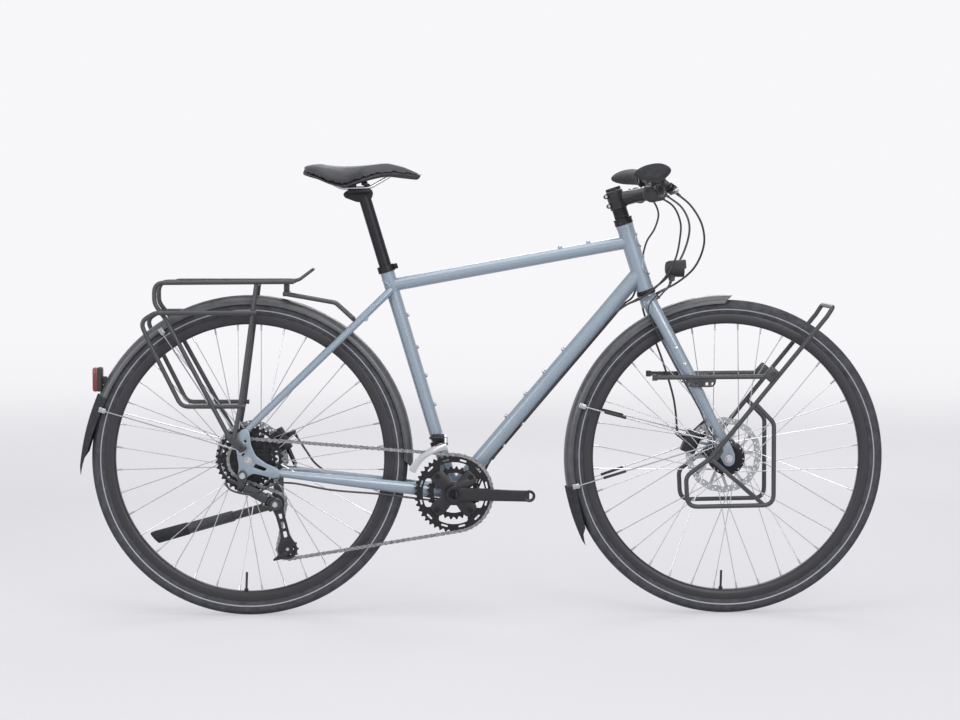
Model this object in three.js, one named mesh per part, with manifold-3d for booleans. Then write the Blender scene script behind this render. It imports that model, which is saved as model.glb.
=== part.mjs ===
// Touring bicycle with racks, mudguards, dynamo lights and a side stand.
// Millimetres. X points forward, Y to the rider's left, Z up, and the ground is Z = 0.
// The drive side faces -Y. X = 0 is the middle of the bicycle's overall length.
import * as THREE from 'three';
import { mergeVertices, mergeGeometries } from 'three/addons/utils/BufferGeometryUtils.js';
import Module from 'manifold-3d';

const wasm = await Module();
wasm.setup();

// Driving dimensions of the whole bicycle
const wheelbase = 1056;
const rearAxleX = -511;
const chainstayLength = 456;
const bracketDrop = 75;
const headAngle = 72.1;
const seatAngle = 73.3;
const forkRake = 58;
const forkLength = 398;
const headTubeLength = 152;
const seatTubeLength = 515;
const topTubeDrop = 38;
const crankLength = 165;
const crankAngle = -1.2;
const chainLinks = 116;
const chainPitch = 12.7;
const rearSpacing = 135;
const frontSpacing = 100;
const spokeCount = 36;
const spokeCrosses = 3;

// Clearances and cutting allowances shared by every fit
const gap = 0.3;
const overrun = 3;

// Facet counts: the fine surface of the visible pieces is made from the same sizes elsewhere
const wheelFacets = 32;
const hubFacets = 10;
const tubeSides = 8;
const rodSides = 6;
const cordSides = 8;
const cordTurn = 10;

// Wheels
const tyre = { radius: 349, halfWidth: 18.7, sideDrop: 17, tread: 8 };
const rim = { outer: 317.9, inner: 296, halfWidth: 12.3, innerHalf: 9 };
const spoke = { radius: 1.1, offset: 1.3, rimOffset: 2.5, sides: 3, bite: 2 };
const rearHub = {
  shell: 15, rightFlange: -19, leftFlange: 33, flangeRadius: 27, flangeWidth: 5,
  rotorPlane: 52, carrier: 17, endRadius: 9, rightEnd: -24.4,
};
const frontHub = {
  shell: 31, rightFlange: -24, leftFlange: 24, flangeRadius: 38, flangeWidth: 5,
  rotorPlane: 39.5, carrier: 17, endRadius: 10, capRadius: 27, capPlane: -37, rightEnd: -45.4,
};
const connector = { radius: 9, back: 11, rise: 20 };
const rotor = { thickness: 1.8, rear: 80, front: 85, band: 14, arms: 5, armWidth: 7, holes: 12, hub: 22 };
const axle = { radius: 4.8, nut: 9, nutWidth: 7, dropoutThickness: 6 };

// Drivetrain
const sprockets = [36, 30, 26, 23, 20, 17, 15, 13, 11];
const cassette = { first: -28.6, spacing: 4.35, thickness: 1.8, core: 17, lockRing: 11, rightEnd: -66.2 };
const drivenSprocket = 3;
const ringTeeth = 42;
const smallRingTeeth = 28;
const pulleyTeeth = 11;
const tooth = { tip: 2.2, root: 3.9, clearance: 0.5 };
const ring = { plane: -46, thickness: 1.8, band: 19, tabs: 4, tabRadius: 46, tabWidth: 22, smallPlane: -39.5 };
const smallRing = { band: 13, tabRadius: 30, tabWidth: 18 };
const ringBolt = { radius: 4.2, circle: 52, postRadius: 3.4, postCircle: 37 };
const spider = { thickness: 4, armWidth: 20, reach: 57, hub: 26 };
const arm = {
  boss: 18, rootWidth: 30, endWidth: 25, rootThickness: 15, endThickness: 12, rootPlane: -62, endPlane: -78,
  eyeRadius: 17, pedalBore: 7, leftRoot: 60,
};
const spindle = { radius: 12, wall: 2 };
const shell = { radius: 20, halfWidth: 34, bore: 17.3, cupRadius: 21.5, cupWidth: 10 };
const chain = { innerGap: 2.7, width: 6.6, outerHeight: 4.3, innerHeight: 3.5 };

// Frame tubes
const headTube = { radius: 19, bore: 17.1 };
const seatTube = { wall: 1 };
const topTube = { radius: 14.3 };
const downTube = { radius: 17.4 };
const seatStay = { radius: 8, top: 46, topSpread: 18, spread: 65, foot: [-8, 62] };
const chainStay = {
  start: 14, startSpread: 21, bendAt: 90, bendSpread: 30, spread: 63, halfWidth: 6.6, halfHeight: 13.5,
  endRadius: 8.5, bendRise: 9, foot: [62, -28],
};
const boss = { radius: 4.5, height: 5, sides: 5 };
const bosses = {
  seatTube: [330, 264], downTube: [332, 268],
};
const dropout = { width: 62, height: 116, thickness: 6, windowRadius: 4 };
const hanger = { x: -12.8, z: -32.3, radius: 11, boltRadius: 5, relief: 3 };
const bridge = { radius: 7, share: 0.806, ahead: 4.8, width: 30 };

// Steering
const steerer = { radius: 14.3, top: 82 };
const headset = { upperRadius: 21, upperHeight: 15, lowerRadius: 21, lowerHeight: 10.4, lip: 14, skirt: 12 };
const crown = { radius: 19.5, height: 26, spread: 44, halfDepth: 15, drop: 20 };
const blade = { spread: 60, topDepth: 13.5, topHalf: 10, endRadius: 7.5, tipAbove: 42, bend: 0.46 };
const forkEnd = { width: 34, height: 58, thickness: 7 };
const stem = {
  clampRadius: 19, clampHeight: 41, spacerRadius: 16.3, capRadius: 17, capHeight: 4, length: 92, angle: 11.6,
  tubeRadius: 15.5, barClampRadius: 21.5, barClampHalf: 22,
};
const bar = {
  clampRadius: 15.9, radius: 11.1, halfWidth: 312, bulgeHalf: 38, taperEnd: 66, bendStart: 70, bendEnd: 120,
  rise: 22, sweep: 8, upsweep: 4,
};
const grip = { length: 132, wingBack: 47, wingFront: 33, height: 17, neck: 15.5, wall: 3, tilt: 7.6 };
const perch = { fromGrip: 33, width: 14, radius: 15.5, armLength: 32, armHeight: 16, drop: 34 };
const pod = { width: 34, length: 38, height: 30, inward: 18 };
const lever = { length: 112, depth: 9, height: 13, reach: 46, drop: 16, pivotRadius: 6, cheek: 3, cheekLength: 24,
  cheekWidth: 9 };
const paddle = { length: 34, width: 10, thickness: 5 };

// Seat
const post = { radius: 13.6, wall: 2.4, insertion: 170, top: 162, headRadius: 14, headHalf: 20 };
const collar = { radius: 19, height: 15, ear: 9 };
const saddle = { length: 271, halfWidth: 76, height: 56, behind: 138.25, aboveRails: 2.05 };
const rails = { lift: 5, radius: 3.5, noseSpread: 9, midSpread: 22, tailSpread: 32 };

// Derailleurs, brakes
const derailleur = {
  linkLength: 52, linkHeight: 20, linkThickness: 5, outerPlane: -86.5, innerPlane: -64, earThickness: 3,
  kneeRadius: 14, kneeWall: 8, cagePlane: -48.2, plate: 1.5, cageReach: 106, pin: 2.4, boltHead: 9,
};
const cageShape = { topRadius: 15, endRadius: 20, waist: 9, slots: 3 };
const frontMech = {
  clampHeight: 15, clampWall: 5, inner: 95, outer: 113, from: 98, to: 153, halfGap: 5.4, plate: 1.2,
  pivotY: -27, pivotRise: 30, height: 110,
};
const caliper = { length: 52, height: 34, outerHalf: 17, innerHalf: 12.5, slot: 4.2, armLength: 34, armThickness: 4,
  pivotRadius: 9, postRadius: 5, drumHeight: 5, drumRadius: 15, pinRadius: 3.5, pinLength: 11, inset: 6 };

// Mudguards, racks, stand, lights
const guard = { crown: 361, edge: 334, halfWidth: 23.5, wall: 2, rearFrom: -4, rearTo: 160, frontFrom: 88, frontTo: 193 };
const flap = { rearLength: 168, frontLength: 128, rearFlare: 22, frontFlare: 8, thickness: 3 };
const stay = { radius: 1.6, clipRadius: 5, eyeRadius: 2.4, lift: 2.2, spacer: 29, clipDrop: 4, bite: 1, bow: 14,
  rearEye: [-21, 24], frontEye: [-25, 36], rearClips: [161.5, 143.5], frontClips: [190.7, 160.3] };
const rearRack = {
  rod: 5, length: 305, height: 391, railSpread: 52, hoopSpread: 70, footSpread: 82, plateWidth: 62, plate: 3,
  tongue: 42, armSpread: 26, hoopInset: 8, hoopFlare: 0.8, railBend: 34, hoopBend: 26, armBend: 20,
  eye: 9, eyeDrop: 22, footInset: 4, lug: [16, 10], lugPost: [14, 30, 26], armReach: 112, armDrop: 20,
};
const frontRack = { rod: 5, spread: 76, flat: 9, flatThickness: 4, length: 322, height: 335, bend: 24, tipBend: 18,
  junction: [26, 14, 30], mount: [66, 7, 22], inset: 2, eyes: [9, 8] };
const stand = {
  pivotX: 58, pivotZ: -118, pivotY: 78, axisShares: [-0.22, 0.93, 0.28], legRadius: 9, length: 226, footLength: 68,
  footRadius: 12, headRadius: 14, headLength: 28, bossInner: 8, bossOuter: 4, bracketThickness: 7, bracketWidth: 26,
  pinRadius: 4, dropShares: [-283, 4, -78],
};
const lamp = { radius: 19, length: 46, lens: 4, visor: 3 };
const lampBracket = { width: 16, thickness: 3 };
const tailLamp = { height: 54, width: 38, depth: 20, angle: 151 };

// Points that everything else is placed from
const V = (x, y, z) => new THREE.Vector3(x, y, z);
const rad = THREE.MathUtils.degToRad;
const up = V(0, 0, 1);
const left = V(0, 1, 0);
const rearAxle = V(rearAxleX, 0, tyre.radius);
const frontAxle = V(rearAxleX + wheelbase, 0, tyre.radius);
const bracket = V(rearAxleX + Math.hypot(chainstayLength, 0) * Math.cos(Math.asin(bracketDrop / chainstayLength)),
  0, tyre.radius - bracketDrop);
const seatUp = V(-Math.cos(rad(seatAngle)), 0, Math.sin(rad(seatAngle)));
const headUp = V(-Math.cos(rad(headAngle)), 0, Math.sin(rad(headAngle)));
const headForward = V(Math.sin(rad(headAngle)), 0, Math.cos(rad(headAngle)));
const along = (from, direction, distance) => from.clone().addScaledVector(direction, distance);
const crownRace = along(along(frontAxle, headForward, -forkRake), headUp, forkLength);
const headBottom = along(crownRace, headUp, headset.lowerHeight);
const headTop = along(headBottom, headUp, headTubeLength);
const seatTop = along(bracket, seatUp, seatTubeLength);
const seatRadius = post.radius + gap + seatTube.wall;
const polar = (centre, radius, degrees, y) =>
  V(centre.x + radius * Math.cos(rad(degrees)), y, centre.z + radius * Math.sin(rad(degrees)));
// A faceted bore of this radius clears a shaft however the two are turned
const around = (radius, sides) => (radius + gap) / Math.cos(Math.PI / sides);

// Meshes to solids and back

function facesOf(geometry) {
  const bare = geometry.index ? geometry.toNonIndexed() : geometry.clone();
  bare.deleteAttribute('normal');
  bare.deleteAttribute('uv');
  const merged = mergeVertices(bare);
  const places = merged.attributes.position.array;
  const corners = [];
  for (let i = 0; i < merged.index.count; i += 3) {
    const [a, b, c] = [0, 1, 2].map((k) => merged.index.getX(i + k));
    if (a !== b && b !== c && c !== a) {
      corners.push(a, b, c);
    }
  }
  return { places, corners };
}

function volumeOf(places, corners) {
  const [a, b, c] = [V(0, 0, 0), V(0, 0, 0), V(0, 0, 0)];
  let total = 0;
  for (let i = 0; i < corners.length; i += 3) {
    a.fromArray(places, corners[i] * 3);
    b.fromArray(places, corners[i + 1] * 3);
    c.fromArray(places, corners[i + 2] * 3);
    total += a.dot(b.cross(c)) / 6;
  }
  return total;
}

function solid(geometry) {
  const { places, corners } = facesOf(geometry);
  if (volumeOf(places, corners) < 0) {
    for (let i = 0; i < corners.length; i += 3) {
      [corners[i], corners[i + 1]] = [corners[i + 1], corners[i]];
    }
  }
  const mesh = new wasm.Mesh({
    numProp: 3, vertProperties: Float32Array.from(places), triVerts: Uint32Array.from(corners),
  });
  return new wasm.Manifold(mesh);
}

const fuse = (...pieces) => pieces.flat(Infinity).reduce((whole, piece) => whole.add(piece));
const cut = (body, ...tools) => tools.flat(Infinity).reduce((whole, tool) => whole.subtract(tool), body);

function geometryOf(body) {
  const mesh = body.getMesh();
  const geometry = new THREE.BufferGeometry();
  geometry.setAttribute('position', new THREE.BufferAttribute(Float32Array.from(mesh.vertProperties), 3));
  geometry.setIndex(new THREE.BufferAttribute(Uint32Array.from(mesh.triVerts), 1));
  geometry.computeVertexNormals();
  return geometry;
}

// Shapes that the pieces are made of

// A route through points chosen by hand, with one straight step from each to the next
class Route extends THREE.Curve {
  constructor(stations) {
    super();
    this.stations = stations;
  }

  getPoint(t, target = V(0, 0, 0)) {
    const last = this.stations.length - 1;
    const i = Math.min(Math.floor(t * last), last - 1);
    return target.lerpVectors(this.stations[i], this.stations[i + 1], t * last - i);
  }

  getPointAt(t, target) {
    return this.getPoint(t, target);
  }

  getSpacedPoints() {
    return this.stations.map((station) => station.clone());
  }

  getTangentAt(t, target = V(0, 0, 0)) {
    const last = this.stations.length - 1;
    const i = Math.round(t * last);
    const before = this.stations[Math.max(i - 1, 0)];
    const here = this.stations[i];
    const after = this.stations[Math.min(i + 1, last)];
    const arriving = here.clone().sub(before).normalize();
    const leaving = after.clone().sub(here).normalize();
    return target.copy(arriving.add(leaving)).normalize();
  }
}

// Each inner corner of a route becomes an arc of the given radius
function rounded(points, radius, steps = 3) {
  const stations = [points[0]];
  for (let i = 1; i < points.length - 1; i += 1) {
    const into = points[i].clone().sub(points[i - 1]);
    const out = points[i + 1].clone().sub(points[i]);
    const turn = into.angleTo(out);
    const reach = Math.min(radius * Math.tan(turn / 2), into.length() * 0.48, out.length() * 0.48);
    const bend = new THREE.QuadraticBezierCurve3(along(points[i], into.normalize(), -reach), points[i],
      along(points[i], out.normalize(), reach));
    stations.push(...bend.getPoints(steps));
  }
  return [...stations, points[points.length - 1]];
}

const smooth = (points, steps) =>
  new THREE.CatmullRomCurve3(points, false, 'centripetal').getPoints(steps * (points.length - 1));

function disc(radius, sides, turn = 0) {
  const corners = Array.from({ length: sides }, (_, i) => {
    const angle = turn + (i / sides) * 2 * Math.PI;
    return new THREE.Vector2(radius * Math.cos(angle), radius * Math.sin(angle));
  });
  return new THREE.Shape(corners);
}

function rod(stations, radius, sides = rodSides) {
  const geometry = new THREE.ExtrudeGeometry(disc(radius, sides), {
    steps: stations.length - 1, extrudePath: new Route(stations), curveSegments: 1,
  });
  return solid(geometry);
}

// A round bar between two points, straight or tapered
function barBetween(from, to, radius, sides = tubeSides, endRadius = radius) {
  const length = from.distanceTo(to);
  const geometry = new THREE.CylinderGeometry(endRadius, radius, length, sides);
  const turn = new THREE.Quaternion().setFromUnitVectors(left, to.clone().sub(from).normalize());
  geometry.applyMatrix4(new THREE.Matrix4().compose(from.clone().lerp(to, 1 / 2), turn, V(1, 1, 1)));
  return solid(geometry);
}

// A round bar that lies across the bicycle
const crossBar = (centre, fromY, toY, radius, sides = tubeSides) =>
  barBetween(V(centre.x, fromY, centre.z), V(centre.x, toY, centre.z), radius, sides);

// A body turned about a crosswise axis, from [radius, y] corners that close on themselves
function turned(centre, profile, sides) {
  const corners = [...profile, profile[0]].map(([radius, y]) => new THREE.Vector2(radius, y));
  const geometry = new THREE.LatheGeometry(corners, sides);
  geometry.translate(centre.x, 0, centre.z);
  return solid(geometry);
}

// A flat plate that stands in the bicycle's side view, between two crosswise planes
function sidePlate(shape, centre, lowY, highY) {
  const geometry = new THREE.ExtrudeGeometry(shape, { depth: highY - lowY, bevelEnabled: false, curveSegments: 6 });
  geometry.rotateX(Math.PI / 2);
  geometry.translate(centre.x, highY, centre.z);
  return solid(geometry);
}

// A block with its faces square to three directions
function block(centre, across, lengthwise, upright, sizes) {
  const geometry = new THREE.BoxGeometry(...sizes);
  const basis = new THREE.Matrix4().makeBasis(across, lengthwise, upright);
  geometry.applyMatrix4(basis);
  geometry.translate(centre.x, centre.y, centre.z);
  return solid(geometry);
}

// A skin drawn through matching sections, closed by a flat face at each end
function loft(sections) {
  const size = sections[0].length;
  const corners = [];
  const quad = (a, b, c, d) => corners.push(a, b, c, a, c, d);
  for (let s = 0; s < sections.length - 1; s += 1) {
    for (let i = 0; i < size; i += 1) {
      const j = (i + 1) % size;
      quad(s * size + i, s * size + j, (s + 1) * size + j, (s + 1) * size + i);
    }
  }
  const lastStart = (sections.length - 1) * size;
  for (const [section, start, outward] of [[sections[0], 0, false], [sections.at(-1), lastStart, true]]) {
    for (const [a, b, c] of THREE.ShapeUtils.triangulateShape(flattened(section), [])) {
      corners.push(...(outward ? [start + a, start + b, start + c] : [start + a, start + c, start + b]));
    }
  }
  const geometry = new THREE.BufferGeometry().setFromPoints(sections.flat());
  geometry.setIndex(corners);
  return solid(alignedCaps(geometry, size, sections.length));
}

// The corners of a section as seen square to its own plane
function flattened(section) {
  const centre = section.reduce((sum, point) => sum.add(point), V(0, 0, 0)).divideScalar(section.length);
  const normal = V(0, 0, 0);
  section.forEach((point, i) => {
    const next = section[(i + 1) % section.length];
    normal.add(point.clone().sub(centre).cross(next.clone().sub(centre)));
  });
  normal.normalize();
  const across = section[0].clone().sub(centre).normalize();
  const other = normal.clone().cross(across);
  return section.map((point) => {
    const offset = point.clone().sub(centre);
    return new THREE.Vector2(offset.dot(across), offset.dot(other));
  });
}

// The end faces are turned so that each edge is shared once in each direction
function alignedCaps(geometry, size, count) {
  const index = Array.from(geometry.index.array);
  const sideCount = (count - 1) * size * 6;
  const directed = new Set();
  for (let i = 0; i < sideCount; i += 3) {
    for (const [a, b] of [[0, 1], [1, 2], [2, 0]]) {
      directed.add(`${index[i + a]},${index[i + b]}`);
    }
  }
  const capLength = (size - 2) * 3;
  for (const start of [sideCount, sideCount + capLength]) {
    let clash = false;
    for (let i = start; i < start + capLength; i += 3) {
      for (const [a, b] of [[0, 1], [1, 2], [2, 0]]) {
        clash = clash || directed.has(`${index[i + a]},${index[i + b]}`);
      }
    }
    for (let i = start; clash && i < start + capLength; i += 3) {
      [index[i], index[i + 1]] = [index[i + 1], index[i]];
    }
  }
  geometry.setIndex(index);
  return geometry;
}

// An oval section square to a direction: across the bicycle and in its side view
function oval(centre, direction, halfAcross, halfDeep, sides = tubeSides, tilt = 0) {
  const side = left.clone().addScaledVector(direction, -left.dot(direction)).normalize();
  const deep = direction.clone().cross(side).normalize();
  return Array.from({ length: sides }, (_, i) => {
    const angle = tilt + (i / sides) * 2 * Math.PI;
    return along(along(centre, side, halfAcross * Math.cos(angle)), deep, halfDeep * Math.sin(angle));
  });
}

// An oval tube through stations of { at, across, deep }
function ovalTube(stations, sides = tubeSides) {
  const route = new Route(stations.map((station) => station.at));
  const last = stations.length - 1;
  return loft(stations.map(({ at, across, deep }, i) => oval(at, route.getTangentAt(i / last), across, deep, sides)));
}

const shapeOf = (shares, width, height) =>
  new THREE.Shape(shares.map(([x, z]) => new THREE.Vector2(x * width, z * height)));

// A bar with round ends in the side view, from one centre to another
function linkShape(from, to, fromRadius, toRadius, steps = 3) {
  const direction = Math.atan2(to.y - from.y, to.x - from.x);
  const arcOf = (centre, radius, start) => Array.from({ length: steps + 1 }, (_, i) => {
    const angle = start + (i / steps) * Math.PI;
    return new THREE.Vector2(centre.x + radius * Math.cos(angle), centre.y + radius * Math.sin(angle));
  });
  return new THREE.Shape([
    ...arcOf(from, fromRadius, direction + Math.PI / 2), ...arcOf(to, toRadius, direction - Math.PI / 2),
  ]);
}

const flat = (point) => new THREE.Vector2(point.x, point.z);

// Sprockets and rings

const pitchRadius = (teeth) => chainPitch / (2 * Math.sin(Math.PI / teeth));

// Each tooth is a root and a tip; a clearance makes the same outline larger all round
function toothedOutline(teeth, turn, clearance) {
  const radius = pitchRadius(teeth);
  const step = (2 * Math.PI) / teeth;
  const corners = [];
  for (let i = 0; i < teeth; i += 1) {
    const root = turn + i * step;
    const places = [[radius - tooth.root + clearance, root], [radius + tooth.tip + clearance, root + step / 2]];
    corners.push(...places.map(([r, angle]) => new THREE.Vector2(r * Math.cos(angle), r * Math.sin(angle))));
  }
  return new THREE.Shape(corners);
}

function toothedDisc(centre, teeth, turn, plane, thickness, clearance = 0) {
  return sidePlate(toothedOutline(teeth, turn, clearance), centre, plane - thickness / 2, plane + thickness / 2);
}

// The chain's route: ring, driven sprocket, guide pulley and tension pulley

const knee = polar(bracket, 392, 182.9, 0);
const spanDirection = { forward: 1, backward: -1 };
const drivenTeeth = sprockets[drivenSprocket];
const drivenPlane = cassette.first - cassette.spacing * drivenSprocket;

function tangentBetween(from, to) {
  const offset = flat(to.centre).sub(flat(from.centre));
  const swing = to.turn * to.radius - from.turn * from.radius;
  const angle = Math.atan2(offset.y, offset.x) - Math.asin(swing / offset.length());
  const leaveAt = angle - (from.turn * Math.PI) / 2;
  const reachAt = angle - (to.turn * Math.PI) / 2;
  const place = (wheel, at) => flat(wheel.centre)
    .add(new THREE.Vector2(wheel.radius * Math.cos(at), wheel.radius * Math.sin(at)));
  return { leaveAt, reachAt, start: place(from, leaveAt), end: place(to, reachAt) };
}

function chainWheels(cageAngle) {
  const wheel = (centre, teeth, turn) => ({ centre, teeth, turn, radius: pitchRadius(teeth) });
  return [
    wheel(bracket, ringTeeth, spanDirection.forward),
    wheel(rearAxle, drivenTeeth, spanDirection.forward),
    wheel(knee, pulleyTeeth, spanDirection.backward),
    wheel(polar(knee, derailleur.cageReach, cageAngle, 0), pulleyTeeth, spanDirection.forward),
  ];
}

// Each wheel gives an arc and the straight run that follows it, both measured in links
function chainRuns(cageAngle) {
  const wheels = chainWheels(cageAngle);
  const tangents = wheels.map((wheel, i) => tangentBetween(wheel, wheels[(i + 1) % wheels.length]));
  return wheels.map((wheel, i) => {
    const reachAt = tangents[(i + wheels.length - 1) % wheels.length].reachAt;
    const full = 2 * Math.PI;
    const swept = (((tangents[i].leaveAt - reachAt) * wheel.turn) % full + full) % full;
    const run = tangents[i].end.clone().sub(tangents[i].start);
    return { wheel, reachAt, swept, arcLinks: (swept / full) * wheel.teeth, run, runLinks: run.length() / chainPitch,
      start: tangents[i].start };
  });
}

const linksIn = (runs) => runs.reduce((sum, run) => sum + run.arcLinks + run.runLinks, 0);

// The cage swings back until the chain of the given number of links is taut
function tautCageAngle() {
  let [low, high] = [-125, -40];
  const steps = 40;
  for (let i = 0; i < steps; i += 1) {
    const middle = (low + high) / 2;
    if (linksIn(chainRuns(middle)) < chainLinks) {
      high = middle;
    } else {
      low = middle;
    }
  }
  return (low + high) / 2;
}

const cageAngle = tautCageAngle();
const runs = chainRuns(cageAngle);
const tensionCentre = runs[3].wheel.centre;
const usedLinks = Math.round(linksIn(runs));
const linkScale = linksIn(runs) / usedLinks;

// The place and the sideways direction of the chain at a distance counted in links
function chainPlace(distance) {
  let rest = distance;
  for (const { wheel, reachAt, arcLinks, run, runLinks, start } of runs) {
    if (rest <= arcLinks) {
      const angle = reachAt + (wheel.turn * rest * 2 * Math.PI) / wheel.teeth;
      const outward = new THREE.Vector2(Math.cos(angle), Math.sin(angle));
      return { at: flat(wheel.centre).addScaledVector(outward, wheel.radius), outward: outward.multiplyScalar(wheel.turn) };
    }
    rest -= arcLinks;
    if (rest <= runLinks) {
      const direction = run.clone().normalize();
      return { at: start.clone().addScaledVector(direction, rest * chainPitch),
        outward: new THREE.Vector2(direction.y, -direction.x) };
    }
    rest -= runLinks;
  }
  return chainPlace(0);
}

// A wheel's gaps face the pins that reach it
function gapTurn(index) {
  const before = runs.slice(0, index).reduce((sum, run) => sum + run.arcLinks + run.runLinks, 0);
  const firstPin = (Math.ceil(before / linkScale) * linkScale) - before;
  const { wheel, reachAt } = runs[index];
  return reachAt + (wheel.turn * firstPin * 2 * Math.PI) / wheel.teeth;
}

// Between the ring's plane and the sprocket's plane the chain runs slightly askew
const chainPlane = (x) => {
  const share = THREE.MathUtils.clamp((bracket.x - pitchRadius(ringTeeth) - x) / derailleur.skewRun, 0, 1);
  return ring.plane + share * (drivenPlane - ring.plane);
};
derailleur.skewRun = knee.x - bracket.x + pitchRadius(ringTeeth);
derailleur.skewRun = Math.abs(derailleur.skewRun) - derailleur.kneeRadius * 3;

function makeChain() {
  const outer = [];
  const inner = [];
  for (let i = 0; i < usedLinks; i += 1) {
    const height = i % 2 ? chain.innerHeight : chain.outerHeight;
    const { at, outward } = chainPlace(i * linkScale);
    outer.push(at.clone().addScaledVector(outward, height));
    inner.push(at.clone().addScaledVector(outward, -height));
  }
  const shape = new THREE.Shape(outer);
  shape.holes.push(new THREE.Path(inner));
  const strip = new THREE.ExtrudeGeometry(shape, { depth: chain.width, bevelEnabled: false });
  strip.rotateX(Math.PI / 2);
  strip.translate(0, chain.width / 2, 0);
  const places = strip.attributes.position;
  for (let i = 0; i < places.count; i += 1) {
    places.setY(i, places.getY(i) + chainPlane(places.getX(i)));
  }
  const slots = runs.map(({ wheel }, i) =>
    toothedDisc(wheel.centre, wheel.teeth, gapTurn(i), i === 0 ? ring.plane : drivenPlane, chain.innerGap, tooth.clearance));
  return cut(solid(strip), slots);
}

function makeCassette() {
  const bore = axle.radius + gap;
  const lastPlane = cassette.first - cassette.spacing * (sprockets.length - 1);
  const start = rearHub.rightEnd - gap;
  const core = fuse(crossBar(rearAxle, lastPlane - cassette.thickness, start, cassette.core, hubFacets),
    crossBar(rearAxle, cassette.rightEnd, start, cassette.lockRing, hubFacets));
  const discs = sprockets.map((teeth, i) => {
    const plane = cassette.first - cassette.spacing * i;
    const driven = i === drivenSprocket;
    return driven || i === 0
      ? toothedDisc(rearAxle, teeth, driven ? gapTurn(1) : 0, plane, cassette.thickness)
      : crossBar(rearAxle, plane - cassette.thickness / 2, plane + cassette.thickness / 2, pitchRadius(teeth),
        2 * tubeSides);
  });
  return cut(fuse(core, discs), crossBar(rearAxle, cassette.rightEnd - overrun, overrun, bore, hubFacets));
}

// A ring on tabs, with a hole in each tab for the bolt or post that carries it
function makeRing({ teeth, turn, plane, band, tabRadius, tabWidth, boltCircle, boltRadius }) {
  const half = ring.thickness / 2;
  const inner = pitchRadius(teeth) - band;
  const body = toothedDisc(bracket, teeth, turn, plane, ring.thickness);
  const opening = crossBar(bracket, plane - half - overrun, plane + half + overrun, inner, 2 * tubeSides);
  const tabs = quarters((angle) => {
    const centre = polar(bracket, (inner + tabRadius) / 2 + gap, angle, plane);
    const outward = V(Math.cos(rad(angle)), 0, Math.sin(rad(angle)));
    return block(centre, outward, left, outward.clone().cross(left), [inner - tabRadius + overrun, ring.thickness, tabWidth]);
  });
  const holes = quarters((angle) => crossBar(polar(bracket, boltCircle, angle, 0),
    plane - half - overrun, plane + half + overrun, boltRadius, rodSides));
  return cut(fuse(cut(body, opening), tabs), holes);
}

const quarters = (make) => Array.from({ length: ring.tabs }, (_, i) =>
  make(crankAngle + 45 + (i * 360) / ring.tabs));

function makeOuterRing() {
  return makeRing({
    teeth: ringTeeth, turn: gapTurn(0), plane: ring.plane, band: ring.band, tabRadius: ring.tabRadius,
    tabWidth: ring.tabWidth, boltCircle: ringBolt.circle, boltRadius: ringBolt.radius + gap,
  });
}

function makeInnerRing() {
  return makeRing({
    teeth: smallRingTeeth, turn: 0, plane: ring.smallPlane, band: smallRing.band, tabRadius: smallRing.tabRadius,
    tabWidth: smallRing.tabWidth, boltCircle: ringBolt.postCircle, boltRadius: ringBolt.postRadius + gap,
  });
}

// Crank arms

function crankArm(side, angle, rootY) {
  const outward = V(Math.cos(rad(angle)), 0, Math.sin(rad(angle)));
  const end = along(bracket, outward, crankLength);
  const shares = [[0, 0], [0.3, 0.45], [0.7, 0.85], [1, 1]];
  const sections = shares.map(([at, spread]) => {
    const width = THREE.MathUtils.lerp(arm.rootWidth, arm.endWidth, at) / 2;
    const thickness = THREE.MathUtils.lerp(arm.rootThickness, arm.endThickness, at) / 2;
    const plane = THREE.MathUtils.lerp(arm.rootPlane, arm.endPlane, spread);
    const centre = along(bracket, outward, crankLength * at);
    return oval(V(centre.x, -side * plane, centre.z), outward, thickness, width, rodSides, Math.PI / rodSides);
  });
  const endFace = -side * arm.endPlane;
  const eye = crossBar(end, endFace - arm.endThickness / 2, endFace + arm.endThickness / 2, arm.eyeRadius, tubeSides);
  const hub = crossBar(bracket, rootY, -side * (arm.rootPlane - arm.rootThickness / 2), arm.boss, 2 * rodSides);
  const hole = crossBar(end, endFace - arm.endThickness, endFace + arm.endThickness, arm.pedalBore, rodSides);
  return cut(fuse(loft(sections), eye, hub), hole);
}

function makeRightCrank() {
  const face = ring.plane - ring.thickness / 2 - gap;
  const back = shell.halfWidth + shell.cupWidth + gap;
  const plate = [crossBar(bracket, face - spider.thickness, face, spider.hub, 2 * rodSides)];
  const arms = quarters((angle) => {
    const outward = V(Math.cos(rad(angle)), 0, Math.sin(rad(angle)));
    const tip = along(bracket, outward, spider.reach - spider.armWidth / 2);
    const middle = bracket.clone().lerp(tip, 1 / 2).setY(face - spider.thickness / 2);
    const body = block(middle, outward, left, outward.clone().cross(left),
      [bracket.distanceTo(tip) + spider.armWidth / 2, spider.thickness, spider.armWidth]);
    const bolt = crossBar(polar(bracket, ringBolt.circle, angle, 0), face - spider.thickness,
      face + ring.thickness + 2 * gap, ringBolt.radius, rodSides);
    const post = crossBar(polar(bracket, ringBolt.postCircle, angle, 0), face - overrun,
      ring.smallPlane + ring.thickness / 2, ringBolt.postRadius, rodSides);
    return [body, bolt, post];
  });
  const body = fuse(crankArm(-1, crankAngle, -back), plate, arms);
  return cut(body, crossBar(bracket, -back + overrun, arm.endPlane - overrun, spindle.radius + gap, 2 * rodSides));
}

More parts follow.
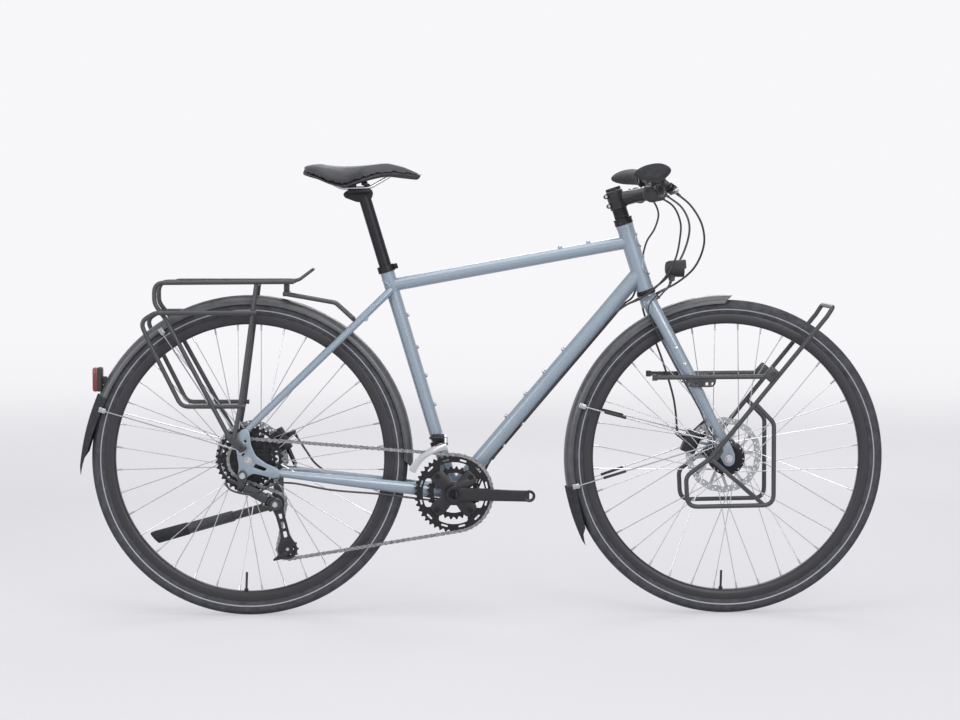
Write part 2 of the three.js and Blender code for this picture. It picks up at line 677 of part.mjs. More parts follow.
function makeLeftCrank() {
  const back = shell.halfWidth + shell.cupWidth + gap;
  const body = fuse(crankArm(1, crankAngle + 180, back),
    crossBar(bracket, arm.rootPlane - arm.rootThickness / 2, back + overrun, spindle.radius, 2 * rodSides));
  return cut(body, crossBar(bracket, arm.rootPlane - arm.rootThickness, shell.halfWidth, spindle.radius - spindle.wall,
    rodSides));
}

function makeBottomBracket() {
  const bore = around(spindle.radius, 2 * rodSides);
  const sleeve = shell.bore - gap;
  const start = shell.halfWidth + gap;
  const end = shell.halfWidth + shell.cupWidth;
  return turned(bracket, [
    [bore, -end], [shell.cupRadius, -end], [shell.cupRadius, -start], [sleeve, -start], [sleeve, start],
    [shell.cupRadius, start], [shell.cupRadius, end], [bore, end],
  ], 2 * rodSides);
}

// Wheels

function bothSides(half) {
  return [...half, ...half.map(([radius, y]) => [radius, -y]).reverse()];
}

function makeTyre(centre) {
  const { radius, halfWidth, sideDrop, tread } = tyre;
  const bead = [rim.outer + gap, rim.halfWidth];
  return turned(centre, bothSides([[radius, tread], [radius - sideDrop, halfWidth], bead]), wheelFacets);
}

function makeRim(centre) {
  return turned(centre, bothSides([[rim.outer, rim.halfWidth], [rim.inner, rim.innerHalf]]), wheelFacets);
}

function spokes(centre, hub) {
  const seat = rim.inner * Math.cos(Math.PI / wheelFacets) - gap;
  const perSide = spokeCount / 2;
  const step = 360 / perSide;
  const firstShare = 1 / 4;
  const bars = [];
  for (const side of [-1, 1]) {
    const flange = side < 0 ? hub.rightFlange : hub.leftFlange;
    for (let i = 0; i < perSide; i += 1) {
      const lean = i % 2 ? -1 : 1;
      const atRim = 90 + step * (i + (side < 0 ? firstShare : firstShare + 1 / 2));
      const atHub = atRim + lean * spokeCrosses * step;
      const start = polar(centre, hub.flangeRadius - spoke.bite, atHub, flange + lean * spoke.offset);
      const end = polar(centre, seat, atRim, side * spoke.rimOffset + lean * spoke.offset);
      bars.push(barBetween(start, end, spoke.radius, spoke.sides));
    }
  }
  return bars;
}

function makeRotor(centre, radius, plane) {
  const low = plane - rotor.thickness / 2;
  const band = cut(crossBar(centre, low, low + rotor.thickness, radius, 2 * hubFacets),
    crossBar(centre, low - overrun, low + rotor.thickness + overrun, radius - rotor.band, 2 * hubFacets));
  const arms = Array.from({ length: rotor.arms }, (_, i) => {
    const angle = (i * 360) / rotor.arms;
    const from = polar(centre, rotor.hub - rotor.armWidth, angle, plane);
    const to = polar(centre, radius - rotor.band / 2, angle + 360 / rotor.arms / 2, plane);
    const direction = to.clone().sub(from).normalize();
    return block(from.clone().lerp(to, 1 / 2), direction, left, direction.clone().cross(left),
      [from.distanceTo(to), rotor.thickness, rotor.armWidth]);
  });
  return [band, arms];
}

function flangeSteps(place, hub) {
  const half = hub.flangeWidth / 2;
  return [
    [hub.shell, place - half], [hub.flangeRadius, place - half], [hub.flangeRadius, place + half],
    [hub.shell, place + half],
  ];
}

function makeRearHub() {
  const bore = axle.radius + gap;
  const end = rearSpacing / 2 - gap;
  const body = turned(rearAxle, [
    [bore, rearHub.rightEnd], [rearHub.shell, rearHub.rightEnd], ...flangeSteps(rearHub.rightFlange, rearHub),
    ...flangeSteps(rearHub.leftFlange, rearHub), [rotor.hub, rearHub.rotorPlane - rotor.thickness],
    [rotor.hub, rearHub.rotorPlane + rotor.thickness], [rearHub.endRadius, end], [bore, end],
  ], hubFacets);
  return fuse(body, makeRotor(rearAxle, rotor.rear, rearHub.rotorPlane), spokes(rearAxle, rearHub));
}

function makeFrontHub() {
  const bore = axle.radius + gap;
  const end = frontSpacing / 2 - gap;
  const body = turned(frontAxle, [
    [bore, frontHub.rightEnd], [frontHub.endRadius, frontHub.rightEnd], [frontHub.capRadius, frontHub.capPlane],
    ...flangeSteps(frontHub.rightFlange, frontHub), ...flangeSteps(frontHub.leftFlange, frontHub),
    [rotor.hub, frontHub.rotorPlane - rotor.thickness], [rotor.hub, frontHub.rotorPlane + rotor.thickness],
    [frontHub.endRadius, end], [bore, end],
  ], hubFacets);
  return fuse(body, makeRotor(frontAxle, rotor.front, frontHub.rotorPlane), spokes(frontAxle, frontHub));
}

function makeAxle(centre, spacing, plateThickness) {
  const outer = spacing / 2 + plateThickness + gap;
  const nuts = [-1, 1].map((side) => crossBar(centre, side * outer, side * (outer + axle.nutWidth), axle.nut, rodSides));
  return fuse(crossBar(centre, -outer - axle.nutWidth, outer + axle.nutWidth, axle.radius, hubFacets), nuts);
}

// The dynamo's connector stays still between the hub and the fork
function makeFrontAxle() {
  const low = -frontSpacing / 2 + gap;
  const high = frontHub.rightEnd - gap;
  const shape = linkShape(flat(V(0, 0, 0)), flat(V(-connector.back, 0, connector.rise)), connector.radius, connector.radius / 2);
  return fuse(makeAxle(frontAxle, frontSpacing, forkEnd.thickness), sidePlate(shape, frontAxle, low, high));
}

// Frame

function makeFrame() {
  const headMiddle = (share) => headBottom.clone().lerp(headTop, share);
  const topJoint = along(seatTop, seatUp, -topTubeDrop);
  const tubes = [
    barBetween(bracket, seatTop, seatRadius, tubeSides),
    barBetween(headBottom, headTop, headTube.radius, 2 * rodSides),
    barBetween(topJoint, headMiddle(headShares.topTube), topTube.radius),
    barBetween(bracket, headMiddle(headShares.downTube), downTube.radius),
    crossBar(bracket, -shell.halfWidth, shell.halfWidth, shell.radius, 2 * rodSides),
  ];
  const sides = [-1, 1].map((side) => [stays(side), rearPlate(side)]);
  const bridgeAt = seatStayPoint(0, bridge.share, -bridge.ahead);
  const body = fuse(tubes, sides, crossBar(bridgeAt, -bridge.width, bridge.width, bridge.radius, rodSides),
    frameBosses(headMiddle), standBracket());
  const bores = [
    barBetween(along(headBottom, headUp, -overrun), along(headTop, headUp, overrun), headTube.bore, 2 * rodSides),
    crossBar(bracket, -shell.halfWidth - overrun, shell.halfWidth + overrun, shell.bore, 2 * rodSides),
    barBetween(along(seatTop, seatUp, -seatBoreDepth), along(seatTop, seatUp, overrun), post.radius + gap, tubeSides),
    crossBar(rearAxle, -rearSpacing, rearSpacing, axle.radius + gap, hubFacets),
    crossBar(hangerBolt, -rearSpacing, 0, around(hanger.boltRadius, rodSides), rodSides),
  ];
  return cut(body, bores);
}

const headShares = { topTube: 0.74, downTube: 0.27 };
const seatBoreDepth = 300;
const hangerBolt = V(rearAxle.x + hanger.x, 0, rearAxle.z + hanger.z);

function stays(side) {
  const seatFoot = V(rearAxle.x + seatStay.foot[0], side * seatStay.spread, rearAxle.z + seatStay.foot[1]);
  const seatHead = along(seatTop, seatUp, -seatStay.top).add(V(0, side * seatStay.topSpread, 0));
  const chainFoot = V(rearAxle.x + chainStay.foot[0], side * chainStay.spread, rearAxle.z + chainStay.foot[1]);
  const start = V(bracket.x - chainStay.start, side * chainStay.startSpread, bracket.z);
  const bend = V(bracket.x - chainStay.bendAt, side * chainStay.bendSpread, bracket.z + chainStay.bendRise);
  const middle = bend.clone().lerp(chainFoot, 1 / 2);
  const { halfWidth, halfHeight, endRadius } = chainStay;
  return [
    barBetween(seatFoot, seatHead, seatStay.radius),
    ovalTube([
      { at: start, across: halfWidth, deep: halfHeight }, { at: bend, across: halfWidth, deep: halfHeight },
      { at: middle, across: endRadius, deep: (halfHeight + endRadius) / 2 },
      { at: chainFoot, across: endRadius, deep: endRadius },
    ]),
  ];
}

// Rear dropout, in shares of its width and height, from the axle
const rightDropoutShares = [
  [-0.36, 0.53], [-0.16, 0.62], [0.04, 0.56], [0.1, 0.3], [0.26, 0.1], [0.6, -0.04], [1.08, -0.16], [1.12, -0.3],
  [0.9, -0.34], [0.4, -0.26], [0.14, -0.24], [-0.02, -0.3], [-0.1, -0.36], [-0.3, -0.37], [-0.38, -0.27],
  [-0.33, -0.1], [-0.4, 0.1], [-0.44, 0.36],
];
const leftDropoutShares = [
  [-0.36, 0.53], [-0.16, 0.62], [0.04, 0.56], [0.1, 0.3], [0.26, 0.1], [0.6, -0.04], [1.08, -0.16], [1.12, -0.3],
  [0.9, -0.34], [0.4, -0.26], [0.1, -0.2], [-0.22, -0.16], [-0.36, 0], [-0.42, 0.3],
];
const windowShares = [[-0.16, 0.11], [-0.14, 0.24]];

function rearPlate(side) {
  const inner = rearSpacing / 2;
  const [low, high] = side < 0 ? [-inner - dropout.thickness, -inner] : [inner, inner + dropout.thickness];
  const shape = shapeOf(side < 0 ? rightDropoutShares : leftDropoutShares, dropout.width, dropout.height);
  const windows = windowShares.map(([x, z]) => crossBar(
    V(rearAxle.x + x * dropout.width, 0, rearAxle.z + z * dropout.height), low - overrun, high + overrun,
    dropout.windowRadius, 4));
  return cut(sidePlate(shape, rearAxle, low, high), windows);
}

function frameBosses(headMiddle) {
  const downDirection = headMiddle(headShares.downTube).sub(bracket).normalize();
  const rows = [
    [bracket, seatUp, 1, bosses.seatTube, seatRadius, -1],
    [bracket, downDirection, 1, bosses.downTube, downTube.radius, 1],
  ];
  return rows.map(([from, direction, sense, places, radius, sideways]) => places.map((place) => {
    const seat = along(from, direction, sense * place);
    const outward = V(-direction.z, 0, direction.x).multiplyScalar(sideways);
    return barBetween(along(seat, outward, radius - boss.height), along(seat, outward, radius + boss.height), boss.radius,
      boss.sides);
  }));
}

const standPivot = V(rearAxle.x + stand.pivotX, stand.pivotY, rearAxle.z + stand.pivotZ);
const standAxis = V(...stand.axisShares).normalize();

// A plate below the left chain stay carries the boss that the stand's pin turns in
function standBracket() {
  const inner = rearSpacing / 2;
  const reach = V(0, 0, chainStay.foot[1] - stand.pivotZ);
  const shape = linkShape(flat(V(0, 0, 0)), flat(reach), stand.bracketWidth / 2, stand.bracketWidth / 2);
  const hub = barBetween(along(standPivot, standAxis, -stand.bossInner), along(standPivot, standAxis, stand.bossOuter),
    stand.headRadius, 2 * rodSides);
  return cut(fuse(sidePlate(shape, standPivot, inner, inner + stand.bracketThickness), hub),
    barBetween(along(standPivot, standAxis, -2 * stand.headRadius), along(standPivot, standAxis, 2 * stand.headRadius),
      around(stand.pinRadius, rodSides), rodSides));
}

function makeCollar() {
  const low = along(seatTop, seatUp, -collar.height / 2);
  const high = along(seatTop, seatUp, collar.height / 2);
  const forward = V(seatUp.z, 0, -seatUp.x);
  const ear = block(along(seatTop, forward, collar.radius), forward, left, seatUp, [collar.ear, collar.ear * 2, collar.ear]);
  const ring = barBetween(low, high, collar.radius, 2 * boss.sides);
  const wide = barBetween(along(low, seatUp, -overrun), along(seatTop, seatUp, gap), seatRadius + gap, tubeSides);
  const narrow = barBetween(seatTop, along(high, seatUp, overrun), post.radius + gap, tubeSides);
  return cut(fuse(ring, ear), wide, narrow);
}

// Headset cups stand on the ends of the head tube with a skirt inside it
function makeCup(end, direction, radius, height) {
  const sides = 2 * rodSides;
  const skirt = [around(steerer.radius, sides), headTube.bore * Math.cos(Math.PI / sides) - gap];
  const profile = [
    [skirt[0], -headset.skirt], [skirt[1], -headset.skirt], [skirt[1], gap], [headTube.radius, gap],
    [radius, height - gap], [skirt[0], height - gap],
  ];
  const corners = [...profile, profile[0]].map(([r, y]) => new THREE.Vector2(r, y));
  const geometry = new THREE.LatheGeometry(corners, sides);
  const turn = new THREE.Quaternion().setFromUnitVectors(left, direction);
  geometry.applyMatrix4(new THREE.Matrix4().compose(end, turn, V(1, 1, 1)));
  return solid(geometry);
}

// Fork and cockpit

function makeFork() {
  const tube = barBetween(crownRace, along(headTop, headUp, steerer.top), steerer.radius, 2 * rodSides);
  const crownLow = along(crownRace, headUp, -crown.height);
  const crownBody = barBetween(crownLow, crownRace, crown.radius, 2 * rodSides);
  const shoulder = along(crownRace, headUp, -crown.height / 2);
  const yoke = loft([-1, 0, 1].map((side) => {
    const centre = along(shoulder, headUp, side ? -crown.drop / 2 : 0).add(V(0, side * crown.spread, 0));
    return Array.from({ length: rodSides }, (_, i) => {
      const angle = ((i + 1 / 2) / rodSides) * 2 * Math.PI;
      return along(along(centre, headForward, crown.halfDepth * Math.cos(angle)), headUp,
        (crown.height / 2) * Math.sin(angle));
    });
  }));
  const sides = [-1, 1].map((side) => [forkBlade(side, shoulder), forkTip(side)]);
  const axleHole = crossBar(frontAxle, -frontSpacing, frontSpacing, axle.radius + gap, hubFacets);
  return cut(fuse(tube, crownBody, yoke, sides), axleHole);
}

function forkBlade(side, shoulder) {
  const top = along(shoulder, headUp, -crown.drop / 2).add(V(0, side * crown.spread, 0));
  const end = V(frontAxle.x - forkEnd.width / 3, side * (frontSpacing / 2 + forkEnd.thickness / 2), frontAxle.z + blade.tipAbove);
  const middle = top.clone().lerp(end, blade.bend);
  middle.y = side * blade.spread;
  return ovalTube([
    { at: along(top, headUp, crown.drop / 2), across: blade.topHalf, deep: blade.topDepth },
    { at: middle, across: blade.topHalf, deep: blade.topDepth },
    { at: end, across: blade.endRadius, deep: blade.endRadius },
  ]);
}

const forkEndShares = [
  [-0.62, 0.86], [-0.2, 0.92], [0.16, 0.5], [0.4, 0.16], [0.38, -0.16], [0.1, -0.3], [-0.24, -0.26], [-0.5, 0],
  [-0.76, 0.3], [-0.98, 0.5], [-0.9, 0.72],
];

function forkTip(side) {
  const inner = frontSpacing / 2;
  const [low, high] = side < 0 ? [-inner - forkEnd.thickness, -inner] : [inner, inner + forkEnd.thickness];
  return sidePlate(shapeOf(forkEndShares, forkEnd.width, forkEnd.height), frontAxle, low, high);
}

const stemCentre = along(headTop, headUp, steerer.top - stem.clampHeight / 2 - stem.capHeight);
const stemDirection = V(Math.cos(rad(stem.angle)), 0, Math.sin(rad(stem.angle)));
const barCentre = along(stemCentre, stemDirection, stem.length);

function makeStem() {
  const bore = steerer.radius + gap;
  const low = along(stemCentre, headUp, -stem.clampHeight / 2);
  const high = along(stemCentre, headUp, stem.clampHeight / 2);
  const seat = along(headTop, headUp, headset.upperHeight);
  const top = along(headTop, headUp, steerer.top + gap);
  const outside = fuse(
    barBetween(low, high, stem.clampRadius, 2 * rodSides),
    barBetween(seat, along(low, headUp, overrun), stem.spacerRadius, 2 * rodSides),
    barBetween(along(high, headUp, -stem.capHeight), along(top, headUp, stem.capHeight), stem.capRadius, 2 * rodSides),
    barBetween(stemCentre, barCentre, stem.tubeRadius),
    crossBar(barCentre, -stem.barClampHalf, stem.barClampHalf, stem.barClampRadius, 2 * rodSides));
  return cut(outside,
    barBetween(along(seat, headUp, -overrun), top, bore, 2 * rodSides),
    crossBar(barCentre, -stem.barClampHalf - overrun, stem.barClampHalf + overrun,
      around(bar.clampRadius, 2 * rodSides), 2 * rodSides));
}

// The bar's centre line at a distance from its middle
function barPlace(distance) {
  const side = Math.sign(distance);
  const reach = Math.abs(distance);
  const share = THREE.MathUtils.smoothstep(reach, bar.bendStart, bar.bendEnd);
  const beyond = Math.max(reach - bar.bendStart, 0);
  return V(barCentre.x - beyond * Math.tan(rad(bar.sweep)) * share, side * reach,
    barCentre.z + bar.rise * share + beyond * Math.tan(rad(bar.upsweep)) * share);
}

function makeBar() {
  const half = [[0, bar.clampRadius], [bar.bulgeHalf, bar.clampRadius], [bar.taperEnd, bar.radius],
    [(bar.taperEnd + bar.bendEnd) / 2, bar.radius], [bar.bendEnd, bar.radius], [bar.halfWidth, bar.radius]];
  const stations = [...half.slice(1).map(([y, r]) => [-y, r]).reverse(), ...half];
  const route = new Route(stations.map(([y]) => barPlace(y)));
  const last = stations.length - 1;
  return loft(stations.map(([y, r], i) => sectionAcross(barPlace(y), route.getTangentAt(i / last), r, tubeSides)));
}

// A round section square to a crosswise direction
function sectionAcross(centre, direction, radius, sides) {
  const deep = V(1, 0, 0).addScaledVector(direction, -direction.x).normalize();
  const high = deep.clone().cross(direction).normalize();
  return Array.from({ length: sides }, (_, i) => {
    const angle = (i / sides) * 2 * Math.PI;
    return along(along(centre, deep, radius * Math.cos(angle)), high, radius * Math.sin(angle));
  });
}

// The space that the bar takes between two places, with its clearance
function barSpace(from, to) {
  const ends = [barPlace(Math.min(from, to)), barPlace(Math.max(from, to))];
  const direction = ends[1].clone().sub(ends[0]).normalize();
  return loft(ends.map((end) => sectionAcross(end, direction, bar.radius + gap, tubeSides)));
}

// A winged grip: round at its neck, wide and flat at its outer end, bored for the bar
function makeGrip(side) {
  const end = bar.halfWidth + grip.wall;
  const shares = [[0, 0], [0.25, 0.15], [0.6, 0.75], [0.85, 1], [0.97, 0.92], [1, 0.7]];
  const direction = barPlace(side * bar.halfWidth).sub(barPlace(side * bar.bendEnd)).normalize();
  const tilt = rad(grip.tilt);
  const forward = V(Math.cos(tilt), 0, Math.sin(tilt));
  const high = V(-Math.sin(tilt), 0, Math.cos(tilt));
  const sections = shares.map(([at, wing]) => {
    const centre = along(barPlace(side * bar.halfWidth), direction, end - bar.halfWidth - grip.length * (1 - at));
    return Array.from({ length: 2 * rodSides }, (_, i) => {
      const angle = (i / (2 * rodSides)) * 2 * Math.PI;
      const [x, z] = [Math.cos(angle), Math.sin(angle)];
      const reach = x < 0 ? grip.wingBack : grip.wingFront;
      const deep = THREE.MathUtils.lerp(grip.neck, reach, wing) * Math.sign(x) * Math.abs(x) ** (1 - wing / 6);
      const tall = THREE.MathUtils.lerp(grip.neck, grip.height, wing) * z * (1 - (wing * x * x) / 5);
      return along(along(centre, forward, deep), high, tall);
    });
  });
  const bore = barSpace(side * (bar.halfWidth - grip.length - overrun), side * (bar.halfWidth + gap));
  return cut(loft(sections), bore);
}

const gripStart = bar.halfWidth + grip.wall - grip.length;
const perchInner = gripStart - perch.fromGrip;
const podMiddle = perchInner - pod.inward + pod.width / 2;
const podDirection = V(Math.cos(rad(-42)), 0, Math.sin(rad(-42)));
const podNormal = V(-podDirection.z, 0, podDirection.x);
const leverPivot = (side) => along(along(barPlace(side * perchInner), podDirection, perch.armLength),
  podNormal, 0);

// Clamp ring, lever arm and shifter pod as one body
function makeControl(side) {
  const centre = barPlace(side * (perchInner + perch.width / 2));
  const direction = barPlace(side * (perchInner + perch.width)).sub(barPlace(side * perchInner)).normalize();
  const ringBody = barBetween(along(centre, direction, -perch.width / 2), along(centre, direction, perch.width / 2),
    perch.radius, tubeSides);
  const pivot = leverPivot(side);
  const armBody = block(along(centre, podDirection, perch.armLength / 2), podDirection, left, podNormal,
    [perch.armLength, perch.width, perch.armHeight]);
  const holder = barBetween(along(pivot, podNormal, -perch.armHeight / 2), along(pivot, podNormal, perch.armHeight / 2),
    perch.width / 2, rodSides);
  const below = along(along(barPlace(side * podMiddle), podNormal, -perch.drop), podDirection,
    pod.length / 4);
  const podBody = loft([-1, 1].map((sense) => podShares.map(([x, z]) => along(along(
    V(below.x, below.y + (sense * pod.width) / 2, below.z), podDirection, x * pod.length), podNormal, z * pod.height))));
  const neck = block(along(centre, podNormal, -perch.drop / 2), podDirection, left, podNormal,
    [perch.width, perch.width, perch.drop]);
  const body = fuse(ringBody, armBody, holder, neck, podBody);
  return cut(body, barSpace(side * (perchInner - perch.width), side * (perchInner + 2 * perch.width)));
}

const podShares = [
  [-0.5, 0.3], [-0.3, 0.5], [0.3, 0.5], [0.56, 0.16], [0.56, -0.2], [0.3, -0.5], [-0.2, -0.5], [-0.5, -0.1],
];

function makeLever(side) {
  const pivot = leverPivot(side);
  const forkGap = perch.armHeight / 2 + gap;
  const start = along(pivot, left, 0);
  const route = [
    start, V(pivot.x + lever.depth, pivot.y + side * lever.reach * 0.35, pivot.z - lever.drop * 0.3),
    V(pivot.x + lever.depth, pivot.y + side * lever.reach, pivot.z - lever.drop * 0.55),
    V(pivot.x - lever.depth * 0.4, pivot.y + side * lever.length, pivot.z - lever.drop * 0.7),
  ];
  const outward = along(route[1], podNormal, -route[1].clone().sub(pivot).dot(podNormal)).sub(pivot).normalize();
  const square = podNormal.clone().cross(outward);
  const { cheek, cheekLength, cheekWidth } = lever;
  const cheeks = [-1, 1].map((sense) => block(along(along(pivot, outward, cheekLength / 2 - lever.pivotRadius), podNormal,
    sense * (forkGap + cheek / 2)), outward, square, podNormal, [cheekLength, cheekWidth, cheek]));
  const web = block(along(pivot, outward, cheekLength - lever.pivotRadius - cheek), outward, square, podNormal,
    [2 * cheek, cheekWidth, 2 * (forkGap + cheek)]);
  const bladeBody = leverBlade(route.slice(1), side);
  return fuse(cheeks, web, bladeBody);
}

function leverBlade(route, side) {
  return loft(route.map((centre, i) => {
    const tall = (lever.height / 2) * (i === 0 ? 1.3 : 1);
    const deep = lever.depth / 2;
    const corners = [[-1, -0.6], [-0.6, -1], [0.6, -1], [1, -0.6], [1, 0.6], [0.6, 1], [-0.6, 1], [-1, 0.6]];
    return corners.map(([x, z]) => along(along(centre, podDirection, x * deep), podNormal, z * tall));
  }));
}

// The thumb paddle turns at its narrow root, beside the pod
function makePaddle(side) {
  const root = paddleRoot(side);
  const tip = along(along(root, left, side * paddle.length), podDirection, -paddle.length / 3);
  return loft(paddleShares.map(([share, width]) => {
    const centre = root.clone().lerp(tip, share);
    const [half, thin] = [(paddle.width / 2) * width, paddle.thickness / 2];
    return [[-1, -1], [1, -1], [1, 1], [-1, 1]].map(([d, n]) =>
      along(along(centre, podDirection, d * half), podNormal, n * thin));
  }));
}

const paddleShares = [[0, 0.2], [0.3, 1], [1, 0.6]];
const paddleRoot = (side) => along(along(barPlace(side * podMiddle), podNormal, -perch.drop), left,
  side * (pod.width / 2 + gap));

// Seat

function makePost() {
  const low = along(seatTop, seatUp, -post.insertion);
  const high = along(seatTop, seatUp, post.top);
  const tube = barBetween(low, high, post.radius, tubeSides);
  const head = crossBar(high, -post.headHalf, post.headHalf, post.headRadius, 2 * rodSides);
  const cradleAt = along(high, up, post.headRadius + rails.radius / 2);
  const cradle = block(cradleAt, V(1, 0, 0), left, up,
    [post.headRadius * 4, (rails.midSpread + rails.radius) * 2 + overrun, post.headRadius * 0.8]);
  const capBlock = block(along(cradleAt, up, post.headRadius * 0.75), V(1, 0, 0), left, up,
    [post.headRadius * 2.6, (rails.midSpread + rails.radius) * 2, post.headRadius * 0.7]);
  return cut(fuse(tube, head, cradle, capBlock), railRods(rails.radius + gap));
}

const railHeight = post.headRadius + rails.radius + rails.lift;
const railBase = along(seatTop, seatUp, post.top);
const railShares = [[0.247, 0.589], [0.04, 0], [-0.19, -0.0536], [-0.34, 0.357]];

function railRoute(side) {
  const spreads = [rails.noseSpread, rails.midSpread, rails.midSpread, rails.tailSpread];
  return railShares.map(([x, z], i) => V(railBase.x + x * saddle.length, side * spreads[i],
    railBase.z + railHeight + z * saddle.height));
}

function railRods(radius) {
  const right = railRoute(-1);
  const both = [...right.slice().reverse(), ...railRoute(1)];
  return [rod(rounded(both, rails.midSpread, 2), radius, rodSides)];
}

const saddleStations = [
  { x: 0, half: 0.3, top: 0.9, low: 0.66 }, { x: 0.03, half: 0.62, top: 0.96, low: 0.5 },
  { x: 0.12, half: 0.93, top: 0.93, low: 0.36 }, { x: 0.22, half: 1, top: 0.86, low: 0.16 },
  { x: 0.33, half: 0.9, top: 0.82, low: 0.02 }, { x: 0.45, half: 0.68, top: 0.84, low: 0.2 },
  { x: 0.57, half: 0.46, top: 0.9, low: 0.38 }, { x: 0.7, half: 0.32, top: 0.94, low: 0.5 },
  { x: 0.83, half: 0.26, top: 0.9, low: 0.48 }, { x: 0.94, half: 0.22, top: 0.74, low: 0.42 },
  { x: 1, half: 0.12, top: 0.6, low: 0.45 },
];

// The saddle's crown falls to its edges, and its skirt is drawn in below
function makeSaddle() {
  const corners = 18;
  const base = railBase.z + railHeight + saddle.aboveRails;
  const cover = loft(saddleStations.map(({ x, half, top, low }) => {
    const [high, bottom] = [base + top * saddle.height, base + low * saddle.height];
    const middle = bottom + (high - bottom) * 0.55;
    return Array.from({ length: corners }, (_, i) => {
      const angle = (i / corners) * 2 * Math.PI;
      const [y, z] = [Math.cos(angle), Math.sin(angle)];
      const width = half * saddle.halfWidth * Math.sign(y) * Math.abs(y) ** 0.8 * (z < 0 ? 0.93 : 1);
      const height = z > 0 ? (high - middle) * z ** 0.9 : (middle - bottom) * z * (1 - 0.25 * (1 - y * y));
      return V(railBase.x - saddle.behind + x * saddle.length, width, middle + height);
    });
  }));
  return cut(cover, railRods(rails.radius + 2 * gap));
}

// Rear derailleur

const linkAngle = -29.2;
const linkDirection = V(Math.cos(rad(linkAngle)), 0, Math.sin(rad(linkAngle)));
const pivotDirection = V(-linkDirection.z, 0, linkDirection.x);
const lowerPivot = along(knee, linkDirection, -22);
const upperPivot = along(lowerPivot, linkDirection, -derailleur.linkLength);

function clevis(origin, sense, outwardReach) {
  const { outerPlane, innerPlane, linkThickness, linkHeight, earThickness } = derailleur;
  const middle = (outerPlane + innerPlane) / 2;
  const width = innerPlane - outerPlane;
  const core = block(along(V(origin.x, middle, origin.z), linkDirection, sense * (outwardReach / 2 + 2)), linkDirection,
    left, pivotDirection, [outwardReach, width - linkThickness - 2 * gap, linkHeight]);
  const ears = [-1, 1].map((hand) => block(
    along(along(V(origin.x, middle, origin.z), linkDirection, sense * (outwardReach / 2 - 3)), pivotDirection,
      hand * (linkHeight / 2 + earThickness / 2 + gap)), linkDirection, left, pivotDirection,
    [outwardReach + 6, width + linkThickness, earThickness]));
  const web = block(along(V(origin.x, middle, origin.z), linkDirection, sense * (outwardReach - 1)), linkDirection,
    left, pivotDirection, [6, width - linkThickness, linkHeight + 2 * earThickness]);
  return [core, ears, web];
}

function makeKnuckle() {
  const outerFace = -rearSpacing / 2 - dropout.thickness - gap;
  const thick = derailleur.boltHead;
  const plate = sidePlate(linkShape(flat(V(0, 0, 0)), flat(along(upperPivot, linkDirection, -8).sub(hangerBolt)),
    hanger.radius, hanger.radius - 2), hangerBolt, outerFace - thick, outerFace);
  const bolt = crossBar(hangerBolt, outerFace - thick - 2, -rearSpacing / 2 + 1, hanger.boltRadius, rodSides);
  const adjuster = barBetween(along(V(upperPivot.x, outerFace - 5, upperPivot.z), linkDirection, -10),
    along(V(upperPivot.x, outerFace - 5, upperPivot.z), linkDirection, -44), 4, rodSides);
  const hangerSpace = block(V(hangerBolt.x, -rearSpacing / 2 + overrun, hangerBolt.z + overrun), V(1, 0, 0), left, up,
    [4 * hanger.radius, 2 * (dropout.thickness + overrun + gap), 2 * (hanger.radius + overrun + hanger.relief)]);
  return fuse(cut(fuse(clevis(upperPivot, -1, 13)), hangerSpace), plate, bolt, adjuster);
}

function makeLink(plane) {
  const half = derailleur.linkThickness / 2;
  const steps = 4;
  const outline = [];
  for (const [centre, start] of [[0, Math.PI / 2], [derailleur.linkLength, -Math.PI / 2]]) {
    for (let i = 0; i <= steps; i += 1) {
      const angle = start + (i / steps) * Math.PI;
      outline.push([centre + half * Math.cos(angle), half * Math.sin(angle)]);
    }
  }
  return loft([-1, 1].map((sense) => outline.map(([s, d]) => along(along(V(upperPivot.x, plane + d, upperPivot.z),
    linkDirection, s), pivotDirection, (sense * derailleur.linkHeight) / 2))));
}

function makeKnee() {
  const { kneeRadius, kneeWall, cagePlane, outerPlane } = derailleur;
  const body = fuse(clevis(lowerPivot, 1, 12),
    crossBar(knee, outerPlane, cagePlane - gap, kneeRadius, 2 * rodSides));
  return cut(body, crossBar(knee, outerPlane + kneeWall, cagePlane + overrun, around(hanger.boltRadius, rodSides), rodSides));
}

function makeCage() {
  const { plate, cagePlane, pin } = derailleur;
  const innerPlane = 2 * drivenPlane - cagePlane;
  const reach = tensionCentre.clone().sub(knee);
  const outline = (scale) => linkShape(flat(V(0, 0, 0)), flat(reach), cageShape.topRadius * scale, cageShape.endRadius * 0.86);
  const slots = Array.from({ length: cageShape.slots }, (_, i) => {
    const at = knee.clone().lerp(tensionCentre, 0.26 + 0.18 * i);
    return crossBar(at, -rearSpacing, 0, cageShape.waist / 2, rodSides);
  });
  const plates = [
    cut(sidePlate(outline(1), knee, cagePlane, cagePlane + plate), slots),
    cut(sidePlate(outline(0.8), knee, innerPlane - plate, innerPlane), slots),
  ];
  const pins = [knee, tensionCentre].map((centre) => crossBar(centre, cagePlane, innerPlane, pin, rodSides));
  const shaft = crossBar(knee, derailleur.outerPlane + derailleur.kneeWall + gap, cagePlane + plate, hanger.boltRadius, rodSides);
  const tail = barBetween(along(V(tensionCentre.x, cagePlane + plate / 2, tensionCentre.z), V(-0.7, 0, -0.7), 12),
    along(V(tensionCentre.x, cagePlane + plate / 2, tensionCentre.z), V(-0.7, 0, -0.7), 30), plate / 2, 4);
  return fuse(plates, pins, shaft, tail);
}

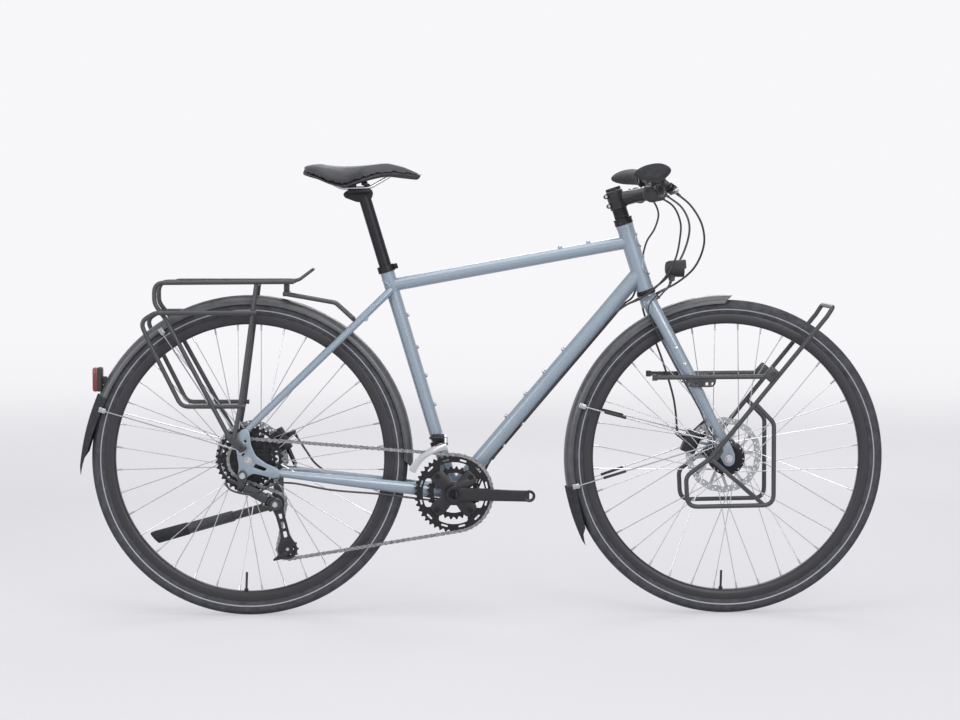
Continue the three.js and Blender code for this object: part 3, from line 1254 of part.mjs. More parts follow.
function makePulley(centre, turn) {
  const thickness = chain.innerGap - 2 * gap;
  return cut(toothedDisc(centre, pulleyTeeth, turn, drivenPlane, thickness),
    crossBar(centre, drivenPlane - overrun, drivenPlane + overrun, around(derailleur.pin, rodSides),
      rodSides));
}

// Front derailleur

const mechAt = along(bracket, seatUp, frontMech.height);
const mechPivot = V(mechAt.x - 2, frontMech.pivotY, mechAt.z + frontMech.pivotRise / 2);

function makeMechClamp() {
  const low = along(mechAt, seatUp, -frontMech.clampHeight / 2);
  const high = along(mechAt, seatUp, frontMech.clampHeight / 2);
  const band = cut(barBetween(low, high, seatRadius + frontMech.clampWall, 2 * rodSides),
    barBetween(along(low, seatUp, -overrun), along(high, seatUp, overrun), seatRadius + gap, tubeSides));
  const bodyAt = V(mechPivot.x, frontMech.pivotY / 2 - 8, mechPivot.z);
  const body = block(bodyAt, V(1, 0, 0), left, up, [26, -frontMech.pivotY - 13, 18]);
  const clearance = barBetween(along(mechAt, seatUp, -4 * frontMech.clampHeight), along(mechAt, seatUp,
    4 * frontMech.clampHeight), seatRadius + gap, tubeSides);
  const axis = barBetween(V(mechPivot.x - 20, mechPivot.y, mechPivot.z), V(mechPivot.x + 20, mechPivot.y, mechPivot.z), 3,
    rodSides);
  return fuse(cut(fuse(band, body), clearance), axis);
}

function arcPlate(inner, outer, from, to, low, high) {
  const steps = 5;
  const place = (radius, i) => {
    const angle = rad(from + ((to - from) * i) / steps);
    return new THREE.Vector2(radius * Math.cos(angle), radius * Math.sin(angle));
  };
  const outline = [];
  for (let i = 0; i <= steps; i += 1) {
    outline.push(place(outer, i));
  }
  for (let i = steps; i >= 0; i -= 1) {
    outline.push(place(inner, i));
  }
  return sidePlate(new THREE.Shape(outline), bracket, low, high);
}

function makeMechCage() {
  const { inner, outer, from, to, halfGap, plate } = frontMech;
  const [outerLow, innerHigh] = [ring.plane - halfGap - plate, ring.plane + halfGap + plate];
  const plates = [
    arcPlate(inner, outer, from, to, outerLow, outerLow + plate),
    arcPlate(inner, outer, from, to, innerHigh - plate, innerHigh),
  ];
  const roof = arcPlate(outer - plate, outer + plate, from, from + 16, outerLow, innerHigh);
  const tailPin = crossBar(polar(bracket, (inner + outer) / 2, to - 3, 0), outerLow, innerHigh, 2.5, rodSides);
  const armTop = V(mechPivot.x, 0, mechPivot.z);
  const eye = cut(barBetween(V(armTop.x + 14, mechPivot.y, armTop.z), V(armTop.x + 18, mechPivot.y, armTop.z), 6, rodSides),
    barBetween(V(armTop.x + 10, mechPivot.y, armTop.z), V(armTop.x + 24, mechPivot.y, armTop.z), 3 + gap, rodSides));
  const reach = V(armTop.x + 16, innerHigh - 0.6, bracket.z + outer - 3);
  const arm = barBetween(V(armTop.x + 16, mechPivot.y - 4.5, armTop.z), reach, 2.5, rodSides);
  return fuse(plates, roof, tailPin, eye, arm);
}

// Disc calipers: a block that straddles the rotor, and the arm that the cable pulls

function makeCaliper(centre, radius, plane, angle, posts) {
  const outward = V(Math.cos(rad(angle)), 0, Math.sin(rad(angle)));
  const alongEdge = V(-outward.z, 0, outward.x);
  const at = along(centre, outward, radius - caliper.inset).setY(plane);
  const body = block(along(at, left, (caliper.outerHalf - caliper.innerHalf) / 2), outward, left, alongEdge,
    [caliper.height, caliper.outerHalf + caliper.innerHalf, caliper.length]);
  const slot = block(along(at, outward, -caliper.inset), outward, left, alongEdge,
    [caliper.height, caliper.slot, caliper.length + 2 * overrun]);
  const drum = crossBar(along(at, outward, -1), plane + caliper.outerHalf - overrun, plane + caliper.outerHalf + caliper.drumHeight,
    caliper.drumRadius, 2 * rodSides);
  const pivotPin = crossBar(along(at, outward, -1), plane + caliper.outerHalf, plane + caliper.outerHalf + caliper.pinLength,
    caliper.pinRadius, rodSides);
  const mounts = posts.map(([from, to]) => barBetween(V(...from), V(...to), caliper.postRadius, rodSides));
  return fuse(cut(body, slot), drum, pivotPin, mounts);
}

function makeBrakeArm(centre, radius, plane, angle, reachAngle) {
  const outward = V(Math.cos(rad(angle)), 0, Math.sin(rad(angle)));
  const at = along(centre, outward, radius - 7);
  const low = plane + caliper.outerHalf + caliper.drumHeight + gap;
  const tip = polar(V(0, 0, 0), caliper.armLength, reachAngle, 0);
  const body = sidePlate(linkShape(flat(V(0, 0, 0)), flat(tip), caliper.pivotRadius, caliper.postRadius), at, low,
    low + caliper.armThickness);
  return cut(body, crossBar(at, low - overrun, low + caliper.armThickness + overrun,
    around(caliper.pinRadius, rodSides), rodSides));
}

// Mudguards

function guardSection(centre, degrees, halfWidth, crownRadius, edgeRadius) {
  const corners = 5;
  const outline = [];
  const place = (y, radius) => polar(centre, radius, degrees, y);
  for (let i = 0; i < corners; i += 1) {
    const angle = Math.PI * (i / (corners - 1));
    outline.push(place(halfWidth * Math.cos(angle), edgeRadius + (crownRadius - edgeRadius) * Math.sin(angle)));
  }
  for (let i = corners - 1; i >= 0; i -= 1) {
    const angle = Math.PI * (i / (corners - 1));
    outline.push(place((halfWidth - guard.wall) * Math.cos(angle),
      edgeRadius + (crownRadius - guard.wall - edgeRadius) * Math.sin(angle)));
  }
  return outline;
}

function makeGuard(centre, from, to, steps, flapLength, flare, tail, clips, eyelet) {
  const sections = Array.from({ length: steps + 1 }, (_, i) =>
    guardSection(centre, from + ((to - from) * i) / steps, guard.halfWidth, guard.crown, guard.edge));
  const tailAngle = to + (tail * flapLength * 180) / (Math.PI * guard.crown);
  const flapBody = loft([0, 0.5, 1].map((share) => {
    const angle = THREE.MathUtils.lerp(to - 2, tailAngle, share);
    const radius = guard.crown - guard.wall / 2 + flare * share * share;
    return flapCorners(share).map(([y, thick]) => polar(centre, radius + thick, angle, y));
  }));
  const wires = clips.map((angle) => stayWires(centre, angle, eyelet));
  return fuse(loft(sections), flapBody, wires);
}

function flapCorners(share) {
  const half = guard.halfWidth * (1 - 0.15 * share);
  const bow = stay.bow * (1 - share);
  const thick = flap.thickness;
  return [
    [half, -bow], [half * 0.6, -bow * 0.2], [0, 0], [-half * 0.6, -bow * 0.2], [-half, -bow],
    [-half, -bow - thick], [-half * 0.6, -bow * 0.2 - thick], [0, -thick], [half * 0.6, -bow * 0.2 - thick],
    [half, -bow - thick],
  ];
}

// One clip and one wire on each side of the mudguard, ending at the bolt on the frame or fork
function stayWires(centre, angle, eyelet) {
  return [-1, 1].map((side) => {
    const clip = polar(centre, (guard.edge + guard.crown) / 2 - stay.clipDrop, angle, side * (guard.halfWidth - stay.bite));
    const outside = V(clip.x, side * (guard.halfWidth + stay.clipRadius), clip.z);
    const end = V(centre.x + eyelet.x, side > 0 ? eyelet.left : -eyelet.right, centre.z + eyelet.z);
    return [barBetween(clip, outside, stay.clipRadius, 4),
      rod([along(outside, left, -side * stay.radius), end], stay.radius, 4),
      crossBar(end, side * eyelet.face, end.y + side * stay.radius, stay.eyeRadius, 4)];
  });
}

function rearEyelets() {
  const face = rearSpacing / 2 + dropout.thickness + gap;
  return { x: stay.rearEye[0], z: stay.rearEye[1], face, left: face + stay.lift, right: face + stay.lift };
}

// On the brake's side a long spacer carries the wires past the caliper
function frontEyelets() {
  const face = frontSpacing / 2 + forkEnd.thickness + gap;
  return { x: stay.frontEye[0], z: stay.frontEye[1], face, left: face + stay.spacer, right: face + stay.lift };
}

// Racks are bent from rod; places are shares of each rack's length and height, from the axle

function rackPlace(axlePoint, size, [x, z], y) {
  return V(axlePoint.x + x * size.length, y, axlePoint.z + z * size.height);
}

const rearRailShares = [[0.33, 1], [-0.67, 0.995], [-0.67, 0.88], [-0.58, 0.785], [-0.13, 0.128]];
const rearHoopShares = [
  [0.06, 0.828], [-0.66, 0.828], [-0.765, 0.78], [-0.7, 0.66], [-0.475, 0.306], [-0.02, 0.306],
];
const rearLegShares = [[0.06, 0.985], [-0.055, 0.31], [-0.1, 0.128]];

function makeRearRack() {
  const at = (share, y) => rackPlace(rearAxle, rearRack, share, y);
  const { railSpread, hoopSpread, footSpread, plateWidth, plate, armSpread, eye, eyeDrop, footInset } = rearRack;
  const sides = [-1, 1].map((side) => {
    const rail = rearRailShares.map((share, i) => at(share, side * [railSpread, railSpread, railSpread,
      (railSpread + hoopSpread) / 2, footSpread][i]));
    const hoop = rearHoopShares.map((share, i) => at(share, side * (i === 0 ? hoopSpread - rearRack.hoopInset : hoopSpread + i * rearRack.hoopFlare)));
    const leg = rearLegShares.map((share, i) => at(share, side * [railSpread, hoopSpread + rearRack.rod * 0.4, footSpread][i]));
    const foot = sidePlate(linkShape(flat(V(0, 0, 0)), flat(V(eyeDrop, 0, -eyeDrop)), eye, eye), at([-0.12, 0.13], 0),
      side < 0 ? -footSpread - footInset / 2 : footSpread - footInset,
      side < 0 ? -footSpread + footInset : footSpread + footInset / 2);
    return [rod(rounded(rail, rearRack.railBend, 2), rearRack.rod), rod(rounded(hoop, rearRack.hoopBend, 2), rearRack.rod),
      rod(leg, rearRack.rod), foot];
  });
  const crossShares = [[0.3, 1], [0.06, 0.985], [-0.3, 1], [-0.5, 1]];
  const cross = crossShares.map((share) => crossBar(at(share, 0), -railSpread, railSpread, rearRack.rod * 0.8, 4));
  const deck = block(along(at([-0.1, 1], 0), up, rearRack.rod), V(1, 0, 0), left, up, [0.84 * rearRack.length, plateWidth, plate]);
  const tongue = loft([[0.3, 1], [0.34, 1.004], [0.4, 1.03], [0.46, 1.066]].map((share, i) => {
    const centre = at(share, 0);
    const half = i === 3 ? plateWidth * 0.36 : plateWidth / 2;
    return [[half, plate], [-half, plate], [-half, -plate], [half, -plate]].map(([y, z]) => V(centre.x, y, centre.z + z));
  }));
  const hook = at([0.27, 0.93], 0);
  const lug = block(V(hook.x, 0, hook.z), V(1, 0, 0), left, up, [rearRack.lug[0], 2 * armSpread, rearRack.lug[1]]);
  const lugPost = block(along(hook, up, rearRack.lugPost[1] / 2), V(1, 0, 0), left, up, rearRack.lugPost);
  const arms = [-1, 1].map((side) => rod(rounded([
    V(hook.x - footInset, side * armSpread, hook.z),
    V(hook.x + rearRack.armReach - footInset, side * (armSpread - footInset / 2), hook.z - rearRack.armDrop),
    seatStayPoint(side, 0.76, seatStay.radius + rearRack.rod + gap),
  ], rearRack.armBend, 2), rearRack.rod, rodSides));
  return fuse(sides, cross, deck, tongue, lug, lugPost, arms);
}

// A point beside the seat stay, at a share of its length from the dropout
function seatStayPoint(side, share, offset) {
  const foot = V(rearAxle.x + seatStay.foot[0], side * seatStay.spread, rearAxle.z + seatStay.foot[1]);
  const head = along(seatTop, seatUp, -seatStay.top).add(V(0, side * seatStay.topSpread, 0));
  const direction = head.clone().sub(foot).normalize();
  const outward = V(-direction.z, 0, direction.x);
  return along(foot.clone().lerp(head, share), outward, offset);
}

const lowRailShares = [[-0.51, 0.54], [0.29, 0.545]];
const lowLoopShares = [
  [0.66, 0.94], [-0.12, 0.02], [-0.3, -0.11], [-0.29, -0.31], [0.3, -0.3], [0.3, 0.24], [0.18, 0.36],
];
const flatBarShares = [[-0.13, 0.005], [0.23, -0.295]];

function makeFrontRack() {
  const at = (share, y) => rackPlace(frontAxle, frontRack, share, y);
  const { spread, flat: flatWidth, flatThickness } = frontRack;
  const sides = [-1, 1].map((side) => {
    const loop = rounded(lowLoopShares.map((share) => at(share, side * spread)), frontRack.bend, 2);
    const rail = lowRailShares.map((share) => at(share, side * spread));
    const bracing = flatBarShares.map((share) => at(share, side * spread));
    const direction = bracing[1].clone().sub(bracing[0]);
    const strap = block(bracing[0].clone().lerp(bracing[1], 1 / 2), direction.clone().normalize(), left,
      direction.clone().normalize().cross(left), [direction.length(), flatThickness, flatWidth]);
    const junction = block(at([0.28, 0.56], side * spread), V(1, 0, 0), left, up, frontRack.junction);
    const mount = block(at([-0.2, 0.515], side * (spread - frontRack.inset)), V(1, 0, 0), left, up, frontRack.mount);
    const lower = sidePlate(linkShape(flat(at([-0.1, 0.02], 0).sub(frontAxle)), flat(at([-0.07, 0.06], 0).sub(frontAxle)),
      ...frontRack.eyes), frontAxle, side < 0 ? -spread - frontRack.inset : frontSpacing / 2 + forkEnd.thickness + gap,
    side < 0 ? -frontSpacing / 2 - forkEnd.thickness - gap : spread + frontRack.inset);
    return [rod(loop, frontRack.rod), rod(rail, frontRack.rod), strap, junction, mount, lower];
  });
  const tip = rounded([at([0.66, 0.94], -spread), at([0.7, 1], -spread), at([0.7, 1], spread), at([0.66, 0.94], spread)],
    frontRack.tipBend, 3);
  return fuse(sides, rod(tip, frontRack.rod));
}

// Side stand: the leg turns on a pin through its bracket

function makeStandLeg() {
  const inner = along(standPivot, standAxis, stand.bossOuter + gap);
  const direction = V(...stand.dropShares).normalize();
  const start = along(inner, standAxis, stand.headLength / 2);
  const sleeve = along(start, direction, stand.length * sleeveShare);
  const end = along(start, direction, stand.length);
  return fuse(
    barBetween(inner, along(inner, standAxis, stand.headLength), stand.headRadius, 2 * rodSides),
    barBetween(along(standPivot, standAxis, -stand.bossInner), along(inner, standAxis, overrun), stand.pinRadius, rodSides),
    barBetween(start, sleeve, stand.legRadius),
    barBetween(along(sleeve, direction, -overrun), end, stand.legRadius - 1),
    barBetween(along(end, direction, -stand.footRadius), along(end, direction, stand.footLength), stand.legRadius + 1,
      tubeSides, stand.footRadius));
}

const sleeveShare = 0.68;

// Lights

const lampCentre = V(431, 0, 770);

function makeLamp() {
  const profile = [[0, -0.5], [0.62, -0.48], [0.9, -0.3], [1, 0.1], [1, 0.42], [0.86, 0.5], [0, 0.5]];
  const corners = profile.map(([r, x]) => new THREE.Vector2(r * lamp.radius, x * lamp.length));
  const geometry = new THREE.LatheGeometry(corners, 2 * rodSides);
  geometry.rotateZ(-Math.PI / 2);
  geometry.translate(lampCentre.x, lampCentre.y, lampCentre.z);
  const foot = block(V(lampCentre.x - 8, 0, lampCentre.z - lamp.radius - 4), V(1, 0, 0), left, up, [14, 8, 14]);
  return cut(fuse(solid(geometry), foot), crossBar(lampPivot, -20, 20, 2.4 + gap, rodSides));
}

const lampPivot = V(lampCentre.x - 8, 0, lampCentre.z - lamp.radius - 6);

function makeLampBracket() {
  const seat = along(along(crownRace, headUp, -crown.height / 2), headForward, crown.radius + gap);
  const half = lampBracket.width / 2;
  const strap = (points) => loft(points.map(([x, z]) => [[half, 1], [-half, 1], [-half, -1], [half, -1]].map(
    ([y, sense]) => V(x + (sense * lampBracket.thickness) / 2, y, z - (sense * lampBracket.thickness) / 2))));
  const body = strap([[seat.x + 2, seat.z + 2], [seat.x + 12, seat.z + 22], [lampPivot.x - 6, lampPivot.z - 18]]);
  const base = block(along(seat, headForward, 2), headForward, left, headUp, [4, lampBracket.width, 22]);
  const cheeks = [-1, 1].map((side) => sidePlate(linkShape(flat(V(-4, 0, -20)), flat(V(0, 0, 0)), 6, 6), lampPivot,
    side < 0 ? -8 : 4 + gap, side < 0 ? -4 - gap : 8));
  const pin = crossBar(lampPivot, -8, 8, 2.4, rodSides);
  const floor = block(V(lampPivot.x - 5, 0, lampPivot.z - 20), V(1, 0, 0), left, up, [10, 16, 5]);
  return fuse(body, base, cheeks, pin, floor);
}

function makeTailLamp() {
  const outward = V(Math.cos(rad(tailLamp.angle)), 0, Math.sin(rad(tailLamp.angle)));
  const alongEdge = V(0, 0, 1);
  const centre = V(rearAxle.x + (guard.crown + 1) * outward.x - tailLamp.depth * 0.9, 0,
    rearAxle.z + guard.crown * outward.z);
  const body = loft([[-0.5, 0.8], [-0.34, 1], [0.34, 1], [0.5, 0.8]].map(([z, scale]) => {
    const half = (tailLamp.width / 2) * scale;
    const [back, front] = [-tailLamp.depth * 0.6 * scale, tailLamp.depth * 0.4];
    return [[back, -half * 0.6], [back, half * 0.6], [back * 0.6, half], [front, half], [front, -half], [back * 0.6, -half]]
      .map(([x, y]) => along(V(centre.x + x, y, centre.z), alongEdge, z * tailLamp.height));
  }));
  const foot = block(V(centre.x + tailLamp.depth * 0.6, 0, centre.z), V(1, 0, 0), left, up, [tailLamp.depth * 1.2, 14, 16]);
  const shield = guardSolid(rearAxle, tailLamp.angle - 8, tailLamp.angle + 8);
  return cut(fuse(body, foot), shield);
}

// The space that the rear mudguard takes near the tail light, with its clearance
function guardSolid(centre, from, to) {
  const sections = [from, (from + to) / 2, to].map((angle) => {
    const ringCorners = 13;
    return Array.from({ length: ringCorners }, (_, i) => {
      const turn = Math.PI * (i / (ringCorners - 1));
      return polar(centre, guard.edge + (guard.crown + gap - guard.edge) * Math.sin(turn), angle,
        (guard.halfWidth + gap) * Math.cos(turn));
    });
  });
  return loft(sections);
}

// Cables: routes chosen by hand, in millimetres

const cordRoutes = {
  frontBrake: { radius: 2.4, steps: 2, control: -1, start: [21.45, 30, -13.85], points: [
    [458, -70, 905], [490, -10, 860], [497, 30, 815], [478, 46, 768], [440, 46, 735], [396, 48, 712],
    [366, 68, 690], [372, 74, 655], [396, 72, 598], [416, 64, 540], [434, 63, 478], [440, 64, 440], [443, 64, 400.1],
  ] },
  rearBrake: { radius: 2.4, steps: 2, control: 1, start: [21.45, -26, -13.85], points: [
    [456, 84, 900], [468, 52, 858], [452, 34, 800], [420, 26, 752], [388, 30, 724], [352, 32, 700],
    [324, 26, 686], [300.2, 14, 675.5], [138.1, 12, 485.2], [21.4, 12, 348.1], [-28, 22, 258], [-60, 26, 246.5], [-94, 30, 253], [-160, 41, 266],
    [-296, 57, 290], [-366, 72, 326], [-392, 77, 360], [-415, 76.5, 395.6],
  ] },
  rearShift: { radius: 2.2, steps: 2, control: -1, start: [19.45, 4, -29.85], points: [
    [436, -96, 880], [436, -50, 836], [428, -34, 790], [408, -30, 752], [380, -30, 722],
    [348, -28, 700], [322, -20, 688], [296, -9, 667], [139.9, -8, 483.6], [23.2, -8, 346.5], [-30, -20, 250], [-100, -32, 256],
    [-220, -44, 272], [-330, -56, 283], [-420, -68, 300], [-455, -100, 300], [-500, -108, 280], [-548, -96, 288],
    [-560, -82, 300],
  ] },
  frontShift: { radius: 2.2, steps: 2, control: 1, start: [15.45, -2, -27.85], points: [
    [404, 96, 876], [372, 52, 826], [360, 36, 785], [352, 30, 745], [338, 20, 704], [318, 6, 689],
    [296, 2, 663], [141.9, 2, 481.9], [25.2, 2, 344.8],
  ] },
  dynamo: { radius: 1.5, steps: 2, points: [
    [420, -11, 742], [410, -24, 722], [394, -42, 716], [368, -62, 690], [366, -72, 668], [384, -70, 630],
    [434, -60, 541], [478, -58, 461], [500, -54, 412], [508, -48, 401], [520, -47, 386], [531, -47.6, 374],
  ] },
};

// Stations where the route hardly turns are left out
function thinned(stations) {
  const kept = [stations[0]];
  for (let i = 1; i < stations.length - 1; i += 1) {
    const arriving = stations[i].clone().sub(kept.at(-1));
    const leaving = stations[i + 1].clone().sub(stations[i]);
    if (arriving.angleTo(leaving) > rad(cordTurn)) {
      kept.push(stations[i]);
    }
  }
  return [...kept, stations.at(-1)];
}

// A cable that starts at a brake or shift control is given its start from that control's lever pivot
function makeCord({ radius, steps, control, start, points }) {
  const route = points.map((place) => V(...place));
  const whole = control ? [leverPivot(control).add(V(...start)), ...route] : route;
  return rod(thinned(smooth(whole, steps)), radius, cordSides);
}

// Colours as the photograph shows them

const finishes = {
  paint: { color: 0x8fa3b1, roughness: 0.32, metalness: 0.1 },
  blackPaint: { color: 0x2a2a2d, roughness: 0.45, metalness: 0.2 },
  anodised: { color: 0x232326, roughness: 0.38, metalness: 0.7 },
  steel: { color: 0xb9bbbe, roughness: 0.3, metalness: 1 },
  chainSteel: { color: 0x8c8d8f, roughness: 0.4, metalness: 1 },
  rubber: { color: 0x3b3c3f, roughness: 0.85, metalness: 0 },
  plastic: { color: 0x2e2e31, roughness: 0.6, metalness: 0 },
  redLens: { color: 0x9a1f25, roughness: 0.2, metalness: 0 },
  cover: { color: 0x3f4146, roughness: 0.7, metalness: 0 },
};

const frontCaliper = { radius: rotor.front, plane: frontHub.rotorPlane, angle: 158 };
const caliperPosts = {
  rear: [[[-438, 64, 366], [-434, 62, 331.5]], [[-431, 64, 366], [-414, 60, 328.4]]],
  front: [[[478, 51, 398], [505, 54, 423]], [[482, 51, 380], [513, 54, 400]]],
};
const rearCaliper = { radius: rotor.rear, plane: rearHub.rotorPlane, angle: 28 };

const pieces = {
  frame: [makeFrame, 'paint'],
  seat_clamp: [makeCollar, 'anodised'],
  headset_upper_cup: [() => makeCup(headTop, headUp, headset.upperRadius, headset.upperHeight), 'anodised'],
  headset_lower_cup: [() => makeCup(headBottom, headUp.clone().negate(), headset.lowerRadius, headset.lowerHeight),
    'anodised'],
  bottom_bracket: [makeBottomBracket, 'anodised'],
  rear_axle: [() => makeAxle(rearAxle, rearSpacing, dropout.thickness), 'steel'],
  rear_mudguard: [() => makeGuard(rearAxle, guard.rearFrom, guard.rearTo, 13, flap.rearLength, flap.rearFlare, 1,
    stay.rearClips, rearEyelets()), 'plastic'],
  rear_light: [makeTailLamp, 'redLens'],
  rear_rack: [makeRearRack, 'blackPaint'],
  rear_caliper: [() => makeCaliper(rearAxle, rearCaliper.radius, rearCaliper.plane, rearCaliper.angle,
    caliperPosts.rear), 'anodised'],
  rear_brake_arm: [() => makeBrakeArm(rearAxle, rearCaliper.radius, rearCaliper.plane, rearCaliper.angle, 32), 'anodised'],
  front_derailleur_clamp: [makeMechClamp, 'anodised'],
  front_derailleur_cage: [makeMechCage, 'steel'],
  chain: [makeChain, 'chainSteel'],
  rear_brake_cable: [() => makeCord(cordRoutes.rearBrake), 'plastic'],
  rear_shift_cable: [() => makeCord(cordRoutes.rearShift), 'plastic'],
  front_shift_cable: [() => makeCord(cordRoutes.frontShift), 'plastic'],
  fork: [makeFork, 'paint'],
  stem: [makeStem, 'anodised'],
  handlebar: [makeBar, 'anodised'],
  grip_right: [() => makeGrip(-1), 'rubber'],
  grip_left: [() => makeGrip(1), 'rubber'],
  control_right: [() => makeControl(-1), 'anodised'],
  control_left: [() => makeControl(1), 'anodised'],
  brake_lever_right: [() => makeLever(-1), 'anodised'],
  brake_lever_left: [() => makeLever(1), 'anodised'],
  shift_paddle_right: [() => makePaddle(-1), 'plastic'],
  shift_paddle_left: [() => makePaddle(1), 'plastic'],
  front_axle: [makeFrontAxle, 'steel'],
  front_caliper: [() => makeCaliper(frontAxle, frontCaliper.radius, frontCaliper.plane, frontCaliper.angle,
    caliperPosts.front), 'anodised'],
  front_brake_arm: [() => makeBrakeArm(frontAxle, frontCaliper.radius, frontCaliper.plane, frontCaliper.angle, 150),
    'anodised'],
  front_mudguard: [() => makeGuard(frontAxle, guard.frontFrom, guard.frontTo, 8, flap.frontLength, flap.frontFlare, 1,
    stay.frontClips, frontEyelets()), 'plastic'],
  headlight_bracket: [makeLampBracket, 'plastic'],
  headlight: [makeLamp, 'plastic'],
  front_rack: [makeFrontRack, 'blackPaint'],
  front_brake_cable: [() => makeCord(cordRoutes.frontBrake), 'plastic'],
  dynamo_wire: [() => makeCord(cordRoutes.dynamo), 'plastic'],
  front_hub: [makeFrontHub, 'anodised'],
  front_rim: [() => makeRim(frontAxle), 'anodised'],
  front_tyre: [() => makeTyre(frontAxle), 'rubber'],
  rear_hub: [makeRearHub, 'anodised'],
  rear_rim: [() => makeRim(rearAxle), 'anodised'],
  rear_tyre: [() => makeTyre(rearAxle), 'rubber'],
  cassette: [makeCassette, 'chainSteel'],
  crank_right: [makeRightCrank, 'anodised'],
  crank_left: [makeLeftCrank, 'anodised'],
  chainring_outer: [makeOuterRing, 'anodised'],
  chainring_inner: [makeInnerRing, 'anodised'],
  derailleur_knuckle: [makeKnuckle, 'anodised'],
  derailleur_outer_link: [() => makeLink(derailleur.outerPlane), 'anodised'],
  derailleur_inner_link: [() => makeLink(derailleur.innerPlane), 'anodised'],
  derailleur_knee: [makeKnee, 'anodised'],
  derailleur_cage: [makeCage, 'anodised'],
  guide_pulley: [() => makePulley(knee, gapTurn(2)), 'plastic'],
  tension_pulley: [() => makePulley(tensionCentre, gapTurn(3)), 'plastic'],
  stand_leg: [makeStandLeg, 'blackPaint'],
  seatpost: [makePost, 'anodised'],
  saddle_rails: [() => fuse(railRods(rails.radius)), 'steel'],
  saddle: [makeSaddle, 'cover'],
};

const bicycle = new THREE.Group();
for (const [name, [make, finish]] of Object.entries(pieces)) {
  const mesh = new THREE.Mesh(geometryOf(make()), new THREE.MeshStandardMaterial(finishes[finish]));
  mesh.name = name;
  bicycle.add(mesh);
}

export default bicycle;
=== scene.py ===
from math import asin, atan2, cos, degrees, hypot, pi, radians, sin

import bmesh
import bpy
from mathutils import Matrix, Vector


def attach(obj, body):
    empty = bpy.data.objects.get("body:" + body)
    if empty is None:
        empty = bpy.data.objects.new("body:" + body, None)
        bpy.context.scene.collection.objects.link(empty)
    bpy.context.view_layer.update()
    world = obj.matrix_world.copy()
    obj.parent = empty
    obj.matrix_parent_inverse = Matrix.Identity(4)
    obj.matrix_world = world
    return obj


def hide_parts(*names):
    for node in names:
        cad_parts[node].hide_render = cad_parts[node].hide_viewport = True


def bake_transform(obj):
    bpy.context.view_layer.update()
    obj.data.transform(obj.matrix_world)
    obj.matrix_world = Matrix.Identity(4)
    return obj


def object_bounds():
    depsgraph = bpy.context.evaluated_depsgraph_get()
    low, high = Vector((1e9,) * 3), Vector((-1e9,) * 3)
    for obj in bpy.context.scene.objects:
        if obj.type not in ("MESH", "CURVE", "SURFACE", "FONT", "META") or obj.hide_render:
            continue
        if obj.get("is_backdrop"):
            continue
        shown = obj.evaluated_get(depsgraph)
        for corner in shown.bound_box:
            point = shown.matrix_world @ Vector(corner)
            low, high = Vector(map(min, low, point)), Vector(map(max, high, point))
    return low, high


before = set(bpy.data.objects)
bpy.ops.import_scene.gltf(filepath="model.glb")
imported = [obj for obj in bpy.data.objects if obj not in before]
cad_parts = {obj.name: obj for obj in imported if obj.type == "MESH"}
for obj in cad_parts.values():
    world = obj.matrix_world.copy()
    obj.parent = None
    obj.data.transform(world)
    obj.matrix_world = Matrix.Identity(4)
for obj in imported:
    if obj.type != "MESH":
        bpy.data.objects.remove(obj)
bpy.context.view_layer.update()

# The touring bicycle stands side-on in a white studio. X points forward, Y to the rider's left and Z up.
# Points that go through at() are in millimetres. Radii, profiles and all other sizes are in metres
# unless a function says that it takes millimetres.

# Studio
# A long lens stands well back at hip height, square to the chain side.
# The floor runs up into the wall in one sweep, and large soft lamps hang above and in front.


def at(x, y, z):
    """A point given in millimetres."""
    return Vector((x, y, z)) / 1000


def linear(hex_colour):
    """An sRGB hex colour as linear light."""
    parts = [int(hex_colour[i:i + 2], 16) / 255 for i in (0, 2, 4)]
    return (*[c / 12.92 if c <= 0.04045 else ((c + 0.055) / 1.055) ** 2.4 for c in parts], 1)


def add(material, kind, inputs=None, to=None, **settings):
    """Adds a shader node with its settings, its inputs' values or links, and its outputs' links."""
    tree = material.node_tree
    node = tree.nodes.new("ShaderNode" + kind)
    for name, value in settings.items():
        setattr(node, name, value)
    for name, value in (inputs or {}).items():
        if isinstance(value, bpy.types.NodeSocket):
            tree.links.new(value, node.inputs[name])
        else:
            node.inputs[name].default_value = value
    for name, socket in (to or {}).items():
        tree.links.new(node.outputs[name], socket)
    return node


def grown_from(bm, edges):
    """Extrudes edges, and gives the new corners and the new row of edges."""
    grown = bmesh.ops.extrude_edge_only(bm, edges=edges)["geom"]
    verts = [part for part in grown if isinstance(part, bmesh.types.BMVert)]
    inside = set(verts)
    return verts, [part for part in grown if isinstance(part, bmesh.types.BMEdge)
                   and inside.issuperset(part.verts)]


camera_data = bpy.data.cameras.new("camera")
camera_data.sensor_width = 36
camera_data.lens = 95.8
camera_data.clip_end = 60
camera = bpy.data.objects.new("camera", camera_data)
camera.location = at(-158.6, -5649.6, 876.1)
camera.rotation_euler = (radians(90 - 3.149), radians(0.03), radians(-1.589))
bpy.context.scene.collection.objects.link(camera)
bpy.context.scene.camera = camera
bpy.context.scene.view_settings.view_transform = "Standard"

# The backdrop's paint shows its own pale colour to the lens and in gloss, and still takes the shadow
backdrop_paint = bpy.data.materials.new("backdrop_paint")
backdrop_paint.use_nodes = True
backdrop_paint.node_tree.nodes.clear()
seen = add(backdrop_paint, "LightPath")
seen_or_mirrored = add(backdrop_paint, "Math",
                       {0: seen.outputs["Is Camera Ray"], 1: seen.outputs["Is Glossy Ray"]},
                       operation="MAXIMUM")
seen_at_all = add(backdrop_paint, "Math",
                  {0: seen_or_mirrored.outputs[0], 1: seen.outputs["Is Transmission Ray"]},
                  operation="MAXIMUM")
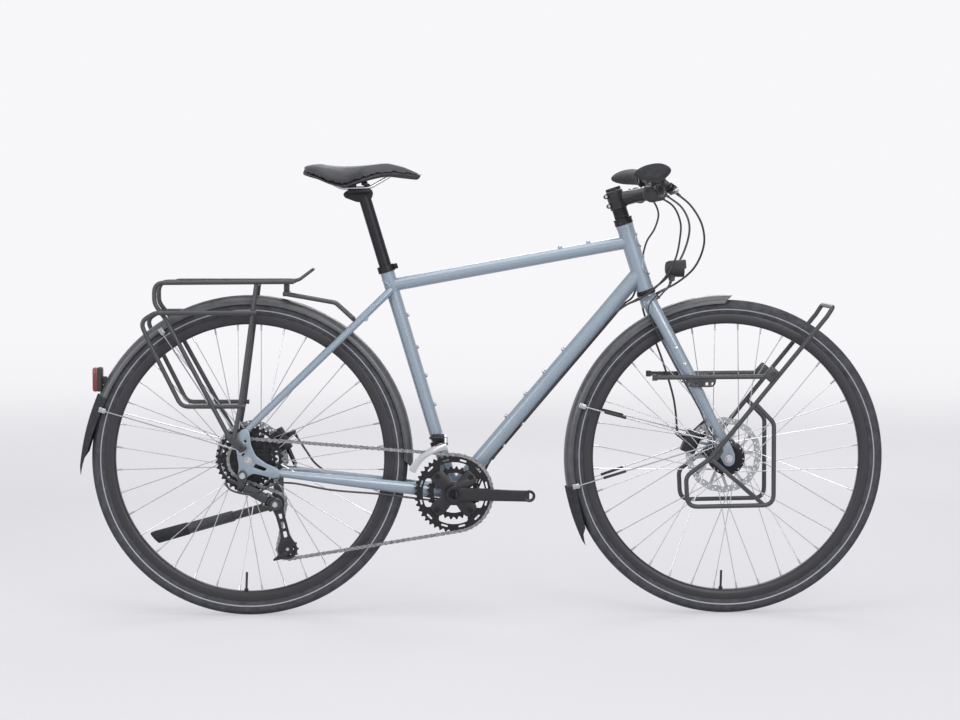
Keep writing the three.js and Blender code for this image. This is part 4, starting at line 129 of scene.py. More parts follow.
# The floor is a step greyer than the wall, and the change lies between 2.6 and 8.6 m from the middle
place = add(backdrop_paint, "TexCoord").outputs["Object"]
flat = add(backdrop_paint, "VectorMath", {0: place, 1: (1, 1, 0)}, operation="MULTIPLY").outputs["Vector"]
away = add(backdrop_paint, "VectorMath", {0: flat}, operation="LENGTH").outputs["Value"]
rise = add(backdrop_paint, "MapRange", {"Value": away, "From Min": 2.6, "From Max": 8.6}).outputs["Result"]
own = add(backdrop_paint, "MapRange",
          {"Value": away, "From Min": 2.6, "From Max": 8.6, "To Min": 0.46, "To Max": 0.95})
share = add(backdrop_paint, "Math", {0: seen_at_all.outputs[0], 1: own.outputs["Result"]},
            operation="MULTIPLY")
glow = add(backdrop_paint, "Emission", {"Color": linear("faf9fc"), "Strength": 1})
step = add(backdrop_paint, "Mix", {0: rise, 6: linear("c4c4c9"), 7: linear("f8f7fa")}, data_type="RGBA")
matt = add(backdrop_paint, "BsdfDiffuse", {"Color": step.outputs[2]})
mixed = add(backdrop_paint, "MixShader", {0: share.outputs[0], 1: matt.outputs[0], 2: glow.outputs[0]})
add(backdrop_paint, "OutputMaterial", {"Surface": mixed.outputs[0]})

# A round floor of 7.5 m reach, with a wall that sweeps up all the way round it to 4 m
floor_reach, sweep_radius, wall_top = 7500, 2400, 4000
sweep = bmesh.new()
bmesh.ops.create_circle(sweep, cap_ends=True, segments=96, radius=floor_reach / 1000)
rim_edges, reach, level = list(sweep.edges), floor_reach, 0
for turn in (*range(6, 91, 6), 96):
    next_reach = floor_reach + sweep_radius * sin(radians(min(turn, 90)))
    next_level = wall_top if turn > 90 else sweep_radius * (1 - cos(radians(turn)))
    verts, rim_edges = grown_from(sweep, rim_edges)
    bmesh.ops.scale(sweep, vec=(next_reach / reach, next_reach / reach, 1), verts=verts)
    bmesh.ops.translate(sweep, vec=at(0, 0, next_level - level), verts=verts)
    reach, level = next_reach, next_level
bmesh.ops.recalc_face_normals(sweep, faces=sweep.faces)
if min(sweep.faces, key=lambda face: face.calc_center_median().z).normal.z < 0:
    bmesh.ops.reverse_faces(sweep, faces=sweep.faces)
sweep_mesh = bpy.data.meshes.new("backdrop")
sweep.to_mesh(sweep_mesh)
sweep.free()
sweep_mesh.shade_smooth()
sweep_mesh.materials.append(backdrop_paint)
backdrop = bpy.data.objects.new("backdrop", sweep_mesh)
bpy.context.scene.collection.objects.link(backdrop)
backdrop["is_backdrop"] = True

room = bpy.context.scene.world or bpy.data.worlds.new("room")
bpy.context.scene.world = room
room.use_nodes = True
room.node_tree.nodes["Background"].inputs["Color"].default_value = linear("f6f6fa")
room.node_tree.nodes["Background"].inputs["Strength"].default_value = 0.5

for name, place, size, power in (
    ("lamp_above", at(-300, -600, 3600), 3.4, 66),
    ("lamp_front", at(1800, -4600, 2600), 2.6, 96),
    ("lamp_rear_side", at(-3200, -3000, 1900), 2.2, 46),
    ("lamp_far_side", at(600, 3200, 2800), 2.4, 52),
):
    light = bpy.data.lights.new(name, "AREA")
    light.shape = "DISK"
    light.size = size
    light.energy = power
    lamp = bpy.data.objects.new(name, light)
    lamp.location = place
    lamp.visible_camera = False
    lamp.rotation_mode = "QUATERNION"
    lamp.rotation_quaternion = (at(0, 0, 450) - place).to_track_quat("-Z", "Y")
    bpy.context.scene.collection.objects.link(lamp)

# Frame
# Butted steel tubes, mitred and welded with a fine even bead, then sprayed grey-blue under clear lacquer.
# The rear ends are thick plates with windows, and small threaded bosses stand along the tubes.


def mm(*sizes):
    """A list of sizes, or of pairs of them, that are given in millimetres."""
    return [tuple(part / 1000 for part in size) if isinstance(size, tuple) else size / 1000
            for size in sizes]


def heading(turn):
    """The direction in the side view at an angle in radians, from straight ahead upwards."""
    return Vector((cos(turn), 0, sin(turn)))


def wheel_turn(angle):
    """The direction in the side view at an angle in degrees, from straight ahead upwards."""
    return heading(radians(angle))


def square_to(ahead):
    """The direction in the side view that is a quarter turn further up than another."""
    return Vector((-ahead.z, 0, ahead.x))


def turned_frames(route, across=(0, 1, 0), closed=False):
    """For each point of a route, a place and turn that rolls as little as the bends allow."""
    count = len(route)
    frames = []
    side = Vector(across)
    for i, point in enumerate(route):
        before = route[i - 1] if i or closed else point
        after = route[(i + 1) % count] if i < count - 1 or closed else point
        into = (point - before).normalized() if point != before else Vector()
        out = (after - point).normalized() if point != after else Vector()
        ahead = (into + out).normalized()
        if i == 0 and abs(ahead.dot(side)) > 0.97:
            side = Vector((1, 0, 0))
        side = (side - ahead * side.dot(ahead)).normalized()
        deep = ahead.cross(side)
        turn = Matrix((side, deep, ahead)).transposed().to_4x4()
        frames.append(Matrix.Translation(point) @ turn)
    return frames


def sweep_along(bm, route, radius, sides=16, across=(0, 1, 0), closed=False):
    """Draws a round or oval section along a route.

    The radius is one size in metres for all of it, or one size or a pair of sizes for each point.
    """
    sizes = radius if isinstance(radius, (list, tuple)) else [radius] * len(route)
    sizes = [size if isinstance(size, (list, tuple)) else (size, size) for size in sizes]
    places = [place @ Matrix.Diagonal((wide, deep, 1, 1))
              for place, (wide, deep) in zip(turned_frames(route, across, closed), sizes)]
    ring = bmesh.ops.create_circle(bm, cap_ends=False, segments=sides, radius=1, matrix=places[0])["verts"]
    first = edges = list({edge for vert in ring for edge in vert.link_edges})
    for here, there in zip(places, places[1:]):
        verts, edges = grown_from(bm, edges)
        bmesh.ops.transform(bm, matrix=there @ here.inverted(), verts=verts)
    if closed:
        bmesh.ops.bridge_loops(bm, edges=first + edges)
    else:
        for rim_edges in (first, edges):
            bmesh.ops.contextual_create(bm, geom=rim_edges)


def piece(name, bm, body, finish, stands_for=(), sharp=38):
    """Makes a finished object of a mesh and lets it ride on a body of the solid model."""
    bmesh.ops.recalc_face_normals(bm, faces=bm.faces[:])
    mesh = bpy.data.meshes.new(name)
    bm.to_mesh(mesh)
    bm.free()
    mesh.shade_smooth()
    mesh.set_sharp_from_angle(angle=radians(sharp))
    mesh.materials.append(finish)
    made = bpy.data.objects.new(name, mesh)
    bpy.context.scene.collection.objects.link(made)
    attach(made, body)
    if stands_for:
        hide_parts(*stands_for)
    return made


def coated(name, colour, **inputs):
    """A new material with the given colour and constant inputs on its shader."""
    material = bpy.data.materials.new(name)
    material.use_nodes = True
    shader = material.node_tree.nodes["Principled BSDF"]
    shader.inputs["Base Color"].default_value = linear(colour)
    for key, value in inputs.items():
        shader.inputs[key.replace("_", " ")].default_value = value
    return material


def pattern(material, kind, inputs, tint=None, rough=None, dent=None, ends=(0.3, 0.7), **settings):
    """Lets one texture move a material's colour, roughness or height.

    Tint holds the two colours at the ends, rough the least and most roughness, and dent the strength and the
    depth in metres.
    """
    shader = material.node_tree.nodes["Principled BSDF"].inputs
    place = add(material, "TexCoord").outputs["Object"]
    texture = add(material, kind, {"Vector": place, **inputs}, **settings)
    value = texture.outputs["Distance" if kind == "TexVoronoi" else "Fac"]
    if tint:
        ramp = add(material, "ValToRGB", {"Fac": value}, {"Color": shader["Base Color"]}).color_ramp
        for stop, position, colour in zip(ramp.elements, ends, tint):
            stop.position, stop.color = position, linear(colour)
    if rough:
        span = {"From Min": 0.35, "From Max": 0.65, "To Min": rough[0], "To Max": rough[1]}
        add(material, "MapRange", {"Value": value, **span}, {"Result": shader["Roughness"]})
    if dent:
        depth = {"Strength": dent[0], "Distance": dent[1]}
        add(material, "Bump", {"Height": value, **depth}, {"Normal": shader["Normal"]})


# Metallic lacquer: fine flakes under a smooth clear coat give a soft sheen and a sharper gloss above it
lacquer = coated("grey_blue_lacquer", "8e9aa6", Metallic=0.2, Roughness=0.36, Coat_Weight=0.7,
                 Coat_Roughness=0.08)
# Flakes are about 0.1 mm in the real paint and drawn at 0.6 mm so that they show
pattern(lacquer, "TexVoronoi", {"Scale": 1650}, tint=("95a2af", "84919d"), ends=(0.2, 0.8))
pattern(lacquer, "TexNoise", {"Scale": 130, "Detail": 2}, rough=(0.3, 0.42), dent=(0.05, 0.0002))

rear_axle, front_axle = at(-511, 0, 349), at(545, 0, 349)
bracket, seat_top = at(-61.2, 0, 274), at(-209.2, 0, 767.3)
head_low, head_high = at(364.3, 0, 719.8), at(317.6, 0, 864.4)
seat_up = (seat_top - bracket).normalized()
head_up = (head_high - head_low).normalized()
top_tube = (seat_top - seat_up * 0.038, head_low.lerp(head_high, 0.74), 0.0143)
down_tube = (bracket, head_low.lerp(head_high, 0.27), 0.0174)
seat_tube = (bracket, seat_top, 0.0149)
head_tube = (head_low, head_high, 0.019)
shell_tube = (bracket + at(0, -34, 0), bracket + at(0, 34, 0), 0.02)


def seam(branch, trunk):
    """The closed line where the end of one round tube meets another."""
    start, end, radius = branch
    ahead = (start - end).normalized()
    axis = (trunk[1] - trunk[0]).normalized()
    side = axis.cross(ahead).normalized() if abs(axis.dot(ahead)) < 0.99 else Vector((0, 1, 0))
    high = ahead.cross(side)
    points = []
    for i in range(48):
        turn = 2 * pi * i / 48
        line = end + (side * cos(turn) + high * sin(turn)) * radius
        offset = line - trunk[0]
        offset -= axis * offset.dot(axis)
        run = ahead - axis * ahead.dot(axis)
        a, b, c = run.dot(run), 2 * run.dot(offset), offset.dot(offset) - trunk[2] ** 2
        root = max(b * b - 4 * a * c, 0) ** 0.5
        points.append(line + ahead * ((-b - root) / (2 * a)))
    return points


def weld(bm, points, bead):
    """A rippled bead laid along a seam."""
    sizes = [bead * (1.12 if i % 2 else 0.92) for i in range(len(points))]
    sweep_along(bm, points, sizes, 8, closed=True)


tubes = bmesh.new()
sweep_along(tubes, list(seat_tube[:2]), 0.0149, 40)
sweep_along(tubes, [bracket.lerp(down_tube[1], share) for share in (0, 0.35, 0.8, 1)],
            mm(17.6, 17.4, 17.2, 17.6), 40)
sweep_along(tubes, [top_tube[0].lerp(top_tube[1], share) for share in (0, 0.2, 0.8, 1)],
            mm(14.3, 14.1, 14.1, 14.4), 40)
sweep_along(tubes, [head_low, head_low + head_up * 0.008, head_low + head_up * 0.0085,
                    head_high - head_up * 0.0085, head_high - head_up * 0.008, head_high],
            mm(19.5, 19.5, 18.8, 18.8, 19.5, 19.5), 48)
sweep_along(tubes, [shell_tube[0], shell_tube[0] + at(0, 1, 0), shell_tube[1] - at(0, 1, 0), shell_tube[1]],
            mm(19.2, 20.2, 20.2, 19.2), 48)
# A thicker sleeve round the seat tube's mouth
sweep_along(tubes, [seat_top - seat_up * 0.052, seat_top - seat_up * 0.048, seat_top],
            mm(14.9, 15.8, 15.8), 40)

for side in (-1, 1):
    foot, head = at(-519, side * 65, 411), seat_top - seat_up * 0.046 + at(0, side * 18, 0)
    sweep_along(tubes, [foot.lerp(head, share) for share in (0, 0.08, 0.5, 0.97, 1)],
                mm(6.2, 7.2, 8.2, 8.2, 6), 24)
    start, bend = at(-75, side * 21, 274), at(-151, side * 30, 283)
    end = at(-449, side * 63, 321)
    ways = [start, bend.lerp(start, 0.4), bend, bend.lerp(end, 0.18), bend.lerp(end, 0.5),
            bend.lerp(end, 0.82), end]
    ovals = mm((7.6, 13.8), (7, 13.8), (6.6, 13.7), (6.8, 13.2), (7.8, 11.2), (8.2, 8.8), (7.8, 7.4))
    sweep_along(tubes, ways, ovals, 28)
bridge_at = rear_axle + wheel_turn(50.5) * 0.402
sweep_along(tubes, [bridge_at - at(0, 33, 0), bridge_at + at(0, 33, 0)], 0.0068, 24)
for branch, trunk, size in (
    ((top_tube[1], top_tube[0], 0.0143), seat_tube, 0.0021),
    (top_tube, head_tube, 0.0023),
    (down_tube, head_tube, 0.0023),
    ((seat_top, bracket, 0.0149), shell_tube, 0.0022),
    ((down_tube[1], bracket, 0.0174), shell_tube, 0.0022),
):
    weld(tubes, seam(branch, trunk), size)
piece("frame_tubes", tubes, "frame", lacquer, ["frame"], 50)


def looped(bm, points):
    """A closed line of new edges through points."""
    verts = [bmesh.ops.create_vert(bm, co=point)["vert"][0] for point in points]
    return [bm.edges.new(pair) for pair in zip(verts, verts[1:] + verts[:1])]


def thickened(bm, faces, move):
    """Extrudes faces by a move and gives the new corners."""
    grown = bmesh.ops.extrude_face_region(bm, geom=faces, use_keep_orig=True)["geom"]
    verts = [part for part in grown if isinstance(part, bmesh.types.BMVert)]
    bmesh.ops.translate(bm, vec=move, verts=verts)
    return verts


def outline_plate(bm, outline, low, high, holes=(), edge=0.0008):
    """A flat plate that stands in the side view, from (x, z) points, with all its sizes in metres."""
    low, high = sorted((low, high))
    loops = [line for ring in (outline, *holes) for line in looped(bm, [(x, low, z) for x, z in ring])]
    filled = bmesh.ops.triangle_fill(bm, edges=loops, use_beauty=True, use_dissolve=True)["geom"]
    verts = thickened(bm, [part for part in filled if isinstance(part, bmesh.types.BMFace)],
                      (0, high - low, 0))
    if edge:
        rims = [e for e in {e for v in verts for e in v.link_edges} | set(loops) if e.is_valid
                and len(e.link_faces) == 2 and abs(e.verts[0].co.y - e.verts[1].co.y) < 1e-7
                and e.calc_face_angle(0) > 1]
        bmesh.ops.bevel(bm, geom=rims, offset=edge, segments=2, profile=0.5, affect="EDGES", material=-1)


def eased(outline, radius, steps=4):
    """Rounds each corner of a flat (x, z) outline by a radius, no more than its sides allow."""
    points = [Vector(p) for p in outline]
    made = []
    for i, corner in enumerate(points):
        before, after = points[i - 1], points[(i + 1) % len(points)]
        into, out = (before - corner), (after - corner)
        reach = min(radius, into.length * 0.45, out.length * 0.45)
        a, b = corner + into.normalized() * reach, corner + out.normalized() * reach
        for k in range(steps + 1):
            t = k / steps
            made.append(tuple(a * (1 - t) ** 2 + corner * 2 * t * (1 - t) + b * t * t))
    return made


def ring_of(x, z, radius, count=20):
    """The outline of a round hole or disc."""
    return [(x + radius * cos(2 * pi * i / count), z + radius * sin(2 * pi * i / count))
            for i in range(count)]


# Rear end plates, in shares of 62 mm along and 116 mm up from the axle
right_end = [(-0.36, 0.53), (-0.16, 0.62), (0.04, 0.56), (0.1, 0.3), (0.26, 0.1), (0.6, -0.04),
             (1.08, -0.16), (1.12, -0.3), (0.9, -0.34), (0.4, -0.26), (0.14, -0.24), (-0.02, -0.3),
             (-0.1, -0.36), (-0.3, -0.37), (-0.38, -0.27), (-0.33, -0.1), (-0.4, 0.1), (-0.44, 0.36)]
left_end = right_end[:10] + [(0.1, -0.2), (-0.22, -0.16), (-0.36, 0), (-0.42, 0.3)]
ends = bmesh.new()
for side, outline in ((-1, right_end), (1, left_end)):
    shape = eased([(rear_axle.x + x * 0.062, rear_axle.z + z * 0.116) for x, z in outline], 0.007)
    holes = [ring_of(rear_axle.x, rear_axle.z, 0.0051, 24), ring_of(-0.521, 0.3618, 0.0042),
             ring_of(-0.5197, 0.3768, 0.0042), ring_of(-0.5175, 0.3925, 0.003),
             eased([(-0.498, 0.344), (-0.47, 0.332), (-0.476, 0.3265), (-0.5, 0.335)], 0.003)]
    if side < 0:
        holes.append(ring_of(-0.5238, 0.3167, 0.0054))
    low, high = (-0.0735, -0.0675) if side < 0 else (0.0675, 0.0735)
    outline_plate(ends, shape, low, high, holes)
piece("frame_ends", ends, "frame", lacquer)

# Threaded bosses with their screws: bottle cages, guards and cable stops
bosses, screws = bmesh.new(), bmesh.new()
down_ahead = (down_tube[1] - bracket).normalized()
down_out = square_to(down_ahead)
seat_out = -square_to(seat_up)
top_ahead = (top_tube[1] - top_tube[0]).normalized()
top_out = square_to(top_ahead)
for start, ahead, out, radius, places in (
    (bracket, seat_up, seat_out, 0.0149, (197, 264, 330, 404)),
    (bracket, down_ahead, down_out, 0.0174, (203, 268, 332, 397)),
    (bracket, down_ahead, -down_out, 0.0174, (150, 214)),
    (top_tube[0], top_ahead, top_out, 0.0143, (382, 446)),
):
    for distance in places:
        seat = start + ahead * distance / 1000 + out * (radius - 0.0011)
        sweep_along(bosses, [seat, seat + out * 0.0025, seat + out * 0.0031], mm(5.2, 5, 4.2), 16)
        sweep_along(screws, [seat + out * 0.0026, seat + out * 0.0053, seat + out * 0.0059],
                    mm(4.2, 4.1, 3.3), 16)
piece("frame_bosses", bosses, "frame", lacquer)

# Stainless steel: bright, with a soft grey reflection
stainless = coated("stainless_steel", "c4c6c9", Metallic=1, Roughness=0.28)
pattern(stainless, "TexNoise", {"Scale": 2400, "Detail": 2}, rough=(0.2, 0.36))
piece("frame_screws", screws, "frame", stainless)

# Fork, headset and stem
# The fork is steel, with a sloped crown, tapering blades and flat ends, in the frame's lacquer.
# Headset cups, spacers and the forged stem are black anodised aluminium, held by steel socket screws.

head_ahead = -square_to(head_up)
crown_race = at(367.5, 0, 709.9)
fork = bmesh.new()
sweep_along(fork, [crown_race - head_up * 0.026, crown_race - head_up * 0.024,
                   crown_race - head_up * 0.004, crown_race], mm(17.5, 19.5, 19.5, 18.5), 40,
            across=(0, 1, 0))
shoulder = crown_race - head_up * 0.013
yoke = [shoulder + head_up * (-0.010 * abs(s) ** 1.5) + at(0, 44 * s, 0)
        for s in (-1, -0.7, -0.35, 0, 0.35, 0.7, 1)]
sweep_along(fork, yoke, [(0.0148, 0.0128)] * 7, 28, across=head_ahead)
for side in (-1, 1):
    top = crown_race - head_up * 0.013 + at(0, 44 * side, 0)
    end = front_axle + at(-11.3, 53.5 * side, 40)
    middle = top.lerp(end, 0.46) + at(0, (60 - (44 + (53.5 - 44) * 0.46)) * side, 0)
    curve = [top, top.lerp(middle, 0.16) + at(0, 3.6 * side, 0),
             top.lerp(middle, 0.45) + at(0, 4.5 * side, 0), middle,
             middle.lerp(end, 0.5) + at(0, 0.8 * side, 0), end]
    ovals = mm((9.2, 12.8), (10, 13.7), (10.1, 13.7), (9.9, 13.2), (8.8, 10.5), (6.6, 7.4))
    sweep_along(fork, curve, ovals, 28)
    flat_end = [(-0.62, 0.86), (-0.2, 0.92), (0.16, 0.5), (0.4, 0.16), (0.38, -0.16), (0.1, -0.3),
                (-0.24, -0.26), (-0.5, 0), (-0.76, 0.3), (-0.98, 0.5), (-0.9, 0.72)]
    shape = eased([(front_axle.x + x * 0.034, front_axle.z + z * 0.058) for x, z in flat_end], 0.006)
    low, high = (-0.057, -0.05) if side < 0 else (0.05, 0.057)
    outline_plate(fork, shape, low, high,
                  [ring_of(front_axle.x, front_axle.z, 0.0051, 24), ring_of(0.52, 0.385, 0.0026, 12)])
    for share in (0.36, 0.47, 0.58):
        seat = crown_race.lerp(end, share)
        seat.y = side * 0.0675
        sweep_along(fork, [seat - at(0, 4 * side, 0), seat, seat + at(0, 0.8 * side, 0)], mm(5.2, 5, 4.2),
                    16)
piece("fork_lacquered", fork, "steering", lacquer, ["fork"], 50)

fork_screws = bmesh.new()
for side in (-1, 1):
    end = front_axle + at(-11.3, 53.5 * side, 40)
    for share in (0.36, 0.47, 0.58):
        seat = crown_race.lerp(end, share)
        seat.y = side * 0.0682
        sweep_along(fork_screws, [seat, seat + at(0, 2.8 * side, 0), seat + at(0, 3.4 * side, 0)],
                    mm(4.2, 4.1, 3.3), 16)
piece("fork_screws", fork_screws, "steering", stainless)

# Anodised aluminium: dyed black, blasted before dyeing, so it reflects softly
anodised = coated("black_anodised_aluminium", "26262a", Metallic=0.55, Roughness=0.42)
pattern(anodised, "TexNoise", {"Scale": 1900, "Detail": 3}, rough=(0.34, 0.5), dent=(0.12, 0.0002))


def lathe(bm, profile, centre, axis=(0, 1, 0), steps=48):
    """Spins a closed or open line of (radius, distance along the axis) about an axis through a centre."""
    axis = Vector(axis).normalized()
    side = Vector((0, 0, 1)) if abs(axis.z) < 0.9 else Vector((1, 0, 0))
    side = (side - axis * side.dot(axis)).normalized()
    spots = [centre + side * radius + axis * along for radius, along in profile]
    verts = [bmesh.ops.create_vert(bm, co=spot)["vert"][0] for spot in spots]
    edges = [bm.edges.new(pair) for pair in zip(verts, verts[1:])]
    if profile[0] == profile[-1]:
        bmesh.ops.pointmerge(bm, verts=[verts[0], verts[-1]], merge_co=verts[0].co)
        verts = verts[:-1]
        edges = list({e for v in verts for e in v.link_edges})
    bmesh.ops.spin(bm, geom=verts + edges, cent=centre, axis=axis, dvec=(0, 0, 0), angle=2 * pi,
                   steps=steps, use_merge=True)
    lone = [v for v in bm.verts if not v.link_faces]
    if lone:
        bmesh.ops.delete(bm, geom=lone, context="VERTS")
    close = [v for v in bm.verts if (v.co - centre - axis * (v.co - centre).dot(axis)).length < 1e-5]
    if close:
        bmesh.ops.remove_doubles(bm, verts=close, dist=1e-5)


def wall(inner, outer, low, high, ease=0):
    """A closed ring section for the lathe in millimetres, with its two outer corners eased."""
    corners = ((outer - ease, low), (outer, low + ease), (outer, high - ease), (outer - ease, high))
    return mm((inner, low), *(corners if ease else corners[::2]), (inner, high), (inner, low))


cups = bmesh.new()
lathe(cups, mm((14.6, 14.8), (20.5, 14.8), (21, 13.8), (21, 11.5), (20.2, 11), (20.2, 6.2), (20.6, 5.5),
               (20.6, 1.2), (19.8, 0.4), (14.6, 0.4), (14.6, 14.8)), head_high, head_up)
piece("headset_cup_above", cups, "frame", anodised, ["headset_upper_cup"])
cups = bmesh.new()
lathe(cups, mm((14.6, 10.2), (20.5, 10.2), (21.2, 9), (21.2, 5.2), (20.4, 4.6), (20.4, 2), (19.7, 0.4),
               (14.6, 0.4), (14.6, 10.2)), head_low, -head_up)
piece("headset_cup_below", cups, "frame", anodised, ["headset_lower_cup"])

# Satin black paint on forged parts: a little rounder in gloss than the anodised ones
forged = coated("satin_black_forging", "222226", Metallic=0.3, Roughness=0.35, Coat_Weight=0.25,
                Coat_Roughness=0.3)
pattern(forged, "TexNoise", {"Scale": 800, "Detail": 3}, rough=(0.3, 0.44), dent=(0.08, 0.0003))

stem_centre, bar_centre = at(299.9, 0, 919.2), at(390, 0, 937.7)
stem_ahead = (bar_centre - stem_centre).normalized()
stem_up = square_to(stem_ahead)
stem = bmesh.new()
lathe(stem, wall(14.6, 19.2, -20.5, 20.5, 1), stem_centre, head_up)
ways = [stem_centre + stem_ahead * d for d in (0.012, 0.022, 0.045, 0.066, 0.074)]
sweep_along(stem, ways, mm((16.5, 17.8), (16.2, 16.5), (15.8, 14.8), (16.5, 15.8), (18.5, 17.5)), 32)
lathe(stem, mm((16.1, -21.5), (20.8, -21.5), (21.6, -20.5), (21.6, -12.5), (20.6, -11.5), (20.6, 11.5),
               (21.6, 12.5), (21.6, 20.5), (20.8, 21.5), (16.1, 21.5), (16.1, -21.5)), bar_centre)
stem_screws = bmesh.new()


def socket_screw(bm, seat, ahead, radius=0.0038, height=0.004):
    """A cylinder-head screw with its hexagon socket, standing on a seat."""
    lathe(bm, [(0, 0), (radius, 0), (radius, height - 0.0005), (radius - 0.0005, height)], seat, ahead, 20)
    lathe(bm, [(radius - 0.0005, height), (radius * 0.56, height), (radius * 0.56, height * 0.4),
               (0, height * 0.4)], seat, ahead, 6)


for across in (-0.0165, 0.0165):
    for rise in (-0.0165, 0.0165):
        seat = bar_centre + stem_up * rise + Vector((0, across, 0))
        sweep_along(stem, [seat - stem_ahead * 0.013, seat + stem_ahead * 0.009,
                           seat + stem_ahead * 0.0098], mm(5.2, 5.2, 4.4), 16)
        socket_screw(stem_screws, seat + stem_ahead * 0.0095, stem_ahead, 0.0036, 0.0032)
for rise in (-0.011, 0.011):
    seat = stem_centre - stem_ahead * 0.0205 + head_up * rise
    sweep_along(stem, [seat + at(0, -11, 0), seat + at(0, -10, 0), seat + at(0, 10, 0),
                       seat + at(0, 11, 0)], mm(4, 5.2, 5.2, 4), 16)
    socket_screw(stem_screws, seat + at(0, -10.5, 0), (0, -1, 0), 0.0034, 0.003)
piece("stem_forging", stem, "steering", forged, ["stem"])

spacers = bmesh.new()
for low, high, radius in ((15.3, 25, 0.0165), (25.3, 30.2, 0.0165), (30.5, 37.1, 0.0165)):
    lathe(spacers, [(0.0146, low / 1000), (radius - 0.0004, low / 1000), (radius, low / 1000 + 0.0005),
                    (radius, high / 1000 - 0.0005), (radius - 0.0004, high / 1000), (0.0146, high / 1000),
                    (0.0146, low / 1000)], head_high, head_up)
lathe(spacers, mm((0, 78.6), (16, 78.6), (17.2, 79.6), (17.2, 82.6), (16, 85.6), (5.5, 86.2), (4.8, 84),
                  (0, 84)), head_high, head_up)
piece("headset_spacers", spacers, "steering", anodised)
socket_screw(stem_screws, head_high + head_up * 0.0838, head_up, 0.0042, 0.003)
piece("stem_screws", stem_screws, "steering", stainless)

# Handlebar and grips
# A butted aluminium bar with a slight rise and sweep. The grips are rubber, round at the neck and
# winged at the palm, with a fine moulded texture, and are locked by a clamp ring.


def smooth_step(value, low, high):
    """Rises softly from 0 to 1 between two values."""
    t = min(max((value - low) / (high - low), 0), 1)
    return t * t * (3 - 2 * t)


def skinned(bm, loops):
    """Joins closed lines one after another and closes both ends."""
    for one, two in zip(loops, loops[1:]):
        bmesh.ops.bridge_loops(bm, edges=one + two)
    for end in (loops[0], loops[-1]):
        bmesh.ops.contextual_create(bm, geom=end)


def bar_at(distance):
    """The bar's centre line, by the distance across from its middle in metres."""
    reach = abs(distance) * 1000
    t = smooth_step(reach, 70, 120)
    beyond = max(reach - 70, 0)
    swept = at(-beyond * 0.14054 * t, 0, 22 * t + beyond * 0.06993 * t)
    return bar_centre + swept + Vector((0, distance, 0))


bar = bmesh.new()
stations = [-312, -200, -130, -115, -100, -85, -72, -60, -52, -44, -36, 0, 36, 44, 52, 60, 72, 85, 100,
            115, 130, 200, 312]
sizes = [0.0158 if abs(s) <= 36 else 0.0158 - 0.0047 * smooth_step(abs(s), 36, 64) for s in stations]
sweep_along(bar, [bar_at(s / 1000) for s in stations], sizes, 32, across=(1, 0, 0))
piece("handlebar_tube", bar, "steering", anodised, ["handlebar"])

# Grip rubber: a slightly grey, dry black with a moulded pimple pattern 1.6 mm apart
grip_rubber = coated("grip_rubber", "2f3033", Roughness=0.78, Specular_IOR_Level=0.35)
pattern(grip_rubber, "TexNoise", {"Scale": 90, "Detail": 4}, tint=("2b2c2f", "3a3b3e"))
pattern(grip_rubber, "TexVoronoi", {"Scale": 620, "Randomness": 0.15}, dent=(0.5, 0.0004))

grip_ahead = heading(radians(7.6))
grip_up = square_to(grip_ahead)
for side, word in ((-1, "right"), (1, "left")):
    grip, rings = bmesh.new(), bmesh.new()
    direction = (bar_at(side * 0.312) - bar_at(side * 0.12)).normalized()
    loops = []
    for share, wing in ((0, 0), (0.03, 0.05), (0.12, 0.03), (0.25, 0.12), (0.4, 0.4), (0.55, 0.7),
                        (0.7, 0.92), (0.82, 1), (0.91, 0.98), (0.965, 0.9), (0.99, 0.76), (1, 0.6)):
        centre = bar_at(side * 0.312) + direction * (0.003 - 0.132 * (1 - share))
        ring = []
        for i in range(36):
            x, z = cos(2 * pi * i / 36), sin(2 * pi * i / 36)
            reach = 47 if x < 0 else 33
            deep = (15.2 + (reach - 15.2) * wing) * (1 if x > 0 else -1) * abs(x) ** (1 - wing / 5)
            tall = (15.2 + (16.6 - 15.2) * wing) * z * (1 - wing * x * x / 4.4)
            tall *= 1.02 if share == 0.03 else 1
            spot = centre + grip_ahead * deep / 1000 + grip_up * tall / 1000
            ring.append(spot)
        loops.append(looped(grip, ring))
    skinned(grip, loops)
    made = piece(f"grip_rubber_{word}", grip, "steering", grip_rubber, [f"grip_{word}"], 60)
    smoothing = made.modifiers.new("rounding", "SUBSURF")
    smoothing.levels = smoothing.render_levels = 1
    inner = bar_at(side * 0.1815)
    lathe(rings, mm((11.3, -5.5), (14.8, -5.5), (15.6, -4.6), (15.6, 3), (14.8, 3.8), (11.3, 3.8),
                    (11.3, -5.5)), inner, direction, 40)
    piece(f"grip_ring_{word}", rings, "steering", anodised)

# Tyres and rims
# Touring tyres of black rubber, with a finely cut tread, a matt side wall and a pale reflecting line.
# The rims are extruded aluminium, welded into a hoop and anodised black.

# Tyre rubber: a matt dark grey that is dusty in places, with a fine grain from its mould
tyre_rubber = coated("tyre_rubber", "4b4c50", Roughness=0.82, Specular_IOR_Level=0.3)
pattern(tyre_rubber, "TexNoise", {"Scale": 55, "Detail": 5}, tint=("3c3c40", "505156"))
pattern(tyre_rubber, "TexNoise", {"Scale": 1500, "Detail": 2}, dent=(0.35, 0.0004))

# The reflecting line is glass beads in pale ink: flat grey that brightens a little at an angle
reflecting = coated("reflecting_line", "a3a4a8", Roughness=0.45)
pattern(reflecting, "TexNoise", {"Scale": 2500, "Detail": 1}, tint=("8f9094", "b4b5b9"))

